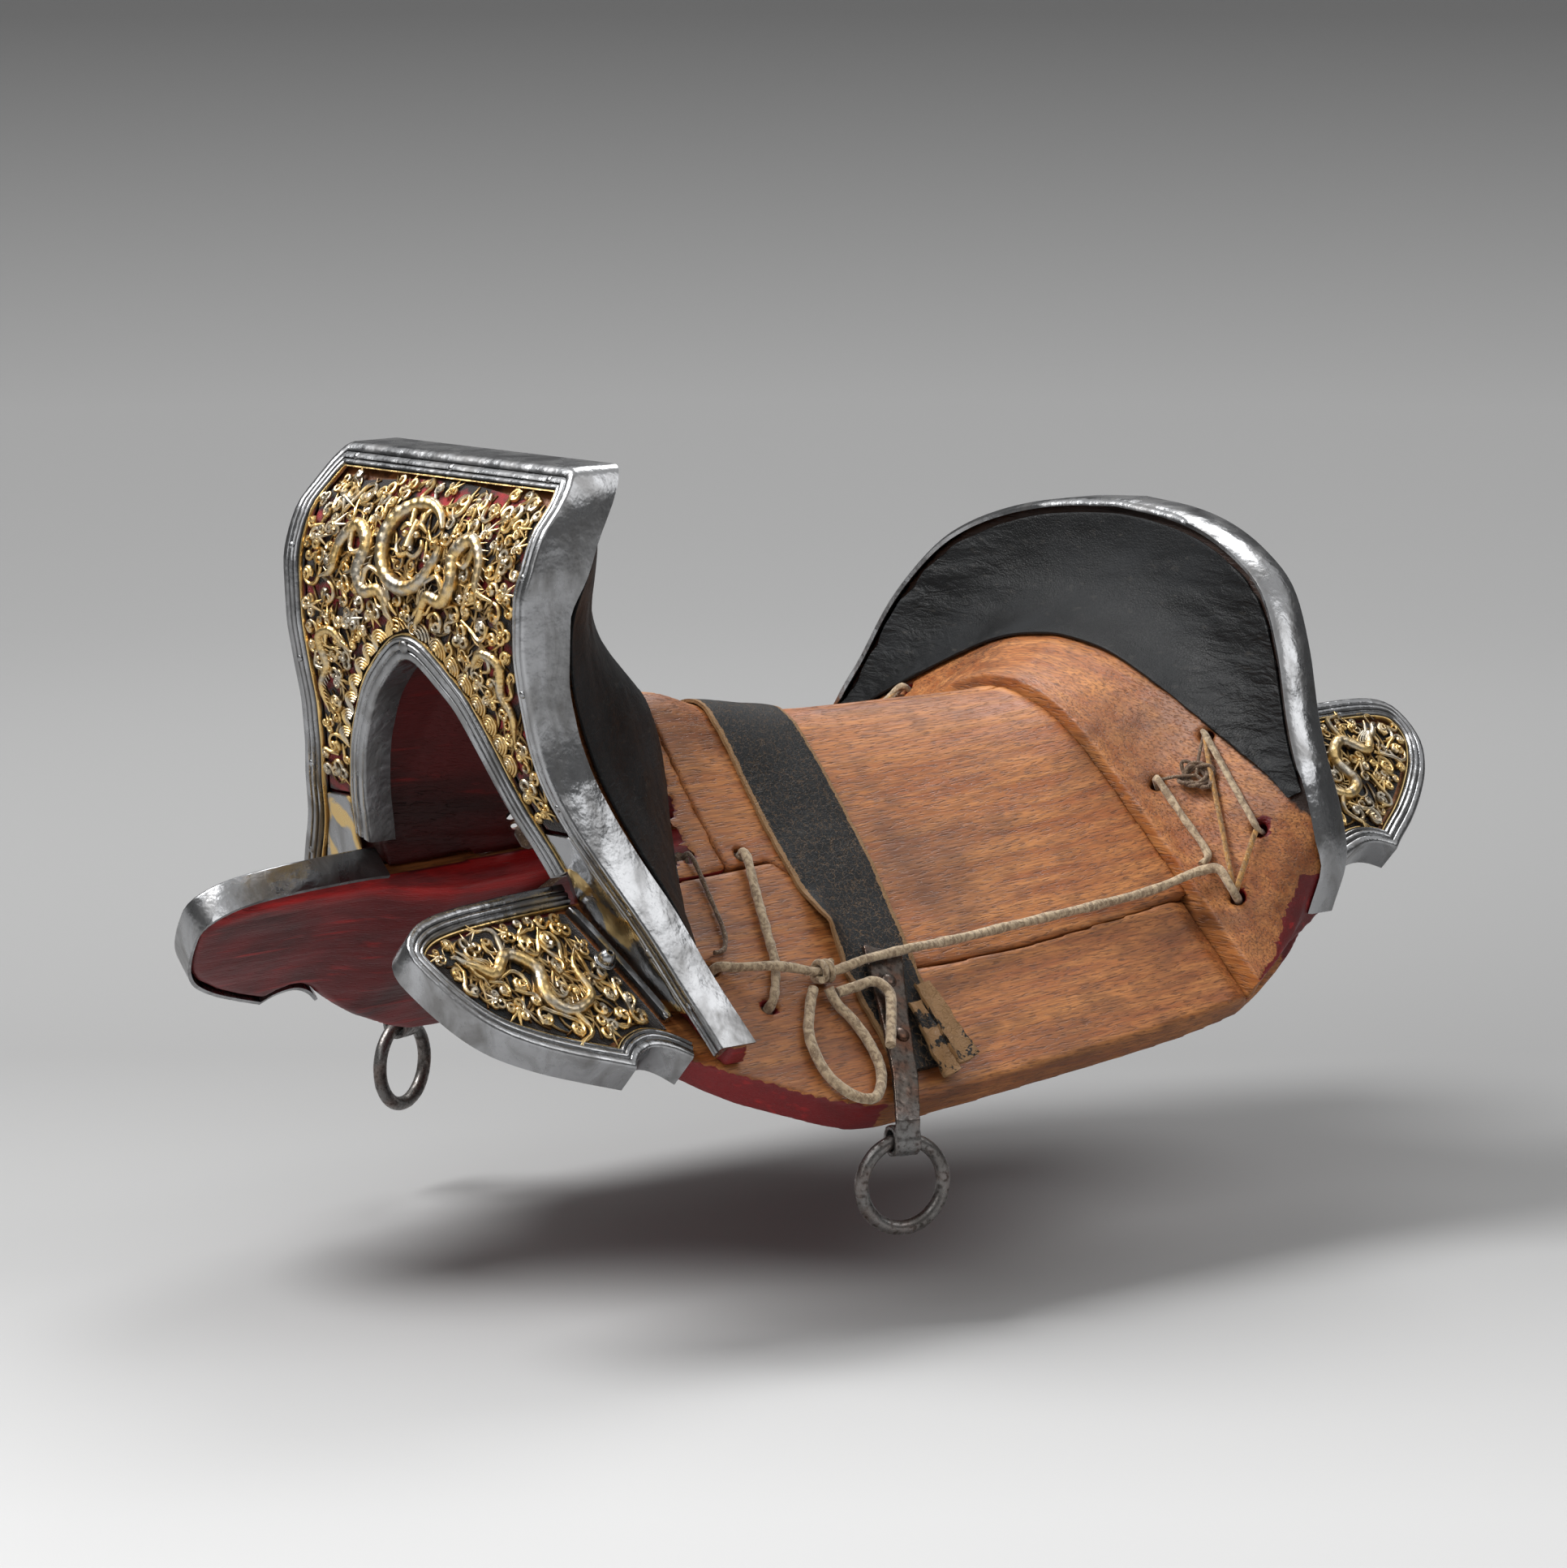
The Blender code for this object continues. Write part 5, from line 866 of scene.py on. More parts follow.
class SADDLE_OT_boards(bpy.types.Operator):
    """Make the two sideboards"""
    bl_idname = "saddle.boards"
    bl_label = "Sideboards"

    def execute(self, context):
        inner_top = smooth([(-0.28, 0.060), (-0.19, 0.0575), (0.0, 0.056), (0.20, 0.058), (0.34, 0.062)])

        def paint(place, normal):
            facing = outward_share(place, normal)
            if facing < -0.35:
                return 0.95
            ends = max(-0.082 - place.y, place.y - 0.176) / 0.012
            low = depth_below(place) / 0.006
            if facing < 0.75 and abs(place.x) > 0.11:
                return clamp(0.5 + ends)
            if abs(place.x) < 0.075 and (place.y < -0.19 or place.y > 0.21):
                return 0.9
            return clamp(min(ends, low - 1.0))

        def bright(place, normal):
            near = 1.0 - abs(abs(place.x) - inner_top(place.y)) / 0.008
            return max(near, 0.0) if outward_share(place, normal) < 0.3 else 0.0

        def wear(place, normal):
            facing = outward_share(place, normal)
            edge = 1.0 - abs(facing - 0.62) / 0.30
            return 0.0 if facing < -0.3 else max(edge, 0.0) * 0.55

        for side, _ in SIDES:
            name = f"sideboard_{side}"
            made = remeshed(name, sizes().wood_voxel, 3, f"{name}_wood", [look("wood_along")],
                            grain_shape("y", 0.0005))
            paint_mesh(made, "paint", paint)
            paint_mesh(made, "bright", bright)
            paint_mesh(made, "wear", wear)
            settle(made, "worn_wood", name)
        return {"FINISHED"}


class SADDLE_OT_seat(bpy.types.Operator):
    """Make the two seat panels"""
    bl_idname = "saddle.seat"
    bl_label = "Seat panels"

    def execute(self, context):
        def wear(place, normal):
            ridge = math.exp(-(place.x / 0.016) ** 2)
            rear = max(0.0, 1.0 - abs(place.y - (SEAT_REAR - 0.004)) / 0.008)
            return 0.50 * ridge + 0.45 * rear

        for side, _ in SIDES:
            name = f"seat_panel_{side}"
            made = remeshed(name, SEAT_VOXEL, 2, f"{name}_wood", [look("wood_along")],
                            grain_shape("y", 0.0004))
            paint_mesh(made, "paint", lambda p, n: 0.95 if outward_share(p, n) < -0.3 else 0.0)
            paint_mesh(made, "wear", wear)
            settle(made, "worn_wood", name)
        return {"FINISHED"}


class SADDLE_OT_arches(bpy.types.Operator):
    """Make the wood of the pommel and the cantle"""
    bl_idname = "saddle.arches"
    bl_label = "Pommel and cantle wood"

    def execute(self, context):
        def in_tunnel(place, normal):
            return abs(place.x) < 0.080 and normal.x * place.x < 0.0

        def pommel_paint(place, normal):
            return 1.0 if normal.z < -0.25 or (in_tunnel(place, normal) and place.z < 0.060) else 0.0

        def cantle_paint(place, normal):
            facing = outward_share(place, normal)
            if facing < -0.3:
                return 0.95
            end = (place.y - 0.152) / 0.014
            wall = abs(place.x) > 0.128 and facing < 0.45
            outward = normal.x * math.copysign(1.0, place.x)
            flank = abs(place.x) > 0.145 and outward > 0.86 and place.z < -0.066
            return min(max(0.35 + end, 0.8 * flank), 1.0) if wall or flank else 0.0

        def cantle_shade(place, normal):
            # Darker on the back, and near black on the front above the leather's edge, where the black leather
            # belongs
            from_middle = place.y - cantle_middle(place.z)
            if from_middle > 0.5 * CANTLE_THICKNESS - 0.002 and place.z > -0.04:
                return 0.55
            return 0.96 if place.z > leather_edge(abs(place.x)) and abs(from_middle) < 0.012 else 0.0

        pommel = remeshed("pommel_core", ARCH_VOXEL, 3, "pommel_wood", [look("wood_along")],
                          grain_shape("y", 0.0004))
        paint_mesh(pommel, "paint", pommel_paint)
        # Painted shade inside the pommel's tunnel
        paint_mesh(pommel, "shade", lambda p, n: 0.55 if in_tunnel(p, n) else 0.0)
        settle(pommel, "worn_wood", "pommel_core")
        cantle = remeshed("cantle_core", ARCH_VOXEL, 3, "cantle_wood", [look("wood_across")],
                          grain_shape("x", 0.0005))
        paint_mesh(cantle, "paint", cantle_paint)
        paint_mesh(cantle, "wear", lambda p, n: 0.5 * max(0.0, 1.0 - abs(p.y - SEAT_REAR) / 0.006))
        paint_mesh(cantle, "shade", cantle_shade)
        settle(cantle, "worn_wood", "cantle_core")
        return {"FINISHED"}


class SADDLE_OT_leather(bpy.types.Operator):
    """Make the leather covers of the pommel and the cantle"""
    bl_idname = "saddle.leather"
    bl_label = "Leather covers"

    def execute(self, context):
        def pommel_shape(place, normal):
            p = Vector((place.x * 34.0, place.y * 70.0, place.z * 26.0))
            return normal * 0.0007 * (noise.noise(p) + 0.5 * noise.noise(p * 2.3))

        def cantle_shape(place, normal):
            x, y, z = place
            p = Vector((x * 26.0 + z * 40.0, y * 30.0, z * 90.0 - x * 22.0))
            corner = clamp((abs(x) - 0.035) / 0.09)
            return normal * (0.0003 + 0.0011 * corner) * (noise.noise(p) + 0.5 * noise.noise(p * 2.1))

        for arch, shape, folded in (
                ("pommel", pommel_shape, lambda p, n: 0.3),
                ("cantle", cantle_shape, lambda p, n: clamp((abs(p.x) - 0.05) / 0.08))):
            name = f"{arch}_leather"
            made = refined(name, 3, f"{name}_cover", [look("leather")], 40.0, shape=shape)
            paint_mesh(made, "folded", folded)
            settle(made, "black_leather", name)
        return {"FINISHED"}


# Steel rims

# Moulding of a face strip as (share of the width, share of the height), with its grooves
FACE_MOULDING = [(0.00, 0.70), (0.03, 0.90), (0.10, 1.00), (0.30, 1.02), (0.345, 0.94), (0.365, 0.80),
                 (0.39, 0.82), (0.42, 0.96), (0.52, 1.04), (0.60, 0.98), (0.635, 0.80), (0.655, 0.78),
                 (0.68, 0.86), (0.76, 0.94), (0.83, 0.84), (0.86, 0.62), (0.885, 0.55), (0.91, 0.62),
                 (0.96, 0.60), (1.00, 0.40)]
GROOVES = (0.365, 0.635, 0.655, 0.86, 0.885)
GOLD_FROM = 0.90
BAND_WALL = 0.0014


def moulded_rings(outline, width, height, place, back_place, inward):
    """Sections of a rim: a moulded strip on the face and a band round the edge."""
    lines = [inset(outline, inward * width * share) for share, _ in FACE_MOULDING]
    core = inset(outline, inward * BAND_WALL)
    rings = []
    for i, edge in enumerate(outline):
        ring = [back_place(edge)]
        ring += [place(line[i], height * rise) for line, (_, rise) in zip(lines, FACE_MOULDING)]
        ring += [place(lines[-1][i], GAP), place(core[i], GAP), back_place(core[i])]
        rings.append(ring)
    return rings


def moulded_rim(name, rings, replaced):
    """A rim swept through its sections, marked where it lies in a groove and where it is gilt."""
    made = sweep(name, rings, [look("steel")], 50.0)
    groove = made.data.attributes.new("groove", "FLOAT", "POINT")
    gold = made.data.attributes.new("gold", "FLOAT", "POINT")
    for i in range(len(made.data.vertices)):
        k = i % len(rings[0]) - 1
        if 0 <= k < len(FACE_MOULDING):
            share = FACE_MOULDING[k][0]
            groove.data[i].value = 1.0 if share in GROOVES else 0.0
            gold.data[i].value = 0.75 if share >= GOLD_FROM else 0.0
    return settle(made, "silvered_steel", replaced)


class SADDLE_OT_rims(bpy.types.Operator):
    """Make the silvered steel rims and plates"""
    bl_idname = "saddle.rims"
    bl_label = "Steel rims"

    def execute(self, context):
        outline = both_sides(pommel_outline())
        rings = moulded_rings(outline, POMMEL_STRIP, RIM_HEIGHT, pommel_face,
                              lambda p: Vector((p[0], pommel_rear(p[1]), p[1])), -1.0)
        moulded_rim("pommel_steel_rim", rings, "pommel_rim")
        arch = spline(both_sides(ARCH), 90)
        rings = moulded_rings(arch, ARCH_STRIP, ARCH_RIM_HEIGHT, pommel_face,
                              lambda p: pommel_face(p, -0.010), 1.0)
        moulded_rim("pommel_arch_steel_rim", rings, "pommel_arch_rim")
        self.cantle()
        for side, sign in SIDES:
            self.leg_plate(side)
            for end, lobe, way in (("front", FRONT_LOBE, -1.0), ("rear", REAR_LOBE, 1.0)):
                rings = moulded_rings(lobe_outline(lobe), LOBE_STRIP, RIM_HEIGHT,
                                      lambda p, h: tree_point(p[0], p[1], -h),
                                      lambda p: tree_point(p[0], p[1], board_depth(p[1]) - 0.0005), -way)
                rings = [mirrored(ring, sign) for ring in rings]
                moulded_rim(f"{end}_lobe_steel_rim_{side}", rings, f"{end}_lobe_rim_{side}")
                strip = refined(f"{end}_lobe_strip_{side}", 2, f"{end}_lobe_steel_strip_{side}",
                                [look("steel")], 30.0)
                settle(strip, "silvered_steel", f"{end}_lobe_strip_{side}")
        self.nails()
        return {"FINISHED"}

    def cantle(self):
        """The cantle's rim, with a front bead, a broad band and a moulded strip, and the strip at its foot."""
        outline = both_sides(cantle_outline())
        front = inset(outline, -0.0035)
        narrow = inset(outline, -0.0018)
        core = inset(outline, -0.0015)
        lines = [inset(outline, -CANTLE_REAR_STRIP * share) for share, _ in FACE_MOULDING]
        lip_at = smooth([(-0.100, -0.0010), (-0.066, -0.0008), (-0.048, 0.0034), (0.100, 0.0034)])
        rings = []
        for i, edge in enumerate(outline):
            lip = -(CANTLE_THICKNESS / 2.0 + lip_at(edge[1]))
            inner = front[i] if edge[1] > -0.020 else narrow[i]
            middle = (0.5 * (edge[0] + inner[0]), 0.5 * (edge[1] + inner[1]))
            ring = [cantle_face(edge, lip + 0.0012)]
            ring += [cantle_face(line[i], CANTLE_BACK + 0.0030 * rise)
                     for line, (_, rise) in zip(lines, FACE_MOULDING)]
            inside = ((lines[-1][i], CANTLE_BACK + 0.0002), (core[i], CANTLE_BACK + 0.0002),
                      (core[i], lip + 0.0015), (inner, lip + 0.0012), (inner, lip + 0.0003),
                      (middle, lip - 0.0006))
            ring += [cantle_face(point, height) for point, height in inside]
            rings.append(ring)
        moulded_rim("cantle_steel_rim", rings, "cantle_rim")
        foot = cantle_foot(0.0, 0.008, 0.016, 0.026, 0.038, 0.052, 0.068, 0.086, 0.104, 0.122, 0.136)
        low = spline(foot, 70)
        rings = moulded_rings(low, CANTLE_REAR_STRIP, CANTLE_STRIP_HEIGHT,
                              lambda p, h: cantle_face(p, CANTLE_BACK + h),
                              lambda p: cantle_face(p, CANTLE_BACK + 0.0001), 1.0)
        moulded_rim("cantle_arch_steel_rim", rings, "cantle_arch_rim")

    def leg_plate(self, side):
        name = f"pommel_leg_plate_{side}"
        plate = refined(name, 3, f"{name}_steel", [look("steel")], 30.0,
                        shape=lambda p, n: n * 0.0005 * noise.noise(p * 90.0))
        paint_mesh(plate, "gold", lambda p, n: 0.42 + 0.5 * noise.noise(p * 60.0))
        settle(plate, "silvered_steel", name)

    def nails(self):
        """Round nail heads on the rims and plates."""
        data = bmesh.new()
        heads = [((0.0, 0.0580), 0.0030), ((0.0, 0.1335), 0.0018), ((0.066, 0.1335), 0.0018),
                 ((-0.066, 0.1335), 0.0018)]
        heads += [((sx * (pommel_half(z) - 0.0052), z), 0.0018) for sx in (1.0, -1.0)
                  for z in (0.095, 0.045, -0.004, -0.048, -0.086)]
        for (x, z), radius in heads:
            slope = (pommel_front(z + 0.002) - pommel_front(z - 0.002)) / 0.004
            out = Vector((0.0, -1.0, slope)).normalized()
            dome_mesh(data, pommel_face((x, z), 0.0042), out, radius, radius * 0.55)
        for sx in (1.0, -1.0):
            dome_mesh(data, pommel_face((sx * 0.1120, -0.066), 0.0022), (0.0, -1.0, -0.35), 0.0023, 0.0012)
        made = finish_mesh(data, "rim_nails", [look("steel")])
        settle(made, "silvered_steel")


# Openwork: dragons, clouds, waves and curls

class Field:
    """A flat plan of a panel, what has been placed in it so far and its strands."""

    def __init__(self, outline, seed):
        self.outline = np.array(outline, dtype=float)
        self.discs = []
        self.known = np.empty((0, 3))
        self.strands = []
        self.beads = []
        self.random = random.Random(seed)

    def edge_gap(self, p):
        """Distance from a point to the outline, negative outside."""
        a = self.outline
        b = np.roll(a, -1, axis=0)
        run = b - a
        share = np.clip(((p - a) * run).sum(1) / np.maximum((run * run).sum(1), 1e-12), 0.0, 1.0)
        gap = float(np.min(np.linalg.norm(a + run * share[:, None] - p, axis=1)))
        cross = (a[:, 1] > p[1]) != (b[:, 1] > p[1])
        level = np.where(cross, run[:, 1], 1.0)
        hit = cross & (p[0] < a[:, 0] + (p[1] - a[:, 1]) * run[:, 0] / level)
        return gap if int(hit.sum()) % 2 else -gap

    def room(self, p):
        """Free distance round a point and the nearest thing that is placed."""
        gap = self.edge_gap(p)
        if not self.discs:
            return gap, None
        if len(self.known) < len(self.discs):
            self.known = np.vstack([self.known, np.array(self.discs[len(self.known):], dtype=float)])
        discs = self.known
        away = np.linalg.norm(discs[:, :2] - p, axis=1) - discs[:, 2]
        i = int(np.argmin(away))
        return min(gap, float(away[i])), discs[i]

    def taken(self, p, radius):
        """Whether a disc is surely too near for one of a radius at a point."""
        discs = self.known
        if not len(discs):
            return False
        reach = discs[:, 2] + radius * 0.90
        return bool((((discs[:, 0] - p[0]) ** 2 + (discs[:, 1] - p[1]) ** 2) < reach * reach).any())

    def strand(self, points, radii, height, count=16, keep=True):
        """A strand through plan points, with radii and heights that change along it."""
        line = spline(points, count)
        marks = np.linspace(0.0, 1.0, count)
        radius = np.interp(marks, np.linspace(0.0, 1.0, len(radii)), radii)
        heights = np.interp(marks, np.linspace(0.0, 1.0, len(height)), height)
        self.strands.append(list(zip(line, radius, heights)))
        if keep:
            self.discs += [(p[0], p[1], r * 0.8) for p, r in zip(line, radius)]

    def curl(self, centre, radius, start, hand, thick, height, tail=None, turns=1.10):
        """A tendril that winds in to a bud."""
        points = [] if tail is None else [tail]
        for s in np.linspace(0.0, 1.0, 9):
            a = start + hand * 2.0 * math.pi * turns * s
            r = radius * (1.0 - 0.80 * s)
            points.append((centre[0] + r * math.cos(a), centre[1] + r * math.sin(a)))
        self.strand(points, [thick * 0.85, thick, thick * 0.95, thick * 0.9, thick * 1.3],
                    [height - 0.0004, height + 0.0003, height + 0.0006], 15, keep=False)

    def clouds(self, places, height):
        """Clouds of set size and turn wherever there is room for half of one."""
        for x, z, radius, angle in places:
            if self.room(np.array([x, z]))[0] > radius * 0.5:
                self.cloud((x, z), radius, angle, height)
                self.discs.append((x, z, radius * 0.95))

    def cloud(self, centre, radius, angle, height):
        """A cloud head of three curls with a tail."""
        thick = radius * 0.19
        for turn, share, hand in ((0.0, 0.56, 1.0), (1.9, 0.46, 1.0), (-1.9, 0.46, -1.0)):
            a = angle + turn
            c = (centre[0] + 0.52 * radius * math.cos(a), centre[1] + 0.52 * radius * math.sin(a))
            self.curl(c, radius * share, a + math.pi, hand, thick, height, turns=1.15)
        for turn in (2.75, -2.75):
            a = angle + turn
            tip = (centre[0] + 1.25 * radius * math.cos(a), centre[1] + 1.25 * radius * math.sin(a))
            self.strand([centre, tip], [thick * 1.4, 0.0002], [height + 0.0003, height - 0.0012], 6, False)
        self.beads.append((centre, radius * 0.26, height + 0.0006))

    def fill(self, tries, largest, smallest):
        """Pack curls and clouds into what is still free, the largest first."""
        low, high = self.outline.min(0), self.outline.max(0)
        for i in range(tries):
            share = (i / tries) ** 0.7
            radius = largest + (smallest - largest) * share
            p = np.array([self.random.uniform(low[0], high[0]), self.random.uniform(low[1], high[1])])
            if self.taken(p, radius):
                continue
            free, nearest = self.room(p)
            if free < radius * 0.90:
                continue
            radius = min(free + 0.0005, radius * 1.35)
            height = self.random.uniform(0.0010, 0.0022)
            hand = self.random.choice((-1.0, 1.0))
            start = self.random.uniform(0.0, 2.0 * math.pi)
            tail = None
            if nearest is not None:
                start = math.atan2(nearest[1] - p[1], nearest[0] - p[0])
                reach = min(radius * 3.0, math.hypot(nearest[0] - p[0], nearest[1] - p[1]))
                bend = start - hand * 0.5
                tail = (p[0] + reach * math.cos(bend), p[1] + reach * math.sin(bend))
                if self.edge_gap(np.array(tail)) < 0.0:
                    tail = None
            self.discs.append((p[0], p[1], radius))
            if radius > 0.0036 and self.random.random() < 0.55:
                self.cloud(p, radius, start, height + 0.0006)
            else:
                thick = min(0.00115, 0.00042 + radius * 0.22)
                self.curl(p, radius, start, hand, thick, height, tail)
                if radius > 0.0026:
                    other = start + math.pi
                    c = (p[0] + 0.35 * radius * math.cos(other), p[1] + 0.35 * radius * math.sin(other))
                    self.curl(c, radius * 0.45, other, -hand, thick * 0.9, height + 0.0004)

    def undergrowth(self, count):
        """Dark vines deep behind the scrolls."""
        low, high = self.outline.min(0), self.outline.max(0)
        while count > 0:
            p = np.array([self.random.uniform(low[0], high[0]), self.random.uniform(low[1], high[1])])
            a = self.random.uniform(0.0, 2.0 * math.pi)
            bend = self.random.uniform(-1.4, 1.4)
            points = [tuple(p)]
            for _ in range(4):
                a += bend * 0.55
                p = p + 0.0042 * np.array([math.cos(a), math.sin(a)])
                points.append(tuple(p))
            if min(self.edge_gap(np.array(q)) for q in points) > 0.0008:
                self.strand(points, [0.0006, 0.00085, 0.0006], [0.0002, 0.0007, 0.0002], 9, False)
                count -= 1

    def dragon(self, body, thickness, head_turn, height=0.0026):
        """A dragon along a plan line, with a ribbed body, back fins, legs and a horned head."""
        count = 110
        line = spline(body, count)
        marks = np.linspace(0.0, 1.0, count)
        taper = np.interp(marks, [0.0, 0.12, 0.5, 0.85, 1.0], [0.62, 0.80, 1.0, 0.55, 0.16])
        ribs = 1.0 + 0.10 * np.abs(np.sin(marks * 75.0))
        radii = thickness * taper * ribs
        lift = height + 0.0006 * np.sin(marks * 9.0)
        self.body(line, radii, lift)
        for i in range(8, count - 6, 4):
            run = unit(np.array(line[i + 1]) - np.array(line[i - 1]))
            side = left_of(run) * head_turn
            root = np.array(line[i]) + side * radii[i] * 0.8
            tip = root + side * thickness * 0.75 + run * thickness * 0.55
            self.strand([tuple(root), tuple(tip)], [0.00055, 0.00012], [lift[i] + 0.0003, lift[i]], 4, False)
        for i, way in ((26, 1.0), (70, -1.0)):
            self.leg(line, i, way * head_turn, thickness, lift[i])
        self.head(line, head_turn, thickness, float(lift[0]))

    def leg(self, line, i, way, thickness, height):
        """A leg from the body's side with a foot of four claws."""
        run = unit(np.array(line[i + 2]) - np.array(line[i - 2]))
        side = left_of(run) * way
        hip = np.array(line[i])
        knee = hip + side * thickness * 2.6 + run * thickness * 0.8
        foot = knee + side * thickness * 1.0 - run * thickness * 2.2
        self.strand([tuple(hip), tuple(knee), tuple(foot)],
                    [thickness * 0.55, thickness * 0.38, thickness * 0.3],
                    [height, height + 0.0006, height], 10)
        for a in (-0.9, -0.3, 0.3, 0.9):
            turn = np.array([[math.cos(a), -math.sin(a)], [math.sin(a), math.cos(a)]])
            way_out = turn @ unit(foot - knee)
            tip = foot + way_out * thickness * 1.25
            self.strand([tuple(foot), tuple(tip)], [0.0007, 0.00015], [height + 0.0004, height - 0.0006], 5,
                        False)

    def head(self, line, turn, thickness, height):
        """A head in side view at the first point of the body."""
        nose_way = unit(np.array(line[0]) - np.array(line[4]))
        up = left_of(nose_way) * turn
        at = np.array(line[0])
        t = thickness

        def point(along_nose, above):
            return tuple(at + nose_way * along_nose * t + up * above * t)

        h = height + 0.0006
        self.strand([point(-0.6, 0.2), point(0.6, 0.5), point(1.7, 0.35), point(2.3, 0.75)],
                    [t * 0.62, t * 0.55, t * 0.34, t * 0.24], [h, h + 0.0005, h], 12)
        self.strand([point(-0.2, -0.3), point(0.9, -0.55), point(1.7, -0.65)],
                    [t * 0.40, t * 0.28, t * 0.16], [h - 0.0004, h, h - 0.0004], 8)
        self.strand([point(-0.1, 0.6), point(-0.9, 1.3), point(-1.9, 1.25), point(-2.5, 1.7)],
                    [t * 0.28, t * 0.24, t * 0.16, 0.0002], [h + 0.0004, h + 0.0008, h], 10)
        for k in range(4):
            low = -0.5 - 0.35 * k
            lock = [point(-0.4, low * 0.5), point(-1.4 - 0.3 * k, low), point(-2.4 - 0.2 * k, low * 0.7)]
            self.strand(lock, [t * 0.22, t * 0.17, 0.0002], [h, h + 0.0003, h - 0.0008], 8, False)
        self.strand([point(1.8, 0.1), point(2.6, -0.6), point(3.3, 0.1), point(3.0, 0.8)],
                    [0.0005, 0.0005, 0.0004, 0.0002], [h, h, h], 9, False)
        self.beads.append((point(0.55, 0.70), t * 0.24, h + 0.0010))

    def face(self, centre, t, h):
        """A beast's face seen from the front: brows, eyes, broad nose, horns and curled beard."""
        cx, cz = centre

        def point(x, z):
            return (cx + x * t, cz + z * t)

        self.strand([point(0.0, 1.2), point(0.0, 0.2), point(0.0, -0.5)], [t * 0.28, t * 0.30, t * 0.46],
                    [h, h + 0.0008, h + 0.0008], 9)
        for way in (1.0, -1.0):
            self.beads.append((point(way * 0.62, 0.35), t * 0.27, h + 0.0010))
            self.beads.append((point(way * 0.34, -0.55), t * 0.20, h + 0.0010))
            self.strand([point(way * 0.15, 0.75), point(way * 0.75, 0.95), point(way * 1.35, 0.55)],
                        [t * 0.22, t * 0.24, t * 0.12], [h, h + 0.0008, h], 9)
            self.strand([point(way * 0.5, 1.0), point(way * 0.8, 1.9), point(way * 1.6, 2.3)],
                        [t * 0.22, t * 0.18, 0.0002], [h, h + 0.0006, h], 9)
            jaw = [point(0.0, -0.9), point(way * 0.8, -1.1), point(way * 1.3, -0.5), point(way * 1.1, 0.0)]
            self.strand(jaw, [t * 0.22, t * 0.22, t * 0.16, t * 0.12], [h, h + 0.0004, h], 10)
            self.curl(point(way * 0.75, -1.65), t * 0.55, math.pi / 2.0, way, t * 0.13, h)
        self.discs.append((cx, cz, 1.9 * t))

    def ring(self, centre, radius, thick, height):
        """A coiled body round a face."""
        cx, cz = centre
        points = []
        for a in np.linspace(0.15 * math.pi, 2.02 * math.pi, 22):
            r = radius * (1.0 + 0.03 * math.sin(3.0 * a))
            points.append((cx + r * math.cos(a), cz + 0.92 * r * math.sin(a)))
        count = 120
        line = spline(points, count)
        marks = np.linspace(0.0, 1.0, count)
        radii = thick * np.interp(marks, [0.0, 0.2, 0.8, 1.0], [0.35, 1.0, 0.95, 0.5])
        radii = radii * (1.0 + 0.10 * np.abs(np.sin(marks * 80.0)))
        lift = height + 0.0004 * np.sin(marks * 12.0)
        self.body(line, radii, lift)

    def body(self, line, radii, heights):
        """A thick strand that keeps other things off its whole width."""
        self.strands.append(list(zip(line, radii, heights)))
        self.discs += [(p[0], p[1], r + 0.0002) for p, r in zip(line[::3], radii[::3])]

    def waves(self, line, size, rows):
        """Overlapping arched waves along a line, each of nested arcs."""
        line = [np.array(p) for p in line]
        for a, b in zip(line, line[1:]):
            middle = (a + b) / 2.0
            run = unit(b - a)
            up = left_of(run)
            width = np.linalg.norm(b - a) / 2.0
            for k in range(rows):
                share = 1.0 - 0.24 * k
                arc = [tuple(middle + run * width * share * math.cos(t) + up * size * share * math.sin(t))
                       for t in np.linspace(0.0, math.pi, 6)]
                foot, top = 0.0012 + 0.0004 * k, 0.0018 + 0.0004 * k
                self.strand(arc, [0.00070, 0.00080, 0.00070], [foot, top, foot], 9, keep=k == 0)
            self.discs.append((middle[0] + up[0] * size * 0.4, middle[1] + up[1] * size * 0.4, size * 0.75))


def build_openwork(name, field, place, relief, replaced, sign=1.0):
    """Lay a field's strands and beads on their surface as one gilt mesh."""
    paths = []
    for path in field.strands:
        places = mirrored([place(p[0], p[1], h) for p, _, h in path], sign)
        paths.append([(q, r) for q, (_, r, _) in zip(places, path)])
    made = strands(name, paths, [look("gilt")], 1)
    data = bmesh.new()
    data.from_mesh(made.data)
    for centre, radius, height in field.beads:
        q = place(centre[0], centre[1], height)
        ball = bmesh.ops.create_uvsphere(data, u_segments=10, v_segments=7, radius=radius)
        bmesh.ops.translate(data, verts=ball["verts"], vec=(sign * q.x, q.y, q.z))
    data.to_mesh(made.data)
    data.free()
    made.data.shade_smooth()
    paint_mesh(made, "relief", lambda p, n: clamp(relief(p) / 0.0032))
    return settle(made, "gilt_iron", replaced)


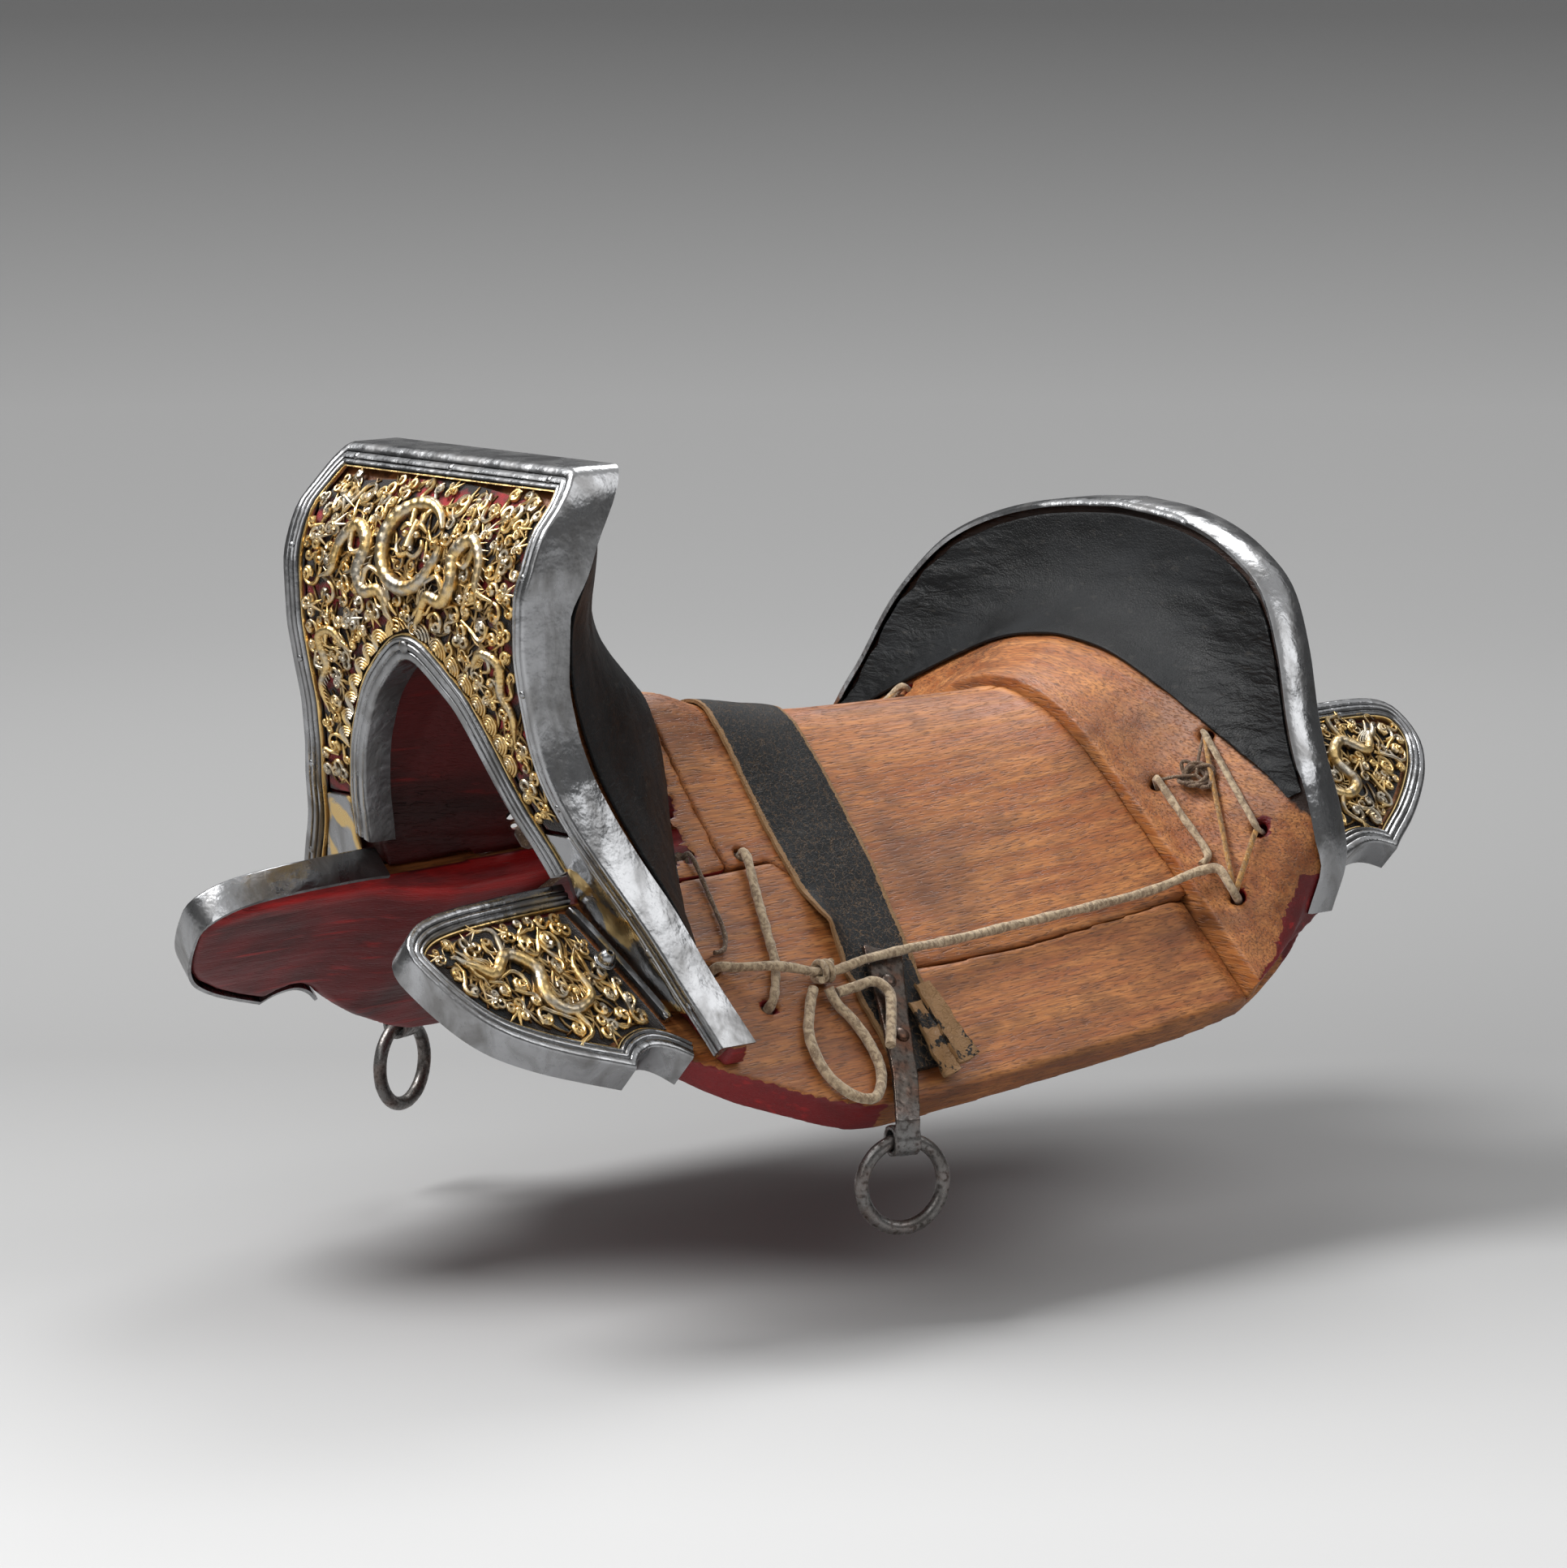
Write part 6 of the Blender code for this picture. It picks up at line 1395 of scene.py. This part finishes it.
# Plans of the dragons' bodies, from the head, on the left half of their panel
LARGE_DRAGON = ((0.0110, 0.0745), (0.0170, 0.0810), (0.0265, 0.0800), (0.0320, 0.0880), (0.0300, 0.1000),
                (0.0390, 0.1070), (0.0480, 0.0990), (0.0500, 0.0870), (0.0600, 0.0830))
SMALL_DRAGON = ((0.0440, 0.0540), (0.0520, 0.0600), (0.0620, 0.0560), (0.0600, 0.0440), (0.0660, 0.0340),
                (0.0640, 0.0220))
CANTLE_DRAGON = ((0.0280, 0.0560), (0.0380, 0.0620), (0.0480, 0.0520), (0.0560, 0.0420), (0.0680, 0.0500),
                 (0.0800, 0.0520), (0.0900, 0.0400), (0.1000, 0.0340))
FRONT_DRAGON = ((0.0830, -0.2480), (0.0890, -0.2390), (0.0830, -0.2280), (0.0900, -0.2170),
                (0.1010, -0.2200), (0.1080, -0.2120), (0.1040, -0.1990), (0.0930, -0.1990),
                (0.0860, -0.1930))
REAR_DRAGON = ((0.0830, 0.3060), (0.0900, 0.2970), (0.0840, 0.2850), (0.0910, 0.2740), (0.1020, 0.2770),
               (0.1060, 0.2660), (0.0980, 0.2540), (0.0880, 0.2500), (0.0900, 0.2380))
# Clouds as places, radius and, on the pommel, turn
POMMEL_CLOUDS = ((0.0560, 0.1170, 0.0068, 0.8), (0.0320, 0.1200, 0.0056, 2.0), (0.0640, 0.1000, 0.0058, 0.2),
                 (0.0380, 0.0660, 0.0060, -0.6), (0.0660, 0.0700, 0.0056, 0.0),
                 (0.0470, 0.0400, 0.0050, 1.2), (0.0730, 0.0060, 0.0038, -1.2))
CANTLE_CLOUDS = ((0.0300, 0.0360, 0.0062), (0.0560, 0.0640, 0.0060), (0.0740, 0.0260, 0.0062),
                 (0.1060, 0.0200, 0.0060), (0.1200, -0.0060, 0.0056))


def within(outer, inner, foot):
    """A panel's outline between two edges, down to its foot."""
    return [p for p in outer if p[1] > foot] + [p for p in reversed(inner) if p[1] > foot]


class SADDLE_OT_openwork(bpy.types.Operator):
    """Make the pierced gilt panels"""
    bl_idname = "saddle.openwork"
    bl_label = "Gilt openwork"

    def execute(self, context):
        self.pommel()
        self.cantle()
        for side, sign in SIDES:
            self.lobe("front", FRONT_LOBE, FRONT_DRAGON, -1.0, side, sign, 11)
            self.lobe("rear", REAR_LOBE, REAR_DRAGON, 1.0, side, sign, 23)
        return {"FINISHED"}

    def pommel(self):
        arch = inset(spline(both_sides(ARCH), 60), ARCH_STRIP + PANEL_GAP)
        outer = inset(both_sides(pommel_outline()), -(POMMEL_STRIP + PANEL_GAP))
        field = Field(within(outer, arch, PANEL_LEG_END), 5)
        field.face((0.0, 0.1040), 0.0064, 0.0034)
        field.ring((0.0, 0.1015), 0.0190, 0.0036, 0.0028)
        wave_line = inset(spline(both_sides(ARCH), 27), ARCH_STRIP + 0.0010)
        field.waves([p for p in wave_line if p[1] > 0.004], 0.0066, 4)
        for way in (1.0, -1.0):
            field.dragon([(way * x, z) for x, z in LARGE_DRAGON], 0.0037, way)
            field.dragon([(way * x, z) for x, z in SMALL_DRAGON], 0.0024, -way)
            field.clouds([(way * x, z, r, a if way > 0 else math.pi - a)
                          for x, z, r, a in POMMEL_CLOUDS], 0.0028)
        field.fill(sizes().curls, 0.0046, 0.0017)
        field.undergrowth(330)
        build_openwork("pommel_openwork", field, lambda x, z, h: pommel_face((x, z), h),
                       lambda p: pommel_front(p.z) - p.y, "pommel_gilt_panel")

    def cantle(self):
        edge = CANTLE_REAR_STRIP + PANEL_GAP
        low = inset(spline(cantle_foot(0.0, 0.016, 0.038, 0.068, 0.104, 0.136), 60), edge)
        high = inset(both_sides(cantle_outline()), -edge)
        field = Field(within(high, low, -0.048), 9)
        field.face((0.0, 0.0520), 0.0060, 0.0034)
        field.ring((0.0, 0.0500), 0.0172, 0.0032, 0.0028)
        for way in (1.0, -1.0):
            field.dragon([(way * x, z) for x, z in CANTLE_DRAGON], 0.0036, way)
            field.clouds([(way * x, z, r, 1.0) for x, z, r in CANTLE_CLOUDS], 0.0026)
        field.fill(sizes().curls, 0.0050, 0.0019)
        field.undergrowth(330)
        back = CANTLE_BACK + 0.0002
        build_openwork("cantle_openwork", field, lambda x, z, h: cantle_face((x, z), back + h),
                       lambda p: p.y - cantle_middle(p.z) - back, "cantle_gilt_panel")

    def lobe(self, end, lobe, dragon, way, side, sign, seed):
        inner = inset(lobe_outline(lobe), -way * (LOBE_STRIP + PANEL_GAP))

        def root(x):
            """Where the panel starts, beside the arch's foot."""
            return -0.1870 + 0.31 * (x - 0.070) if way < 0.0 else 0.2215

        field = Field([(x, y) for x, y in inner if way * (y - root(x)) > 0.0], seed)
        field.dragon(dragon, 0.0034, -way)
        field.fill(sizes().curls // 2, 0.0042, 0.0016)
        field.undergrowth(110)
        build_openwork(f"{end}_lobe_openwork_{side}", field, lambda x, y, h: tree_point(x, y, -h - 0.0012),
                       lambda p: -depth_below(p) - 0.0012, f"{end}_lobe_gilt_panel_{side}", sign)


class SADDLE_OT_linings(bpy.types.Operator):
    """Make the cloth behind the openwork"""
    bl_idname = "saddle.linings"
    bl_label = "Lining cloths"

    def execute(self, context):
        cloths = [("pommel_cloth", "red_cloth"), ("cantle_cloth", "red_cloth")]
        for end in ("front", "rear"):
            cloths += [(f"{end}_lobe_cloth_{side}", "blue_cloth") for side, _ in SIDES]
        for name, colour in cloths:
            made = refined(name, 2, f"{name}_lining", [look(colour)], 30.0,
                           shape=lambda p, n: n * 0.00012 * noise.noise(p * 240.0))
            settle(made, colour, name)
        return {"FINISHED"}


# Strap, iron and thongs

strap_middle = smooth([(0.0, -0.024), (0.08, -0.0345), (0.117, -0.0425), (0.16, -0.052)])
strap_half = smooth([(0.0, 0.025), (0.06, 0.024), (0.10, 0.0210), (0.13, 0.0185), (0.16, 0.0165)])


class SADDLE_OT_strap(bpy.types.Operator):
    """Make the leather strap over the seat and its torn end"""
    bl_idname = "saddle.strap"
    bl_label = "Girth strap"

    def execute(self, context):
        def section(x, sign):
            middle, half = strap_middle(x), strap_half(x)
            ragged = 0.0009 * noise.noise(Vector((x * 160.0, sign, 0.0)))
            curl = 0.0065 * max(0.0, 1.0 - abs(x - 0.098) / 0.016) if sign > 0 else 0.0
            upper, lower = [], []
            for f in np.linspace(-1.0, 1.0, 15):
                y = middle + f * (half + ragged)
                lift = 0.0005 + 0.0004 * noise.noise(Vector((x * 60.0, y * 60.0, sign)))
                lift += curl * max(0.0, -f - 0.55) / 0.45
                thin = 0.0026 - 0.0010 * abs(f) ** 6
                upper.append(tree_point(x, y, -lift - thin))
                lower.append(tree_point(x, y, -lift))
            return mirrored(upper + list(reversed(lower)), sign)

        columns = list(np.linspace(0.157, 0.001, 118))
        rings = [section(x, -1.0) for x in columns] + [section(x, 1.0) for x in reversed(columns)]
        made = sweep("girth_strap_leather", rings, [look("leather")], 55.0)

        def wear(place, normal):
            middle, half = strap_middle(abs(place.x)), strap_half(abs(place.x))
            rim = max(0.0, (abs(place.y - middle) / half - 0.86) / 0.14)
            low = clamp((abs(place.x) - 0.050) / 0.05)
            return min(0.34 + 0.20 * low + 0.9 * rim, 1.2)

        paint_mesh(made, "wear", wear)
        settle(made, "black_leather", "girth_strap")
        self.scraps()
        return {"FINISHED"}

    def scraps(self):
        """Torn and curled leather at the strap's lower end."""
        scraps = ((0.128, 0.160, -0.0310, -0.0360, 0.0085, 0.0035),
                  (0.134, 0.163, -0.0405, -0.0470, 0.0070, 0.0022))
        for side, sign in SIDES:
            for i, (x0, x1, y0, y1, width, lift) in enumerate(scraps):
                rings = []
                for s in np.linspace(0.0, 1.0, 26):
                    x, y = x0 + s * (x1 - x0), y0 + s * (y1 - y0)
                    half = width * (0.55 + 0.25 * noise.noise(Vector((s * 5.0, i, sign))) + 0.2 * s)
                    upper, lower = [], []
                    for f in np.linspace(-1.0, 1.0, 9):
                        rise = lift * (0.4 + s) * (0.15 + 1.1 * abs(f) ** 3) + 0.0010 * noise.noise(
                            Vector((x * 90.0, f * 1.5, 3.0 * i)))
                        rise = max(rise, 0.0002) + 0.0036
                        upper.append(tree_point(x, y + f * half, -rise - 0.0016))
                        lower.append(tree_point(x, y + f * half, -rise))
                    rings.append(mirrored(upper + list(reversed(lower)), sign))
                made = sweep(f"strap_scrap_{side}_{i + 1}", rings, [look("leather")], 60.0)
                paint_mesh(made, "wear", lambda p, n: 0.86 + 0.50 * noise.noise(p * 120.0))
                settle(made, "black_leather")


class SADDLE_OT_iron(bpy.types.Operator):
    """Make the hangers, their rivets and the girth rings"""
    bl_idname = "saddle.iron"
    bl_label = "Hangers and rings"

    def execute(self, context):
        s = sizes()
        for side, sign in SIDES:
            name = f"hanger_{side}"
            eye = mirrored([EYE_CENTRE], sign)[0]
            made = remeshed(name, HANGER_VOXEL, 2, f"{name}_iron", [look("iron")],
                            lambda p, n: n * 0.00018 * noise.noise(p * 330.0))
            paint_mesh(made, "bright", lambda p, n: clamp(1.0 - ((p - eye).length - 0.006) / 0.012))
            settle(made, "dark_iron", name)
            self.rivets(side, sign)
            self.ring(side, sign, s.ring_diameter, s.ring_wire)
        return {"FINISHED"}

    def rivets(self, side, sign):
        for i, (x, y) in enumerate(((0.1245, -0.0476), (0.1450, -0.0590))):
            foot, out = mirrored([tree_point(x, y, -0.0069), tree_normal(x, y)], sign)
            data = bmesh.new()
            dome_mesh(data, foot, out, 0.0036, 0.0014, 20)
            made = finish_mesh(data, f"hanger_rivet_head_{side}_{i + 1}", [look("iron")])
            settle(made, "dark_iron", f"hanger_rivet_{side}_{i + 1}")

    def ring(self, side, sign, outer, wire):
        """A ring forged from a bar, a little thicker at the bottom and a little uneven."""
        major = (outer - wire) / 2.0
        eye, axis = mirrored([EYE_CENTRE, EYE_AXIS], sign)
        flat = axis.cross(Vector((0.0, 0.0, 1.0)))
        centre = eye - Vector((0.0, 0.0, major))
        data = bmesh.new()
        start = centre + Vector((0.0, 0.0, 1.0)) * major
        wheel = bmesh.ops.create_circle(data, segments=20, radius=wire / 2.0)
        turn = Vector((0.0, 0.0, 1.0)).rotation_difference(axis).to_matrix().to_4x4()
        bmesh.ops.transform(data, matrix=Matrix.Translation(start) @ turn, verts=wheel["verts"])
        bmesh.ops.spin(data, geom=data.edges[:] + data.verts[:], cent=centre, axis=flat, angle=2.0 * math.pi,
                       steps=72, use_merge=True)
        bmesh.ops.remove_doubles(data, verts=data.verts, dist=1e-6)
        for v in data.verts:
            out = v.co - centre
            round_at = math.atan2(out.dot(axis), -out.z)
            middle = centre + (out - flat * out.dot(flat)).normalized() * major
            swell = 0.97 + 0.03 * math.cos(round_at) + 0.030 * noise.noise(v.co * 160.0)
            v.co = middle + (v.co - middle) * swell
        bmesh.ops.recalc_face_normals(data, faces=data.faces)
        made = finish_mesh(data, f"girth_ring_forged_{side}", [look("iron")])
        paint_mesh(made, "bright", lambda p, n: 0.62 + 0.5 * noise.noise(p * 90.0))
        settle(made, "dark_iron", f"girth_ring_{side}", body=f"girth_ring_{side}")


# A way off the near board's face, from which the thongs' sections are turned
OFF_BOARD = Vector((0.67, -0.05, 0.74))
REAR_KNOT = Vector((0.1073, 0.1669, -0.0267))
REAR_KNOT_OUT = Vector((0.36, -0.73, 0.58)).normalized()
FRONT_HOLES = ((0.0581, -0.1028), (0.0624, -0.0742), (0.1209, -0.1100), (0.1022, -0.1261))
REAR_HOLES = (((0.0922, 0.1557, -0.0288), (0.48, -0.60, 0.64)),
              ((0.1013, 0.1781, -0.0081), (0.27, -0.76, 0.59)),
              ((0.1434, 0.1699, -0.0461), (0.35, -0.84, 0.42)),
              ((0.1450, 0.1538, -0.0752), (0.45, -0.74, 0.49)))
LONG_LOOP = ((0.1200, -0.0870, 0.0020), (0.1260, -0.0935, 0.0006), (0.1365, -0.1030, 0.0004),
             (0.1500, -0.1060, 0.0004), (0.1600, -0.1010, 0.0010), (0.1640, -0.0925, 0.0020),
             (0.1600, -0.0835, 0.0010), (0.1530, -0.0770, 0.0004), (0.1440, -0.0748, 0.0004),
             (0.1340, -0.0755, 0.0004), (0.1265, -0.0785, 0.0006), (0.1215, -0.0800, 0.0030))
SHORT_LOOP = ((0.1235, -0.0760, 0.0020), (0.1242, -0.0670, 0.0052), (0.1250, -0.0585, 0.0073),
              (0.1300, -0.0550, 0.0074), (0.1365, -0.0595, 0.0074), (0.1430, -0.0658, 0.0073),
              (0.1490, -0.0715, 0.0072))


def laid(places, lift):
    """Points on the tree's surface, given across, along and with their own extra height."""
    return [tree_point(x, y, -(lift + extra)) for x, y, extra in places]


def tie_route():
    """The long thong's way, from a front hole to a rear hole."""
    half = sizes().tie_diameter / 2.0 + GAP
    front = laid([(0.1020, -0.1262, -0.0070), (0.1028, -0.1248, -0.0010), (0.1050, -0.1190, 0.0006),
                  (0.1092, -0.1040, 0.0046), (0.1120, -0.0930, 0.0048), (0.1145, -0.0830, 0.0036),
                  (0.1160, -0.0720, 0.0038), (0.1162, -0.0640, 0.0055), (0.1160, -0.0550, 0.0070),
                  (0.1160, -0.0400, 0.0070)], half)
    middle = laid([(0.1160, -0.0250, 0.0066), (0.1162, 0.0000, 0.0046), (0.1165, 0.0400, 0.0030),
                   (0.1185, 0.0900, 0.0024), (0.1205, 0.1200, 0.0040), (0.1215, 0.1370, 0.0072),
                   (0.1222, 0.1440, 0.0090)], half)
    last = Vector(REAR_HOLES[3][0])
    out = Vector(REAR_HOLES[3][1]).normalized()
    back = [last + out * 0.0065 + Vector((-0.0105, 0.0005, 0.0090)),
            last + out * 0.0050 + Vector((-0.0040, 0.0, 0.0040)),
            last + out * 0.0020, last - out * 0.0060]
    return front + middle + back


def thong(name, points, diameter, finish, count, twist=0.0, flat=1.0):
    """A thong swept along its way, rough and a little uneven in thickness."""
    line = [Vector(p) for p in spline(points, count)]
    rings = []
    for i, p in enumerate(line):
        run = (line[min(i + 1, count - 1)] - line[max(i - 1, 0)]).normalized()
        across = run.cross(OFF_BOARD).normalized()
        lift = across.cross(run).normalized()
        spin = twist * i
        ring = []
        for a in np.linspace(0.0, 2.0 * math.pi, 12, endpoint=False):
            swell = 1.0 + 0.10 * noise.noise(p * 260.0 + Vector((math.cos(a), math.sin(a), 0.0)))
            if twist:
                swell *= 1.0 - 0.16 * abs(math.sin(a + spin))
            offset = across * math.cos(a) + lift * math.sin(a) * flat
            ring.append(p + offset * diameter / 2.0 * swell * 0.98)
        rings.append(ring)
    return sweep(name, rings, [look(finish)], 70.0)


def path_length(points):
    return sum((Vector(b) - Vector(a)).length for a, b in zip(points, points[1:]))


class SADDLE_OT_tie(bpy.types.Operator):
    """Make the long tie thong with its knot and bow"""
    bl_idname = "saddle.tie"
    bl_label = "Tie thong"

    def execute(self, context):
        d = sizes().tie_diameter
        route = spline(tie_route(), 200)
        made = thong("tie_thong_rawhide", tie_route(), d, "rawhide", 200, 0.16)
        settle(made, "tan_rawhide", "tie_thong")
        knot = self.knot(d)
        path_length(route)
        for name, places in (("bow_loop_long", LONG_LOOP), ("bow_loop_short", SHORT_LOOP)):
            points = laid(places, d / 2.0 + GAP)
            line = spline(points, 90)
            loop = thong(f"{name}_rawhide", points, d, "rawhide", 90)
            settle(loop, "tan_rawhide", name)
            path_length(line)
        return {"FINISHED"}

    def knot(self, diameter):
        """Turns of thong wound round the tie, with a crossing strand over them."""
        centre = tree_point(0.11525, -0.0775, -(diameter / 2.0 + GAP + 0.0037))
        ahead = tree_point(0.1160, -0.0720, -(diameter / 2.0 + GAP + 0.0038))
        axis = (ahead - centre).normalized()
        across = axis.cross(OFF_BOARD).normalized()
        lift = axis.cross(across)
        radius = diameter / 2.0 + 0.0016
        turns = 2.6
        coil = []
        for i in range(61):
            s = i / 60.0
            a = 2.0 * math.pi * turns * s
            out = (across * math.cos(a) + lift * math.sin(a)) * radius
            coil.append((centre + out + axis * 0.0034 * turns * (s - 0.5), 0.0015))
        over = [centre + across * 0.0056 - axis * 0.0040 - lift * 0.0010, centre + lift * 0.0056,
                centre - across * 0.0058 + axis * 0.0040 + lift * 0.0004]
        crossing = [(Vector(p), 0.0016) for p in spline(over, 14)]
        made = strands("tie_knot_rawhide", [coil, crossing], [look("rawhide")], 2)
        return settle(made, "tan_rawhide", "tie_knot")


class SADDLE_OT_laces(bpy.types.Operator):
    """Make the short lacings through the drilled holes"""
    bl_idname = "saddle.laces"
    bl_label = "Laces"

    def execute(self, context):
        d = sizes().lace_diameter
        for side, sign in SIDES:
            self.front(side, sign, d)
            self.rear(side, sign, d)
        return {"FINISHED"}

    def front(self, side, sign, d):
        half = d / 2.0 + GAP
        outer = laid([(0.0624, -0.0742, -0.0070), (0.0640, -0.0752, 0.0004), (0.0800, -0.0830, 0.0006),
                      (0.0960, -0.0905, 0.0004), (0.1060, -0.0955, 0.0004), (0.1130, -0.1015, 0.0004),
                      (0.1195, -0.1085, 0.0004), (0.1209, -0.1100, -0.0070)], half)
        made = thong(f"front_lace_{side}_rawhide", mirrored(outer, sign), d * 1.15, "rawhide", 110, 0.30)
        settle(made, "tan_rawhide", f"front_lace_{side}")
        half = 0.0012 + GAP
        thin = laid([(0.0581, -0.1028, -0.0070), (0.0600, -0.1032, 0.0004), (0.0760, -0.1065, 0.0004),
                     (0.0900, -0.1105, 0.0004), (0.0960, -0.1150, 0.0004), (0.0975, -0.1190, 0.0004),
                     (0.0975, -0.1225, 0.0004)], half)
        made = thong(f"front_thin_lace_{side}_thong", mirrored(thin, sign), 0.0024, "dark_thong", 70, 0.3)
        settle(made, "dark_thong", f"front_thin_lace_{side}")
        (x0, y0), (x1, y1) = FRONT_HOLES[1:3]
        depth = BOARD_THICKNESS + d / 4.0 + GAP + 0.0002
        points = [tree_point(x0 + s * (x1 - x0), y0 + s * (y1 - y0), depth)
                  for s in np.linspace(0.08, 1.0, 8)]
        made = thong(f"inner_lace_{side}_rawhide", mirrored(points, sign), d, "dark_thong", 50, 0.0, 0.5)
        settle(made, "tan_rawhide", f"inner_lace_{side}")
        wads = []
        for x, y in FRONT_HOLES:
            places = mirrored([tree_point(x, y, deep) for deep, _ in WAD], sign)
            wads.append([(place, radius) for place, (_, radius) in zip(places, WAD)])
        made = strands(f"front_hole_wads_{side}", wads, [look("dark_thong")], 2)
        settle(made, "dark_thong")

    def rear(self, side, sign, d):
        rear = [(Vector(place), Vector(out).normalized()) for place, out in REAR_HOLES]

        def over(first, last, lift, sag):
            (p0, n0), (p1, n1) = rear[first], rear[last]
            ends = [p0 - n0 * 0.006, p0 + n0 * lift, p1 + n1 * lift, p1 - n1 * 0.006]
            inside = [p0.lerp(p1, s) + n0.lerp(n1, s).normalized() * (lift + sag)
                      for s in (0.15, 0.35, 0.65, 0.85)]
            return ends[:2] + inside + ends[2:]

        lift = d / 2.0 + 0.0006
        points = over(0, 3, lift, 0.0004)
        if sign > 0:
            points = points[:5] + [Vector((0.1275, 0.1500, -0.0640)) + rear[3][1] * (lift + 0.0014)]
        made = thong(f"rear_lace_{side}_rawhide", mirrored(points, sign), d, "rawhide", 60, 0.2)
        settle(made, "tan_rawhide", f"rear_lace_{side}")
        for i, (first, last, bend) in enumerate(((1, 3, 0.0025), (2, 3, 0.0012))):
            places = mirrored(over(first, last, 0.0016, bend)[1:7], sign)
            made = thong(f"rear_golden_thong_{side}_{i + 1}", places, 0.0028, "golden_thong", 40, 0.0, 0.6)
            settle(made, "tan_rawhide")
        self.tangle(side, sign)
        places = mirrored(over(1, 2, lift, 0.0006), sign)
        made = thong(f"rear_flat_lace_{side}_rawhide", places, d, "rawhide", 60, 0.0, 0.55)
        settle(made, "tan_rawhide", f"rear_flat_lace_{side}")

    def tangle(self, side, sign):
        """A greasy knot of thin thong on the rear lacing, with loose ends."""
        u = REAR_KNOT_OUT.cross(Vector((0.0, 0.0, 1.0))).normalized()
        v = REAR_KNOT_OUT.cross(u)
        paths = []
        loops = ((0.0085, 0.0040, 0.4), (0.0060, 0.0065, 1.5), (0.0095, 0.0034, 2.5), (0.0050, 0.0050, 0.0))
        for k, (wide, tall, turn) in enumerate(loops):
            path = []
            for a in np.linspace(0.0, 2.0 * math.pi, 30):
                x, y = wide * math.cos(a), tall * math.sin(a)
                p = REAR_KNOT + u * (x * math.cos(turn) - y * math.sin(turn))
                p = p + v * (x * math.sin(turn) + y * math.cos(turn))
                p = p + REAR_KNOT_OUT * (0.0030 + 0.0014 * math.sin(2.0 * a + k))
                path.append((Vector((sign * p.x, p.y, p.z)), 0.00095))
            paths.append(path)
        for tip in ((0.0921, 0.1560, -0.0290), (0.1010, 0.1776, -0.0086), (0.1200, 0.1700, -0.0350)):
            tip = Vector(tip)
            middle = REAR_KNOT.lerp(tip, 0.5) + REAR_KNOT_OUT * 0.0034
            line = spline([REAR_KNOT + REAR_KNOT_OUT * 0.0030, middle, tip + REAR_KNOT_OUT * 0.0014], 12)
            paths.append([(Vector((sign * p[0], p[1], p[2])), 0.0008) for p in line])
        made = strands(f"rear_tangle_{side}", paths, [look("dark_thong")], 2)
        settle(made, "dark_thong")


class SADDLE_OT_studs(bpy.types.Operator):
    """Make the socketed studs of the front lobes"""
    bl_idname = "saddle.studs"
    bl_label = "Studs"

    def execute(self, context):
        for side, _ in SIDES:
            name = f"front_lobe_stud_{side}"
            made = refined(name, 2, f"{name}_steel", [look("steel")], 30.0)
            settle(made, "silvered_steel", name)
        return {"FINISHED"}


STEPS = (SADDLE_OT_finishes, SADDLE_OT_stage, SADDLE_OT_tie, SADDLE_OT_laces, SADDLE_OT_boards,
         SADDLE_OT_seat, SADDLE_OT_arches, SADDLE_OT_leather, SADDLE_OT_rims, SADDLE_OT_openwork,
         SADDLE_OT_linings, SADDLE_OT_strap, SADDLE_OT_iron, SADDLE_OT_studs)


class SADDLE_PT_panel(bpy.types.Panel):
    bl_idname = "SADDLE_PT_panel"
    bl_label = "Saddle"
    bl_space_type = "VIEW_3D"
    bl_region_type = "UI"
    bl_category = "Saddle"

    def draw(self, context):
        for step in STEPS:
            self.layout.operator(step.bl_idname)
        for group, kind in ((sizes(), SaddleSizes), (colours(), SaddleColours)):
            for key in kind.__annotations__:
                self.layout.prop(group, key)


CLASSES = (SaddleColours, SaddleSizes, *STEPS, SADDLE_PT_panel)


def register():
    for cls in CLASSES:
        bpy.utils.register_class(cls)
    bpy.types.Scene.saddle_colours = PointerProperty(type=SaddleColours)
    bpy.types.Scene.saddle_sizes = PointerProperty(type=SaddleSizes)


def unregister():
    del bpy.types.Scene.saddle_colours
    del bpy.types.Scene.saddle_sizes
    for cls in reversed(CLASSES):
        bpy.utils.unregister_class(cls)


def main():
    register()
    bpy.ops.saddle.finishes()
    bpy.ops.saddle.stage()
    bpy.ops.saddle.tie()
    bpy.ops.saddle.laces()
    bpy.ops.saddle.boards()
    bpy.ops.saddle.seat()
    bpy.ops.saddle.arches()
    bpy.ops.saddle.leather()
    bpy.ops.saddle.rims()
    bpy.ops.saddle.openwork()
    bpy.ops.saddle.linings()
    bpy.ops.saddle.strap()
    bpy.ops.saddle.iron()
    bpy.ops.saddle.studs()


if __name__ == "__main__":
    main()
